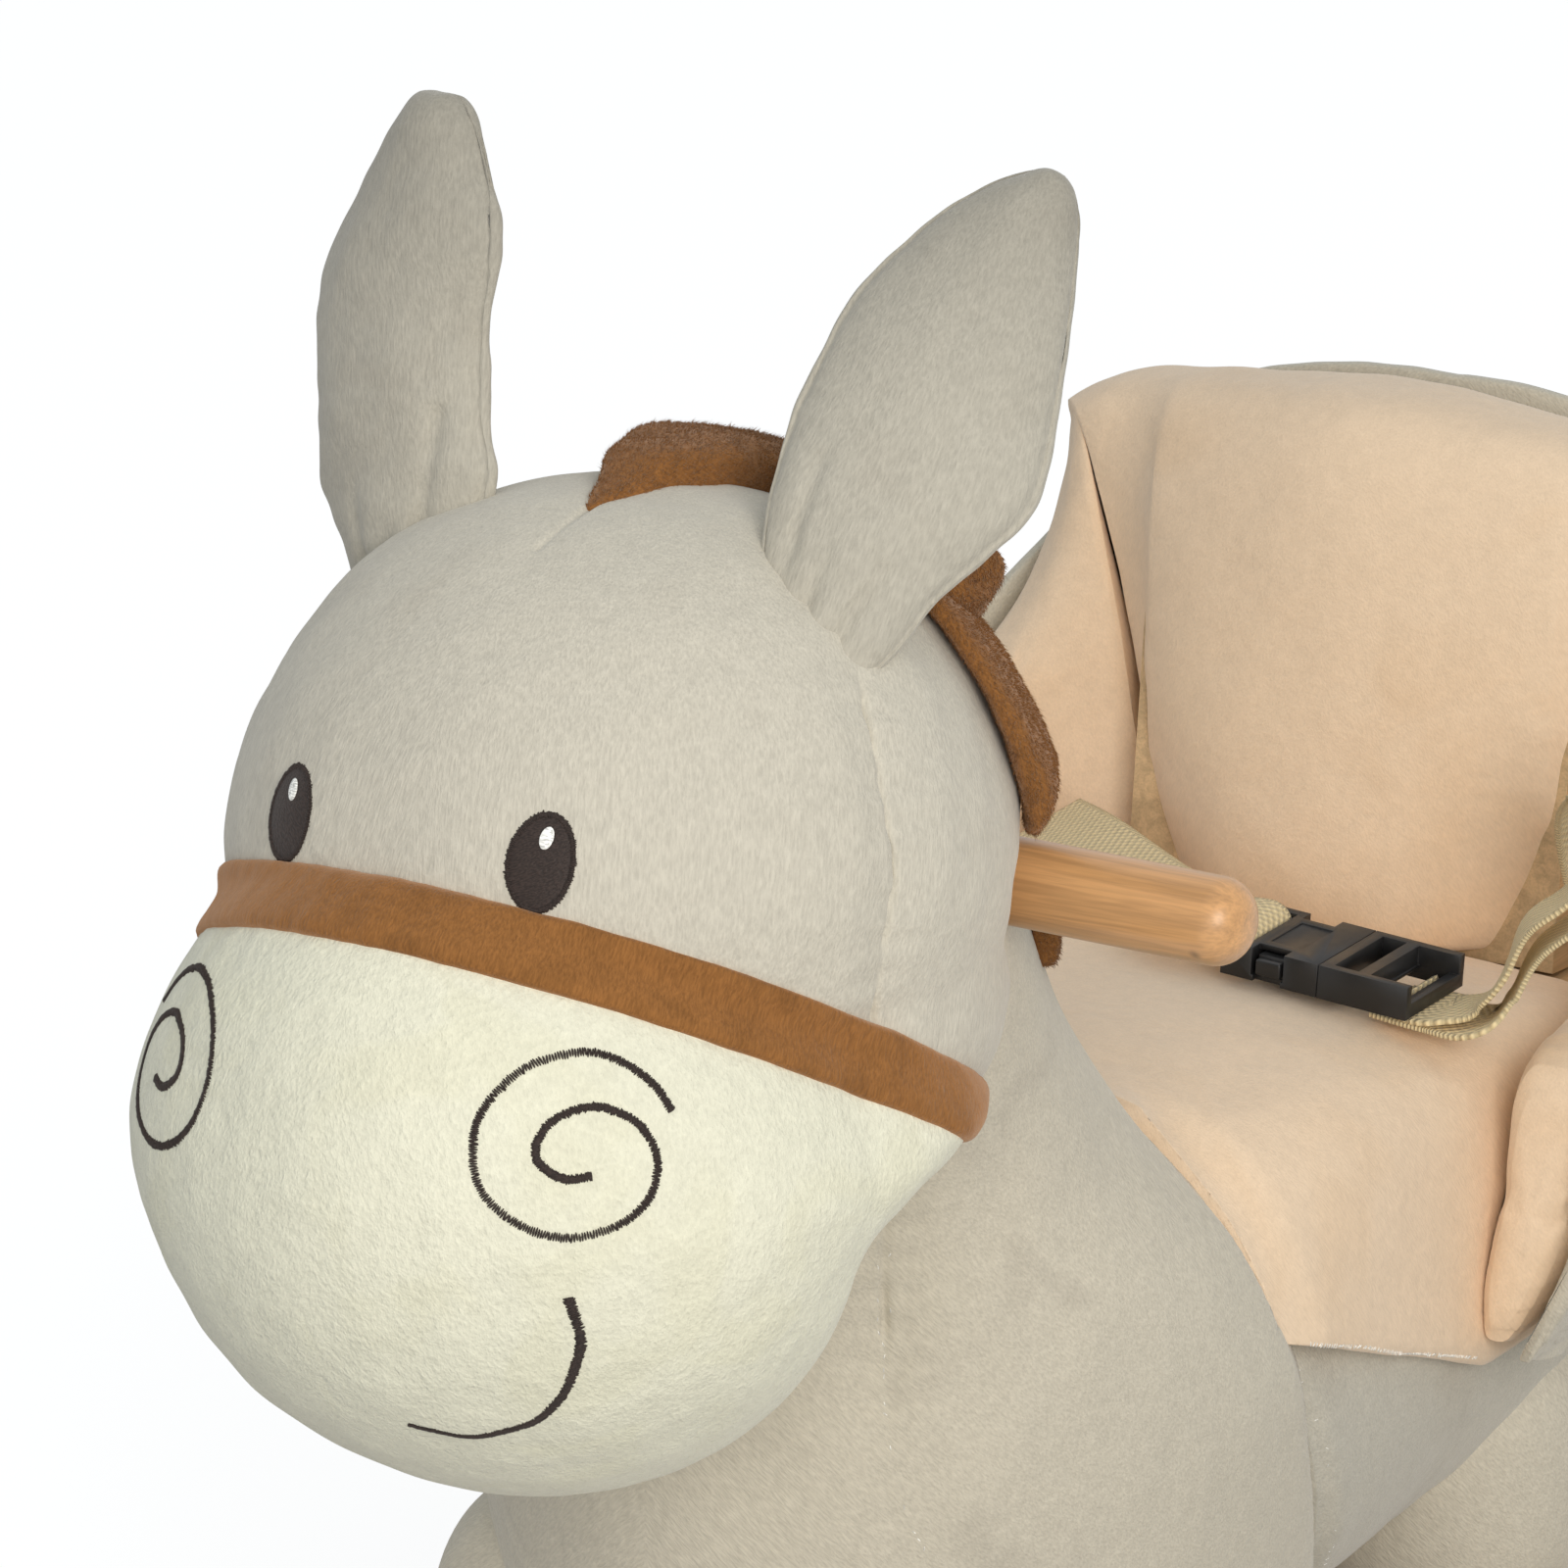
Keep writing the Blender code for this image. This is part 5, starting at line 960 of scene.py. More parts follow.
def fibres(name, piece, per_area, length, lie, seed, lift=0.55):
    """Loose pile on a piece: many small bent spikes in one mesh."""
    piece.data.calc_loop_triangles()
    at = corners(piece)
    faces = np.array([face.vertices for face in piece.data.loop_triangles])
    a, b, c = at[faces[:, 0]], at[faces[:, 1]], at[faces[:, 2]]
    flat = np.cross(b - a, c - a)
    area = np.linalg.norm(flat, axis=1) / 2
    normal = flat / np.maximum(np.linalg.norm(flat, axis=1), 1e-12)[:, None]
    chance = np.random.RandomState(seed)
    count = int(area.sum() * per_area)
    chosen = chance.choice(len(faces), size=count, p=area / area.sum())
    u, v = chance.uniform(size=(2, count))
    fold = u + v > 1
    u[fold], v[fold] = 1 - u[fold], 1 - v[fold]
    root = a[chosen] + (b - a)[chosen] * u[:, None] + (c - a)[chosen] * v[:, None]
    out = normal[chosen]
    way = np.array(lie) / np.linalg.norm(lie)
    along = unit_rows(way - out * (out @ way)[:, None] + chance.normal(scale=0.22, size=(count, 3)))
    tall = length * chance.uniform(0.65, 1.15, size=count)[:, None]
    bend = root + (out * lift * 0.8 + along * 0.35) * tall * 0.55 - out * 0.0002
    tip = bend + (out * lift * 0.35 + along * 0.85) * tall * 0.6
    first = np.cross(out, along)
    first /= np.maximum(np.linalg.norm(first, axis=1), 1e-9)[:, None]
    rings = []
    for middle, scale in ((root - out * 0.0004, 1.0), (bend, 0.8)):
        for k in range(3):
            turn = 2 * math.pi * k / 3
            rings.append(middle + (first * math.cos(turn) + along * math.sin(turn))
                         * (FIBRE_WIDTH / 2 * scale))
    points = np.stack(rings + [tip], axis=1).reshape(-1, 3)
    shape = ((0, 1, 4, 3), (1, 2, 5, 4), (2, 0, 3, 5), (3, 4, 6), (4, 5, 6), (5, 3, 6), (2, 1, 0))
    built = [tuple(7 * i + k for k in face) for i in range(count) for face in shape]
    mesh = bpy.data.meshes.new(name)
    mesh.from_pydata(points.tolist(), [], built)
    made = bpy.data.objects.new(name, mesh)
    bpy.context.scene.collection.objects.link(made)
    edit_all(made, bpy.ops.mesh.normals_make_consistent, inside=False)
    bpy.ops.object.shade_smooth()
    return made


def flap(name, route, slant=0.0):
    """A padded tongue of plush along a route of (point, outward direction, half width, thickness).

    Its end is cut at a slant when the outer side stops before the inner one.
    """
    rows = np.array([(*point, *out, half, thick) for point, out, half, thick in route])

    def place(turn, rise):
        c, s = circle(turn)
        where = rise * (1.0 - slant * (rounded(s, 0.7) + 1) / 2)
        row = through(rows, where)
        core, out, half, thick = row[:, :3], row[:, 3:6], row[:, 6], row[:, 7]
        out = unit_rows(out)
        side = unit_rows(np.cross(out, heading(rows[:, :3], where)))
        close = np.clip(np.minimum(rise, 1 - rise) / 0.035, 0.0, 1.0) ** 0.4
        return (core + side * (rounded(c, 0.6) * half * (0.35 + 0.65 * close) * (close > 0))[:, None]
                + out * ((rounded(s, 0.7) * close + 1) * thick / 2)[:, None])

    return wrapped(name, 40, 70, place)


def on_egg(centre, half, turn, rise):
    """A place on an egg and its outward direction, at an angle round from the back and a height."""
    turn = math.radians(turn)
    level = math.sqrt(max(1.0 - (rise / half[2]) ** 2, 0.0))
    reach = np.array((half[0] * level * math.sin(turn), half[1] * level * math.cos(turn), rise))
    out = reach / half ** 2
    return centre + reach, out / np.linalg.norm(out)


TUFTS = {
    "mane_tuft_top": (((6, 0.072, 0.011, 0.009), (18, 0.07, 0.012, 0.01), (32, 0.066, 0.012, 0.012),
                       (47, 0.058, 0.011, 0.018), (58, 0.05, 0.009, 0.021)), 0.1),
    "mane_tuft_long": (((48, 0.068, 0.014, 0.006), (54, 0.058, 0.015, 0.006), (58, 0.045, 0.016, 0.0062),
                        (60, 0.031, 0.016, 0.007), (60, 0.017, 0.015, 0.0088), (59, 0.0035, 0.014, 0.0108)),
                       0.13),
    "mane_tuft_middle": (((3, 0.04, 0.016, 0.008), (14, 0.036, 0.017, 0.009), (26, 0.026, 0.017, 0.009),
                          (37, 0.012, 0.014, 0.007)), 0.1),
}
NECK_TUFT = ((5, 0.341, 0.01, 0.009), (28, 0.341, 0.011, 0.009), (46, 0.34, 0.01, 0.0085),
             (61, 0.34, 0.0075, 0.0065))
FORELOCK = ((-0.164, 0.459, 0.001), (-0.158, 0.461, 0.003), (-0.149, 0.465, 0.006), (-0.138, 0.4685, 0.01),
            (-0.126, 0.4682, 0.013), (-0.112, 0.4655, 0.015), (-0.098, 0.4615, 0.015), (-0.085, 0.457, 0.014))


class DONKEY_OT_mane(bpy.types.Operator):
    """Forelock on the crown and flaps of short brown pile that fall to the left"""
    bl_idname = "donkey.mane"
    bl_label = "Mane"

    def execute(self, context):
        length = context.scene.donkey_head.pile_length
        rows = np.array(FORELOCK)

        def place(turn, rise):
            row = through(rows, rise)
            y, top, half = row[:, 0], row[:, 1], row[:, 2]
            sink = SKULL_CENTRE[2] + SKULL_HALF[2] * np.sqrt(
                np.clip(1 - ((y - SKULL_CENTRE[1]) / SKULL_HALF[1]) ** 2, 0, 1)) - 0.006
            c, s = circle(turn)
            flare = 1.0 + 0.25 * (1 - s) / 2
            close = np.clip(np.minimum(rise, 1 - rise) / 0.03, 0.0, 1.0) ** 0.4
            x = rounded(c, 0.7) * half * flare * close
            z = (top + sink) / 2 + rounded(s, 0.6) * (top - sink) / 2 * (0.4 + 0.6 * close)
            return np.stack((x, y, np.where(close > 0, z, (top + sink) / 2)), axis=1)

        forelock = wrapped("mane_forelock_plush", 60, 80, place)
        uneven(forelock, (0.0005, 0.016, 15))
        settle(forelock, FINISH["mane"], ["mane_forelock"])
        pieces = [(forelock, (0.2, 0.6, 0.4))]
        for name, (rows_of_tuft, slant) in TUFTS.items():
            route = [(*on_egg(SKULL_CENTRE, SKULL_HALF, turn, rise), half, thick)
                     for turn, rise, half, thick in rows_of_tuft]
            tuft = flap(name + "_plush", route, slant)
            settle(tuft, FINISH["mane"], [name])
            pieces.append((tuft, (0.45, -0.15, -0.85)))
        neck_half = np.array((0.073, 0.066, 1000.0))
        route = [(*on_egg(np.array((0.0, -0.103, z)), neck_half, turn, 0.0), half, thick)
                 for turn, z, half, thick in NECK_TUFT]
        tuft = flap("mane_tuft_neck_plush", route)
        settle(tuft, FINISH["mane"], ["mane_tuft_neck"])
        pieces.append((tuft, (0.8, -0.4, -0.4)))
        for k, (piece, lie) in enumerate(pieces):
            uneven(piece, (0.0003, 0.012, 16 + k))
            loose = fibres(piece.name + "_pile", piece, 2.2e6, length, lie, 50 + k)
            settle(loose, FINISH["mane"])
        return {"FINISHED"}


# Stuffed body

CHEST_ROWS = (
    (0.116, -0.01, 0.062, 0.08), (0.123, -0.011, 0.084, 0.104), (0.14, -0.013, 0.097, 0.12),
    (0.19, -0.014, 0.103, 0.128), (0.22, -0.02, 0.103, 0.122), (0.25, -0.04, 0.096, 0.102),
    (0.28, -0.067, 0.083, 0.08), (0.31, -0.088, 0.076, 0.07), (0.34, -0.103, 0.073, 0.066),
    (0.37, -0.113, 0.07, 0.063), (0.4, -0.12, 0.06, 0.054),
)
TRUNK_ROWS = (
    (-0.04, 0.184, 0.101, 0.07), (0.0, 0.184, 0.101, 0.074), (0.05, 0.184, 0.1, 0.077),
    (0.11, 0.184, 0.099, 0.078), (0.17, 0.187, 0.099, 0.077), (0.225, 0.19, 0.095, 0.069),
    (0.258, 0.186, 0.079, 0.051), (0.276, 0.185, 0.051, 0.034), (0.283, 0.185, 0.02, 0.015),
)
SHOULDER_SLOPE = 0.39
SHOULDER_NORMAL = np.array((0.0, 1.0, SHOULDER_SLOPE)) / math.hypot(1.0, SHOULDER_SLOPE)
SHOULDER_POINT = np.array((0.0, 0.0, 0.214))
SEAT_SEAM_SLOPE = 0.127
SEAT_SEAM_NORMAL = np.array((0.0, 1.0, SEAT_SEAM_SLOPE)) / math.hypot(1.0, SEAT_SEAM_SLOPE)
SEAT_SEAM_POINT = np.array((0.0, -0.013, 0.228))
TRUNK_TOP = 0.2345
TRUNK_ROOM_TOP = 0.235
CHEST_SEAM = ((0.058, -0.127, 0.302), (0.0573, -0.1258, 0.2817), (0.0559, -0.1243, 0.2651),
              (0.0531, -0.1204, 0.243),
              (0.0517, -0.1162, 0.2261), (0.0516, -0.1104, 0.2088), (0.0538, -0.1066, 0.1983),
              (0.056, -0.103, 0.184), (0.059, -0.096, 0.165), (0.059, -0.083, 0.145))


def closing(rise):
    """How a form narrows over its last part, as a ball does."""
    return np.sqrt(np.clip(1 - (np.clip(rise - 0.96, 0, 1) / 0.04) ** 2, 0, 1))


def chest_place(turn, rise):
    """Rings up the neck and chest, closed below and above."""
    row = through(CHEST_ROWS, (rise - 0.06) / 0.9)
    before = np.clip(0.06 - rise, 0, 1)
    shut = np.sqrt(np.clip(1 - (before / 0.06) ** 2, 0, 1)) * closing(rise)
    c, s = circle(turn)
    return np.stack((row[:, 2] * c * shut, row[:, 1] + row[:, 3] * s * shut,
                     row[:, 0] + -0.006 * before / 0.06), 1)


def trunk_place(turn, rise):
    """Rings along the barrel of the body, closed at the rump."""
    row = through(TRUNK_ROWS, (rise - 0.02) / 0.94)
    shut = closing(rise) * (rise > 0)
    c, s = (rounded(part, 2 / 2.25) for part in circle(turn))
    return np.stack((row[:, 2] * c * shut, row[:, 0] + 0.002 * np.clip(rise - 0.96, 0, 1) / 0.04,
                     row[:, 1] + row[:, 3] * s * shut), 1)


def box_cutter(low, high, turn=None):
    """A plain box to cut with."""
    low, high = Vector(low), Vector(high)
    clear_selection()
    bpy.ops.mesh.primitive_cube_add(size=1.0, location=(low + high) / 2, scale=high - low)
    bpy.ops.object.transform_apply(location=True, rotation=True, scale=True)
    made = bpy.context.object
    if turn:
        made.data.transform(turn)
    return made


def stitches(name, tree, route, gap, length, radius, share=0.55, turn=0.0, seed=9):
    """Small thread ends that show in a seam, along it or turned across it."""
    path = through(route, np.linspace(0, 1, 200))
    run = np.concatenate(([0], np.cumsum(np.linalg.norm(np.diff(path, axis=0), axis=1))))
    chance = np.random.RandomState(seed)
    core, side, normal = [], [], []
    for s in np.arange(0.004, run[-1] - 0.004, gap):
        if chance.uniform() < share:
            at = np.array([np.interp(s + chance.uniform(-0.3, 0.3) * gap, run, path[:, k]) for k in range(3)])
            ahead = np.array([np.interp(s + 0.001, run, path[:, k]) for k in range(3)]) - at
            hit, out, _, _ = tree.find_nearest(Vector(at))
            way = Vector(ahead).normalized()
            way = way * math.cos(turn) + out.cross(way) * math.sin(turn) + Vector(chance.normal(scale=0.25,
                                                                                                size=3))
            way = (way - out * way.dot(out)).normalized()
            core.append(hit)
            side.append(way)
            normal.append(out)
    return threads(name, np.array(core), np.array(side), np.array(normal),
                   np.full(len(core), length / 2), radius, radius * 0.6)


class DONKEY_OT_body(bpy.types.Operator):
    """Neck with chest, and the barrel behind the shoulder seam, with their sewn seams"""
    bl_idname = "donkey.body"
    bl_label = "Body"

    def execute(self, context):
        chest = wrapped("plush_neck_and_chest", 330, 220, chest_place, (0.65, 0.85))
        uneven(chest, (0.0009, 0.085, 41), (0.0003, 0.024, 42))
        for route in (CHEST_SEAM, mirrored(CHEST_SEAM)):
            crease(chest, route, 0.0018, 0.0011, 0.0022, 0.01, 0.0007, 0.009)
        pinch(chest, SHOULDER_POINT, SHOULDER_NORMAL, 0.0034, 0.004)
        keep_behind(chest, SHOULDER_POINT, SHOULDER_NORMAL)
        tilt = Matrix.Translation(SEAT_SEAM_POINT) @ Matrix.Rotation(math.atan(SEAT_SEAM_SLOPE), 4, "X")
        take_away(chest, box_cutter((-0.2, 0.0, 0.0), (0.2, 0.2, 0.2), tilt))
        settle(chest, FINISH["body"], ["neck_and_chest"])
        tree = surface_of(chest)[0]
        for name, route in (("left", CHEST_SEAM), ("right", mirrored(CHEST_SEAM))):
            thread = stitches("chest_stitches_" + name, tree, route, 0.003, 0.0013, 0.00016)
            settle(thread, FINISH["seam_thread"])

        trunk = wrapped("plush_trunk", 220, 200, lambda turn, rise: trunk_place(turn, rise ** 1.3))
        uneven(trunk, (0.0009, 0.09, 44), (0.0003, 0.026, 45))
        pinch(trunk, SHOULDER_POINT, SHOULDER_NORMAL, 0.0034, 0.004)
        keep_behind(trunk, SHOULDER_POINT, -SHOULDER_NORMAL)
        keep_behind(trunk, (0.0, 0.0, TRUNK_TOP), (0.0, 0.0, 1.0))
        settle(trunk, FINISH["trunk"], ["trunk"])
        tree = surface_of(trunk)[0]
        for side, name in ((1, "left"), (-1, "right")):
            route = [(side * 0.104, 0.0015 - (z - 0.214) * SHOULDER_SLOPE, z)
                     for z in (0.225, 0.205, 0.185, 0.165, 0.145, 0.128)]
            thread = stitches("shoulder_stitches_" + name, tree, route, 0.004, 0.0013, 0.00014, 0.5, 1.2, 19)
            settle(thread, FINISH["seam_thread"])
        return {"FINISHED"}


LEG_PLACES = {"front_left": (0.06, -0.083), "front_right": (-0.06, -0.083),
              "rear_left": (0.06, 0.165), "rear_right": (-0.06, 0.165)}
LEG_TOP = 0.18


def turned_form(name, profile, middle, around=96, along=60):
    """A round stuffed form from (radius, height) pairs, top to bottom."""
    def place(turn, rise):
        row = through(profile, rise)
        c, s = circle(turn)
        radius = np.maximum(row[:, 0], 0.0)
        return np.stack((middle[0] + radius * c, middle[1] + radius * s, row[:, 1]), 1)

    return wrapped(name, around, along, place)


class DONKEY_OT_legs(bpy.types.Operator):
    """Four stuffed legs with brown plush hooves on the slats"""
    bl_idname = "donkey.legs"
    bl_label = "Legs and hooves"

    def execute(self, context):
        for k, (name, (x, y)) in enumerate(LEG_PLACES.items()):
            full = 0.036 if name.startswith("front") else 0.043
            dome = [(full * math.sin(a),
                     LEG_TOP - full + full * math.cos(a)) for a in np.linspace(0, math.pi / 2, 6)]
            leg = turned_form("plush_leg_" + name, (
                *dome, (full * 0.97, 0.116), (full * 0.91, 0.1), (0.0325, 0.089), (0.0312, 0.0835),
                (0.03, 0.0812), (0.022, 0.0803), (0.0, 0.0803)), (x, y))
            uneven(leg, (0.0006, 0.04, 60 + k))
            settle(leg, FINISH["body"], ["leg_" + name])
            hoof = turned_form("plush_hoof_" + name, (
                (0.0, 0.0799), (0.018, 0.0799), (0.0285, 0.0794), (0.033, 0.0755), (0.0345, 0.069),
                (0.035, 0.062), (0.0345, 0.056), (0.0325, 0.052), (0.029, 0.0504), (0.015, 0.0503),
                (0.0, 0.0503)), (x, y))
            uneven(hoof, (0.0004, 0.03, 70 + k))
            settle(hoof, FINISH["band"], ["hoof_" + name])
        return {"FINISHED"}


BUCKET = dict(front=0.088, corner_y=0.178, radius=0.075, half=0.14, recline=0.12, level=0.24, cover=0.006,
              floor=0.182, floor_rise=0.02, front_top=0.273, back_top=0.38, centre_top=0.404, wing=0.033,
              back=0.071, back_floor=0.2476)
CREASE = 0.091
BUCKET_STRAIGHT = BUCKET["half"] - BUCKET["radius"]
BUCKET_ARC = BUCKET["radius"] * math.pi / 2
BUCKET_END = BUCKET_STRAIGHT + BUCKET_ARC + BUCKET["corner_y"] - BUCKET["front"]


def bucket_place(distance, inset, z):
    """Places on the bucket's leaning wall, by distance from the middle of the back and depth inwards."""
    run = np.abs(distance)
    turn = np.clip((run - BUCKET_STRAIGHT) / BUCKET["radius"], 0, math.pi / 2)
    ahead = np.maximum(run - BUCKET_STRAIGHT - BUCKET_ARC, 0)
    x = np.minimum(run, BUCKET_STRAIGHT) + BUCKET["radius"] * np.sin(turn) - inset * np.sin(turn)
    y = BUCKET["corner_y"] + BUCKET["radius"] * np.cos(turn) - ahead - inset * np.cos(turn)
    return np.stack((np.sign(distance) * x, y + (z - BUCKET["level"]) * BUCKET["recline"], z), axis=-1)


def crease_shift(distance, z):
    """How far the creases between wings and back lean outwards with height."""
    weight = np.maximum(0.0, 1.0 - np.abs(np.abs(distance) - CREASE) / 0.064)
    return np.sign(distance) * 0.5 * (z - 0.315) * weight


def rim_height(distance):
    """Height of the cushions' upper edge."""
    run = np.abs(distance)
    t = np.clip((run - CREASE) / (BUCKET_END - CREASE), 0, 1)
    middle = BUCKET["centre_top"] - (BUCKET["centre_top"] - BUCKET["back_top"]) * (run / CREASE) ** 2
    wing = BUCKET["front_top"] + (BUCKET["back_top"] - BUCKET["front_top"]) * (1 - t) ** 2.2
    return np.where(run < CREASE, middle, wing)


def wing_floor(distance):
    """Height of a wing's lower edge."""
    t = (BUCKET_END - np.abs(distance)) / (BUCKET_END - CREASE)
    return BUCKET["floor"] + BUCKET["floor_rise"] * np.clip(t, 0, 1)


def even_ring(turn, power, wide, high):
    """A rounded box section whose points are evenly spaced for its real width and height."""
    fine = np.linspace(0, 2 * math.pi, 1441)
    c, s = np.cos(fine), np.sin(fine)
    c, s = rounded(c, 2 / power), rounded(s, 2 / power)
    run = np.concatenate(([0], np.cumsum(np.hypot(np.diff(c) * wide, np.diff(s) * high))))
    where = turn * run[-1]
    return np.interp(where, run, c), np.interp(where, run, s)


def bucket_pad(name, start_at, end_at, ends, depth, floor, around, along, square=False):
    """A cushion along the bucket's wall; ends gives its depth and height by distance from each end."""
    def place(turn, rise):
        inner = np.clip((rise - 1 / along) / (1 - 2 / along), 0, 1)
        inner = inner - 0.85 * np.sin(2 * np.pi * inner) / (2 * np.pi)
        distance = start_at + (end_at - start_at) * inner
        near, far = np.abs(distance - start_at), np.abs(distance - end_at)
        deep = np.minimum(np.interp(near, ends[0][0], ends[0][1]), np.interp(far, ends[1][0], ends[1][1]))
        tall = np.minimum(np.interp(near, ends[0][0], ends[0][2]), np.interp(far, ends[1][0], ends[1][2]))
        c, s = even_ring(turn, 3.4, 0.017, 0.085)
        if square:
            c = np.where(s < 0, np.sign(c) * (1 - np.minimum(np.abs(s), 1.0) ** 7) ** (1 / 7), c)
        inset = BUCKET["cover"] + 0.0003 + depth(distance) * (1 + deep * c) / 2
        bottom, top = floor(distance), rim_height(distance) - 0.002
        z = (bottom + top) / 2 + (top - bottom) / 2 * tall * s
        closed = at_ends(rise)
        inset = np.where(closed, BUCKET["cover"] + depth(distance) / 2, inset)
        z = np.where(closed, (bottom + top) / 2, z)
        return bucket_place(distance + crease_shift(distance, z), inset, z)

    return wrapped(name, around, along, place)


SEAT_FRONT = -0.034
HEM_RUN = 0.129


def seat_hem(y):
    """Height of the saddle's stitched lower edge."""
    return 0.2325 - 0.0515 * np.clip((y - SEAT_FRONT) / HEM_RUN, 0, 1)


CLOTH = {"quality": 5, "mass": 0.3, "tension_stiffness": 12.0, "compression_stiffness": 12.0,
         "bending_stiffness": 0.6, "vertex_group_mass": "held", "use_pressure": True,
         "uniform_pressure_force": 4.0}
SWELL_STEPS = 20


def stuffed(piece, loose, cap):
    """Draw a form in, blow it up as cloth where it is loose, and cap how far it moves."""
    slack = corners(piece) - outward(piece) * (cap - 0.0004) * loose[:, None]
    place_corners(piece, slack)
    held = piece.vertex_groups.new(name="held")
    for index in np.flatnonzero(loose < 0.999):
        held.add([int(index)], float(1.0 - loose[index]), "REPLACE")
    cloth = piece.modifiers.new("stuffing", "CLOTH")
    for name, value in CLOTH.items():
        setattr(cloth.settings, name, value)
    cloth.settings.effector_weights.gravity = 0.0
    cloth.collision_settings.use_collision = False
    scene = bpy.context.scene
    for step in range(SWELL_STEPS):
        scene.frame_set(step + 1)
    shown = piece.evaluated_get(bpy.context.evaluated_depsgraph_get()).to_mesh()
    blown = np.empty(len(shown.vertices) * 3)
    shown.vertices.foreach_get("co", blown)
    moved = blown.reshape(-1, 3) - slack
    piece.modifiers.remove(cloth)
    piece.vertex_groups.remove(held)
    scene.frame_set(1)
    far = np.linalg.norm(moved, axis=1)[:, None]
    place_corners(piece, slack + moved * np.minimum(1.0, cap * loose[:, None] / np.maximum(far, 1e-9)))
    finer(piece)
    bpy.ops.object.shade_smooth()
    return piece


def seat_place(turn, rise):
    """The saddle: arches along the seat, each closed below at the hem."""
    y = SEAT_FRONT + 0.23 * np.clip((rise - 1 / 72) / (1 - 2 / 72), 0, 1)
    t = np.clip((y - SEAT_FRONT) / HEM_RUN, 0, 1)
    fall = np.clip((y - 0.095) / 0.101, 0, 1)
    top = 0.2875 - 0.014 * t - 0.0205 * fall ** 1.6
    hem = seat_hem(y)
    half = 0.1055 + 0.0015 * t
    a = np.pi * np.clip(turn / 0.74, 0, 1)
    c, s = np.cos(a), np.sin(a)
    x = half * rounded(c, 2 / (4 + 4 * t))
    z = hem + (top - hem) * np.abs(s) ** (2 / (1.2 + 2.8 * t))
    under = np.clip((turn - 0.74) / 0.26, 0, 1)
    x = np.where(turn > 0.74, half * (2 * under - 1), x)
    z = np.where(turn > 0.74, hem, z)
    closed = at_ends(rise)
    return np.stack((np.where(closed, 0.0, x), y, np.where(closed, (hem + top) / 2, z)), axis=-1)


def drawn_in(piece, tree, weight, sink):
    """Pull the corners that stand outside a form in to its surface, as much as weight says."""
    at = corners(piece)
    for index in np.flatnonzero(weight > 0.001):
        hit, normal, _, _ = tree.find_nearest(Vector(at[index]))
        high = (Vector(at[index]) - hit).dot(normal)
        if high > 0:
            at[index] -= np.array(normal) * (high + sink) * weight[index]
    place_corners(piece, at)


def grown_copy(piece, amount):
    """A copy of a piece, grown all round, to cut its neighbours with."""
    made = piece.copy()
    made.data = piece.data.copy()
    bpy.context.scene.collection.objects.link(made)
    push(made, amount)
    return made


def snug(piece, tree, share, gap):
    """Draw a piece's low part in to the barrel and keep it a gap outside."""
    drawn_in(piece, tree, share * np.clip((0.232 - corners(piece)[:, 2]) / 0.045, 0, 1) ** 1.4, -0.001)
    kept_out(piece, tree, gap)


def trunk_cutter():
    """The barrel of the body as a cutter, with a little room round it."""
    made = wrapped("trunk_room", 120, 100, trunk_place)
    push(made, 0.0008)
    return keep_behind(made, (0.0, 0.0, TRUNK_ROOM_TOP), (0.0, 0.0, 1.0))


class DONKEY_OT_tail(bpy.types.Operator):
    """Thin stuffed tail with a tuft of long brown pile"""
    bl_idname = "donkey.tail"
    bl_label = "Tail"

    def execute(self, context):
        route = np.array(((0.26, 0.205), (0.274, 0.208), (0.283, 0.207), (0.2905, 0.2), (0.293, 0.185),
                          (0.2915, 0.1645)))

        def place(turn, rise):
            core, ahead = through(route, rise), unit_rows(heading(route, rise))
            c, s = circle(turn)
            radius = 0.007 * np.clip(np.minimum(rise, 1 - rise) / 0.01, 0, 1)
            return np.stack((radius * c, core[:, 0] - ahead[:, 1] * radius * s,
                             core[:, 1] + ahead[:, 0] * radius * s), 1)

        tail = wrapped("plush_tail", 40, 80, place)
        settle(tail, FINISH["body"], ["tail"])
        profile = ((0.0, 0.1643), (0.0055, 0.164), (0.009, 0.159), (0.012, 0.151), (0.0135, 0.143),
                   (0.0118, 0.133), (0.008, 0.125), (0.0035, 0.12), (0.0, 0.1192))
        tuft = turned_form("plush_tail_tuft", profile, (0.0, 0.2895), 40, 40)
        settle(tuft, FINISH["mane"], ["tail_tuft"])
        loose = fibres("plush_tail_tuft_pile", tuft, 1.2e6, 0.004, (0.0, 0.0, -1.0), 77)
        settle(loose, FINISH["mane"])
        return {"FINISHED"}


# Seat


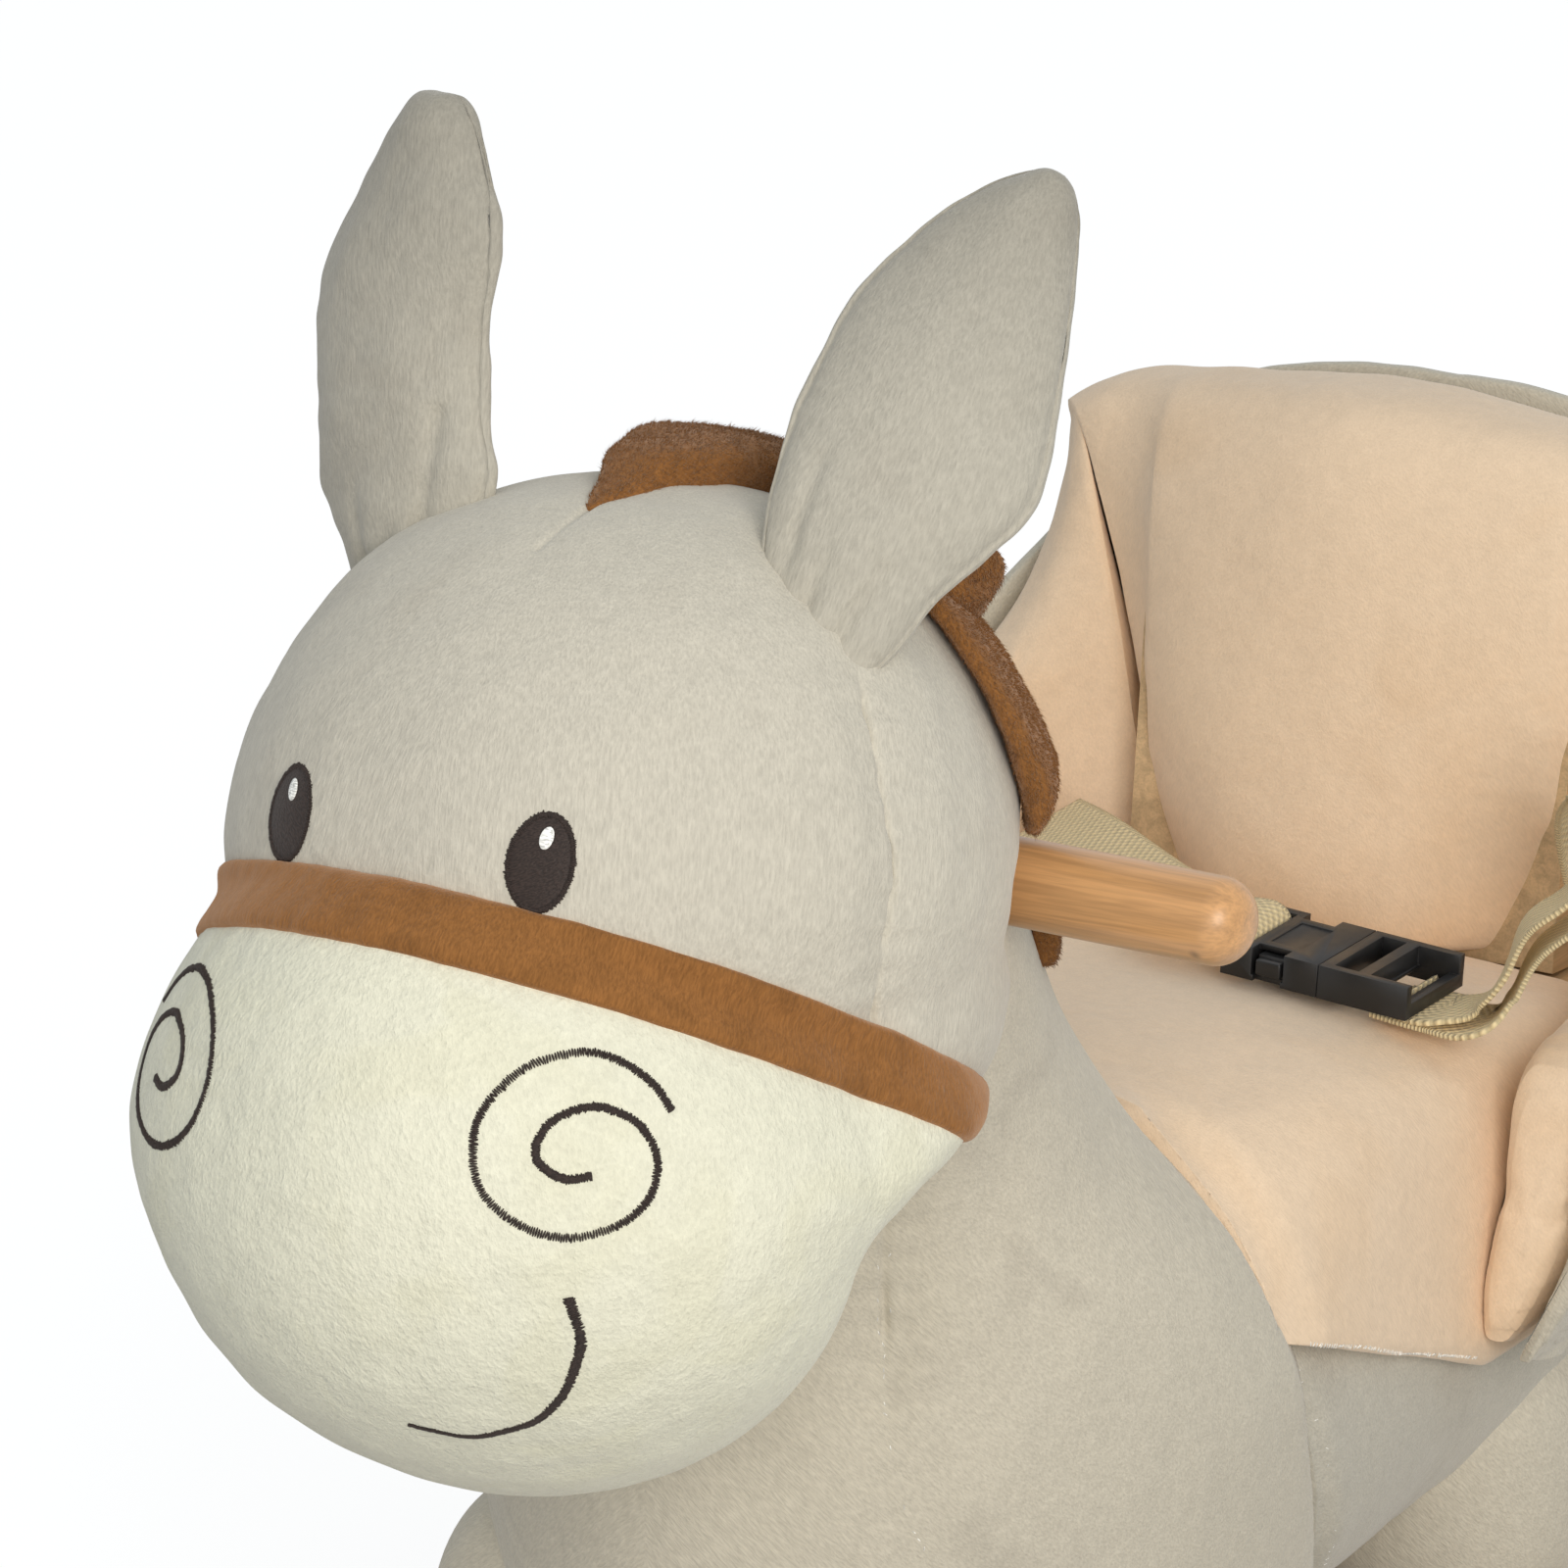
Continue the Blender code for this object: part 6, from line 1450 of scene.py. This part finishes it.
class DONKEY_OT_seat(bpy.types.Operator):
    """Saddle cushion, two wings and the back, blown up as cloth, and the grey cover round them"""
    bl_idname = "donkey.seat"
    bl_label = "Seat cushions"

    def execute(self, context):
        cap = context.scene.donkey_seat.cap
        whole_trunk = wrapped("whole_trunk", 120, 100, trunk_place)
        trunk_tree = surface_of(whole_trunk)[0]
        wings = []
        fold = ((0, 0.003, 0.008, 0.02), (0.9, 0.95, 0.985, 1.0), (0.99, 0.995, 1.0, 1.0))
        for side, name in ((1, "left"), (-1, "right")):
            nose = ((0, 0.001, 0.005, 0.012, 0.022), (0.3, 0.55, 0.84, 0.96, 1.0),
                    (0.52, 0.7, 0.9, 0.975, 1.0))
            wing = bucket_pad("plush_wing_" + name, side * (CREASE + 0.0002), side * BUCKET_END, (fold, nose),
                              lambda d: BUCKET["wing"], wing_floor, 110, 64)
            away = np.linalg.norm(corners(wing)[:, :2] - bucket_place(
                np.full(1, side * CREASE), 0.02, np.full(1, 0.3))[0, :2], axis=1)
            stuffed(wing, np.clip((away - 0.016) / 0.02, 0.0, 1.0), cap)
            uneven(wing, (0.0006, 0.05, 83), (0.0002, 0.018, 84))
            snug(wing, trunk_tree, 0.55, 0.0006)
            settle(wing, FINISH["peach"], ["wing_cushion_" + name])
            wings.append(wing)
        depth = lambda d: BUCKET["back"] + (BUCKET["wing"] - BUCKET["back"]) * np.clip(np.abs(d) / CREASE, 0,
                                                                                       1) ** 2
        back = bucket_pad("plush_back_cushion", -CREASE + 0.0002, CREASE - 0.0002, (fold, fold), depth,
                          lambda d: np.full(len(d), BUCKET["back_floor"]), 116, 64, square=True)
        stuffed(back, np.clip((0.088 - np.abs(corners(back)[:, 0])) / 0.022, 0.0, 1.0), cap)
        uneven(back, (0.0008, 0.08, 86), (0.0002, 0.022, 87))
        settle(back, FINISH["peach"], ["back_cushion"])

        seat = wrapped("plush_seat_cushion", 150, 72, seat_place)
        at = corners(seat)
        loose = np.clip((at[:, 2] - seat_hem(at[:, 1]) - 0.004) / 0.016, 0,
                        1) * np.clip((at[:, 1] + 0.022) / 0.016, 0, 1)
        stuffed(seat, loose * np.clip((0.196 - at[:, 1]) / 0.02, 0, 1), cap * 0.8)
        uneven(seat, (0.0006, 0.07, 81), (0.0002, 0.02, 82))
        keep_behind(seat, SEAT_SEAM_POINT + SEAT_SEAM_NORMAL * 0.0003, -SEAT_SEAM_NORMAL)
        whole_chest = wrapped("whole_chest", 160, 120, chest_place)
        at = corners(seat)
        near = np.clip(1 - (at - SEAT_SEAM_POINT) @ SEAT_SEAM_NORMAL / 0.018, 0, 1) * (at[:, 2] > 0.2)
        drawn_in(seat, surface_of(whole_chest)[0], eased(near), 0.0008)
        bpy.data.objects.remove(whole_chest, do_unlink=True)
        take_away(seat, trunk_cutter())
        for other in (back, *wings):
            take_away(seat, grown_copy(other, 0.0003))
        settle(seat, FINISH["peach"], ["seat_cushion"])

        def cover_place(turn, rise):
            distance = BUCKET_END * (2 * np.clip((rise - 0.01) / 0.98, 0, 1) - 1)
            low = wing_floor(distance) - 0.002 + 0.012 * np.clip(1 - (BUCKET_END - np.abs(distance)) / 0.03,
                                                                 0, 1) ** 1.5
            high = rim_height(distance) - np.interp(np.abs(distance), (0, CREASE, CREASE + 0.02),
                                                    (0.0122, 0.006, 0.01))
            c, s = circle(turn)
            thick, closed = BUCKET["cover"] / 2, at_ends(rise)
            inset = thick - thick * rounded(c, 0.25) * ~closed
            z = (low + high) / 2 + (high - low) / 2 * np.where(
                closed, 0.0, np.sign(s) * np.minimum(1.0, np.abs(s) ** 0.5))
            return bucket_place(distance, inset, z)

        cover = wrapped("plush_back_cover", 96, 200, cover_place)
        uneven(cover, (0.0003, 0.05, 88), (0.00015, 0.016, 89))
        snug(cover, trunk_tree, 0.5, 0.0004)
        bpy.data.objects.remove(whole_trunk, do_unlink=True)
        settle(cover, FINISH["body"], ["back_cover"])
        tree = surface_of(seat)[0]
        for side, name in ((1, "left"), (-1, "right")):
            route = [(side * 0.108, y, seat_hem(y) + 0.0004) for y in np.linspace(-0.006, 0.09, 9)]
            thread = stitches("hem_stitches_" + name, tree, route, 0.0012, 0.0014, 0.0002, 0.9, math.pi / 2,
                              29)
            settle(thread, FINISH["seam_thread"])
        return {"FINISHED"}


# Lap belt

BUCKLE_MOUTH = Vector((0.0575, 0.1015, 0.2807))
BUCKLE_PITCH = math.radians(3.4)
BUCKLE_THICKNESS = 0.009
SOCKET_LENGTH = 0.028
BUCKLE_PLACE = Matrix.Translation(BUCKLE_MOUTH) @ Matrix.Rotation(BUCKLE_PITCH, 4, "Y")
FLAT = BUCKLE_PLACE.to_3x3() @ Vector((0.0, 1.0, 0.0))


def at_buckle(x, z):
    """A place on the buckle's middle line, from its mouth towards the frame's end and up."""
    return tuple(BUCKLE_PLACE @ Vector((x, 0.0, z)))


def strap(name, rows, stations):
    """Flat webbing along rows of a point and its width direction, with a UV map in strap widths."""
    settings = bpy.context.scene.donkey_seat
    width, thick = settings.webbing_width, settings.webbing_thickness
    rows = np.array([(*point, *across) for point, across in rows])
    where = np.linspace(0, 1, stations + 1)
    line = through(rows, where)
    core, across = line[:, :3], line[:, 3:]
    ahead = unit_rows(np.gradient(core, axis=0))
    across = unit_rows(across - ahead * np.sum(across * ahead, axis=1)[:, None])
    normal = np.cross(ahead, across)
    run = np.concatenate(([0], np.cumsum(np.linalg.norm(np.diff(core, axis=0), axis=1))))
    under = [(-0.5, -0.42), (-0.46, -0.5), (-0.25, -0.5), (0.0, -0.5), (0.25, -0.5), (0.46, -0.5),
             (0.5, -0.42)]
    shape = np.array(under + [(-wide, -high) for wide, high in under] + under[:1])
    sides = len(shape) - 1

    def place(turn, rise):
        k = np.rint(turn * sides).astype(int)
        j = np.clip(np.rint(rise * (stations + 2)).astype(int) - 1, 0, stations)
        closed = at_ends(rise)
        reach = shape[k] * np.where(closed, 0.0, 1.0)[:, None]
        return (core[j] + across[j] * (reach[:, 0] * width)[:, None]
                + normal[j] * (reach[:, 1] * thick)[:, None])

    piece = wrapped(name, sides, stations + 2, place)
    at = corners(piece)
    gap = np.linalg.norm(at[:, None, :] - core[None, :, :], axis=2)
    nearest = gap.argmin(axis=1)
    u = 0.5 + np.sum((at - core[nearest]) * across[nearest], axis=1) / width
    v = (run[nearest] + np.sum((at - core[nearest]) * ahead[nearest], axis=1)) / width
    layer = piece.data.uv_layers.active or piece.data.uv_layers.new(name="strap")
    ends = np.empty(len(piece.data.loops), dtype=int)
    piece.data.loops.foreach_get("vertex_index", ends)
    layer.data.foreach_set("uv", np.stack((u[ends], v[ends]), axis=1).ravel())
    return piece


FAR_STRAP = (((-0.079, 0.181, 0.273), (0.4, 0.75, 0.35)), ((-0.055, 0.162, 0.277), (0.35, 0.85, 0.25)),
             ((-0.02, 0.135, 0.279), (0.15, 1.0, 0.12)), (at_buckle(-0.05, 0.003), FLAT),
             (at_buckle(-SOCKET_LENGTH - 0.004, 0.0062), FLAT),
             (at_buckle(-SOCKET_LENGTH + 0.0015, 0.006), FLAT),
             (at_buckle(-SOCKET_LENGTH + 0.0045, 0.0032), FLAT),
             (at_buckle(-SOCKET_LENGTH + 0.0045, -0.001), FLAT))
NEAR_STRAP = (((0.085, 0.187, 0.28), (-0.1, 0.1, 1.0)), ((0.089, 0.172, 0.301), (0.1, 0.3, 0.9)),
              ((0.097, 0.157, 0.322), (0.3, 0.6, 0.7)), ((0.111, 0.142, 0.33), (0.35, 0.8, 0.45)),
              ((0.12, 0.129, 0.322), (0.1, 0.95, 0.2)), ((0.1135, 0.118, 0.306), (-0.45, 0.85, -0.15)),
              ((0.104, 0.1125, 0.2965), (-0.45, 0.88, -0.12)), ((0.1005, 0.108, 0.285), (-0.35, 0.92, -0.02)),
              ((0.0955, 0.1055, 0.2765), (-0.15, 1.0, 0.0)), (at_buckle(0.031, -0.005), FLAT),
              (at_buckle(0.0255, -0.0058), FLAT), (at_buckle(0.0215, -0.005), FLAT),
              (at_buckle(0.0198, -0.002), FLAT))
STRAP_TAIL = (((0.131, 0.12, 0.316), (-0.35, 0.9, -0.1)), ((0.121, 0.116, 0.303), (-0.45, 0.85, -0.15)),
              ((0.1085, 0.111, 0.2915), (-0.45, 0.88, -0.12)), ((0.104, 0.105, 0.2795), (-0.35, 0.92, -0.02)),
              ((0.0995, 0.1005, 0.2735), (-0.1, 1.0, 0.05)), (at_buckle(0.03, -0.0072), FLAT),
              (at_buckle(0.014, -0.0068), FLAT))


def buckle_block(name, low, high, bevel=0.0):
    """A block in the buckle's own frame: mouth at 0, the open frame's end along +X."""
    made = box_cutter(low, high)
    made.name = made.data.name = name
    return with_modifier(made, "BEVEL", width=bevel, segments=3) if bevel else made


def hollowed(piece, rooms):
    """Cut rooms, each a box between two corners, out of a buckle piece."""
    for low, high in rooms:
        take_away(piece, buckle_block("room", low, high))


def join_to(piece, other):
    """Unite a piece with another, which is then removed."""
    with_modifier(piece, "BOOLEAN", operation="UNION", object=other)
    bpy.data.objects.remove(other, do_unlink=True)


def buckle_finish(piece):
    """Round a buckle piece's edges and put it in its place."""
    with_modifier(piece, "BEVEL", width=0.00045, segments=3, limit_method="ANGLE",
                  angle_limit=math.radians(35),
                  harden_normals=True)
    bpy.ops.object.shade_smooth_by_angle(angle=math.radians(40))
    piece.data.transform(BUCKLE_PLACE)


class DONKEY_OT_buckle(bpy.types.Operator):
    """Side-release buckle: a waisted socket with side windows, and a frame with prongs and a strap bar"""
    bl_idname = "donkey.buckle"
    bl_label = "Buckle"

    def execute(self, context):
        length, half, thick, wall = SOCKET_LENGTH, 0.016, BUCKLE_THICKNESS / 2, 0.0016
        past, inner, frame_end = thick + 0.002, half - 0.0027, 0.026
        socket = buckle_block("buckle_socket_shell", (-length, -half, -thick), (0.0, half, thick))
        rooms = [((-0.0192, -half + wall, -thick + wall), (0.002, half - wall, thick - wall))]
        for side in (-1, 1):
            rooms += [((-0.0192, side * 0.0145 - 0.003, -thick + wall),
                       (-0.0098, side * 0.0145 + 0.003, past)),
                      ((-0.0185, side * 0.0172 - 0.003, -thick - 0.001),
                       (-0.0105, side * 0.0172 + 0.003, -thick + 0.003))]
        rooms += [((-length + 0.0025, -0.013, -past), (-length + 0.0065, 0.013, past)),
                  ((-0.0178, -0.0085, thick - 0.0005), (-0.0085, 0.0085, past))]
        hollowed(socket, rooms)
        buckle_finish(socket)
        settle(socket, FINISH["plastic"], ["buckle_socket"], body="socket")

        prongs = buckle_block("buckle_prong_frame", (0.0003, -half, -thick), (frame_end, half, thick))
        hollowed(prongs, [((first, -inner, bottom), (last, inner, top)) for first, last, bottom, top in (
            (0.0035, 0.0105, -past, past), (0.0145, 0.0232, -past, past),
            (0.014, frame_end + 0.001, -0.0006, past), (0.01, 0.015, -past, -0.0015))])
        for side in (-1, 1):
            for name, across, near, far, low, high, bevel in (
                    ("arm", 0.01235, 0.002, 0.003, -0.0026, 0.0026, 0.0),
                    ("button", 0.0142, 0.0022, -0.0106, -0.0024, 0.0019, 0.0006)):
                join_to(prongs, buckle_block(name, (-0.0178, side * across - near, low),
                                             (far, side * across + near, high), bevel))
        join_to(prongs, buckle_block("guide", (-0.014, -0.0015, -0.002), (0.003, 0.0015, 0.002)))
        buckle_finish(prongs)
        settle(prongs, FINISH["plastic"], ["buckle_frame"])
        return {"FINISHED"}


class DONKEY_OT_belt(bpy.types.Operator):
    """Two straps of flat woven webbing, the far one bending between the toy and the buckle's socket"""
    bl_idname = "donkey.belt"
    bl_label = "Lap belt"

    def execute(self, context):
        for name, rows, stations, node_name, body in (
                ("webbing_far", FAR_STRAP, 120, "far_strap", None),
                ("webbing_near", NEAR_STRAP, 190, "near_strap", TOY),
                ("webbing_tail", STRAP_TAIL, 120, "near_strap_tail", TOY)):
            piece = strap(name, rows, stations)
            settle(piece, FINISH["webbing"], [node_name], body=body)
            if body is None:
                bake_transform(piece)
        return {"FINISHED"}


class DONKEY_OT_handle_bar(bpy.types.Operator):
    """Turned grip bar with rounded ends"""
    bl_idname = "donkey.handle_bar"
    bl_label = "Handle bar"

    def execute(self, context):
        half, radius, corner, turned = 0.138, HANDLE_RADIUS, 0.0085, 0.6

        def place(turn, rise):
            run = np.abs(rise - 0.5) * 2
            a = np.clip((run - turned) / (1 - turned), 0, 1) * np.pi / 2
            reach = np.where(run < turned, run / turned * (half - corner), half - corner + corner * np.sin(a))
            wide = np.where(run < turned, radius, radius - corner + corner * np.cos(a)) * ~at_ends(rise)
            c, s = circle(turn)
            return np.stack((np.sign(rise - 0.5) * reach, HANDLE_PLACE[1] + wide * c,
                             HANDLE_PLACE[2] + wide * s), 1)

        settle(wrapped("grip_bar", 64, 80, place), FINISH["handle"], ["handle_bar"])
        return {"FINISHED"}


class DONKEY_OT_hard_pieces(bpy.types.Operator):
    """Finishes for the model's own wooden, steel and plastic pieces"""
    bl_idname = "donkey.hard_pieces"
    bl_label = "Wood, steel and plastic"

    def execute(self, context):
        kinds = (("rocker_bolt", "steel"), ("rocker_", "rail"), ("leg_post", "post"), ("leg_screw", "steel"),
                 ("neck_bracket", "steel"), ("back_bracket", "steel"), ("handle_screw", "steel"),
                 ("front_slat", "slat"), ("rear_slat", "slat"), ("foot_rest_bar", "slat"),
                 ("seat_board", "board"),
                 ("neck_board", "board"), ("back_board", "board"), ("buckle_", "plastic"), ("", "body"))
        for name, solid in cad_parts.items():
            finish = FINISH[next(kind for start_of, kind in kinds if name.startswith(start_of))]
            if not solid.data.materials:
                solid.data.materials.append(finish)
            for slot in solid.material_slots:
                slot.material = finish
        return {"FINISHED"}


# Stage


CAMERA_PLACE = (0.9367, -1.5792, 0.944)
LAMP_COLOUR = (1.0, 0.95, 0.88)
LAMP_WIDTH = 1.2
FILL_SHARE = 0.15
FLOOR_GLOW = 0.72
SKY_TINT = (0.93, 0.975, 1.0)


def lamp(name, place, aim, power):
    """A square soft lamp aimed at a point."""
    bpy.ops.object.light_add(type="AREA", location=place)
    made = bpy.context.object
    made.name = name
    for setting, value in {"shape": "SQUARE", "size": LAMP_WIDTH, "energy": power,
                           "color": LAMP_COLOUR}.items():
        setattr(made.data, setting, value)
    made.rotation_euler = (Vector(aim) - Vector(place)).to_track_quat("-Z", "Y").to_euler()


def seen_directly(made):
    """1 where the camera, a reflection or clear glass looks straight at something, otherwise 0."""
    rays = node(made, "ShaderNodeLightPath").outputs
    return maths(made, "MAXIMUM", maths(made, "MAXIMUM", rays["Is Camera Ray"], rays["Is Glossy Ray"]),
                 rays["Is Transmission Ray"])


class DONKEY_OT_stage(bpy.types.Operator):
    """Camera at the photograph's angle, plain white floor and soft lamps"""
    bl_idname = "donkey.stage"
    bl_label = "Stage"

    def execute(self, context):
        scene = context.scene
        settings = scene.donkey_stage
        clear_selection()
        bpy.ops.object.camera_add(location=CAMERA_PLACE,
                                  rotation=(math.pi / 2 - settings.elevation, 0.0, settings.azimuth))
        camera = bpy.context.object
        camera.name = "camera"
        camera.data.sensor_width = 36.0
        camera.data.lens = settings.focal
        camera.data.clip_end = 60.0
        scene.camera = camera

        bpy.ops.mesh.primitive_plane_add(size=40.0)
        floor = bpy.context.object
        floor.name = "floor"
        pale, shader = start("pale_floor", (0.5, 0.5, 0.5), 0.9)
        wire(pale, shader, Specular_IOR_Level=0.0)
        glow = node(pale, "ShaderNodeEmission", Color=(1.0, 1.0, 1.0),
                    Strength=maths(pale, "MULTIPLY", seen_directly(pale), FLOOR_GLOW))
        both = node(pale, "ShaderNodeAddShader")
        for socket, source in zip(both.inputs, (shader, glow)):
            feed(pale, socket, source.outputs[0])
        wire(pale, pale.node_tree.nodes["Material Output"], Surface=both.outputs[0])
        floor.data.materials.append(pale)
        lamp("key", (1.75, -1.7, 1.25), (0.0, -0.02, 0.3), settings.key)
        lamp("fill", (0.9, -2.1, 0.9), (0.0, 0.0, 0.28), settings.key * FILL_SHARE)

        world = bpy.data.worlds.new("studio")
        scene.world = world
        world.use_nodes = True
        direct = seen_directly(world)
        wire(world, world.node_tree.nodes["Background"],
             Color=mixed(world, direct, SKY_TINT, (1.0, 1.0, 1.0)),
             Strength=ranged(world, direct, 0.0, 1.0, settings.sky, 1.0, smooth=False))
        scene.view_settings.view_transform = "Standard"
        return {"FINISHED"}


class DONKEY_PT_panel(bpy.types.Panel):
    """Lists the settings and the pieces"""
    bl_label = "Plush Rocking Donkey"
    bl_idname = "DONKEY_PT_panel"
    bl_space_type = "VIEW_3D"
    bl_region_type = "UI"
    bl_category = "Donkey"

    def draw(self, context):
        layout = self.layout
        for group in (context.scene.donkey_colours, context.scene.donkey_head, context.scene.donkey_seat,
                      context.scene.donkey_stage):
            box = layout.box()
            for name in group.__annotations__:
                box.prop(group, name)
        for operator in PIECES:
            layout.operator(operator.bl_idname)


PIECES = (DONKEY_OT_stage, DONKEY_OT_hard_pieces, DONKEY_OT_head, DONKEY_OT_muzzle, DONKEY_OT_nose_band,
          DONKEY_OT_ears, DONKEY_OT_embroidery, DONKEY_OT_mane, DONKEY_OT_body, DONKEY_OT_legs,
          DONKEY_OT_tail,
          DONKEY_OT_seat, DONKEY_OT_belt, DONKEY_OT_buckle, DONKEY_OT_handle_bar)
GROUPS = {"donkey_colours": DONKEY_PG_colours, "donkey_head": DONKEY_PG_head, "donkey_seat": DONKEY_PG_seat,
          "donkey_stage": DONKEY_PG_stage}


def register():
    """Make the settings, the operators and the panel known to Blender."""
    for group in GROUPS.values():
        bpy.utils.register_class(group)
    for operator in PIECES:
        bpy.utils.register_class(operator)
    bpy.utils.register_class(DONKEY_PT_panel)
    for name, group in GROUPS.items():
        setattr(bpy.types.Scene, name, bpy.props.PointerProperty(type=group))


def unregister():
    """Take them away again."""
    for name in GROUPS:
        delattr(bpy.types.Scene, name)
    bpy.utils.unregister_class(DONKEY_PT_panel)
    for known in (*reversed(PIECES), *reversed(GROUPS.values())):
        bpy.utils.unregister_class(known)


def main():
    """Make every piece."""
    register()
    make_finishes()
    for operator in PIECES:
        group, name = operator.bl_idname.split(".")
        getattr(getattr(bpy.ops, group), name)()


if __name__ == "__main__":
    main()
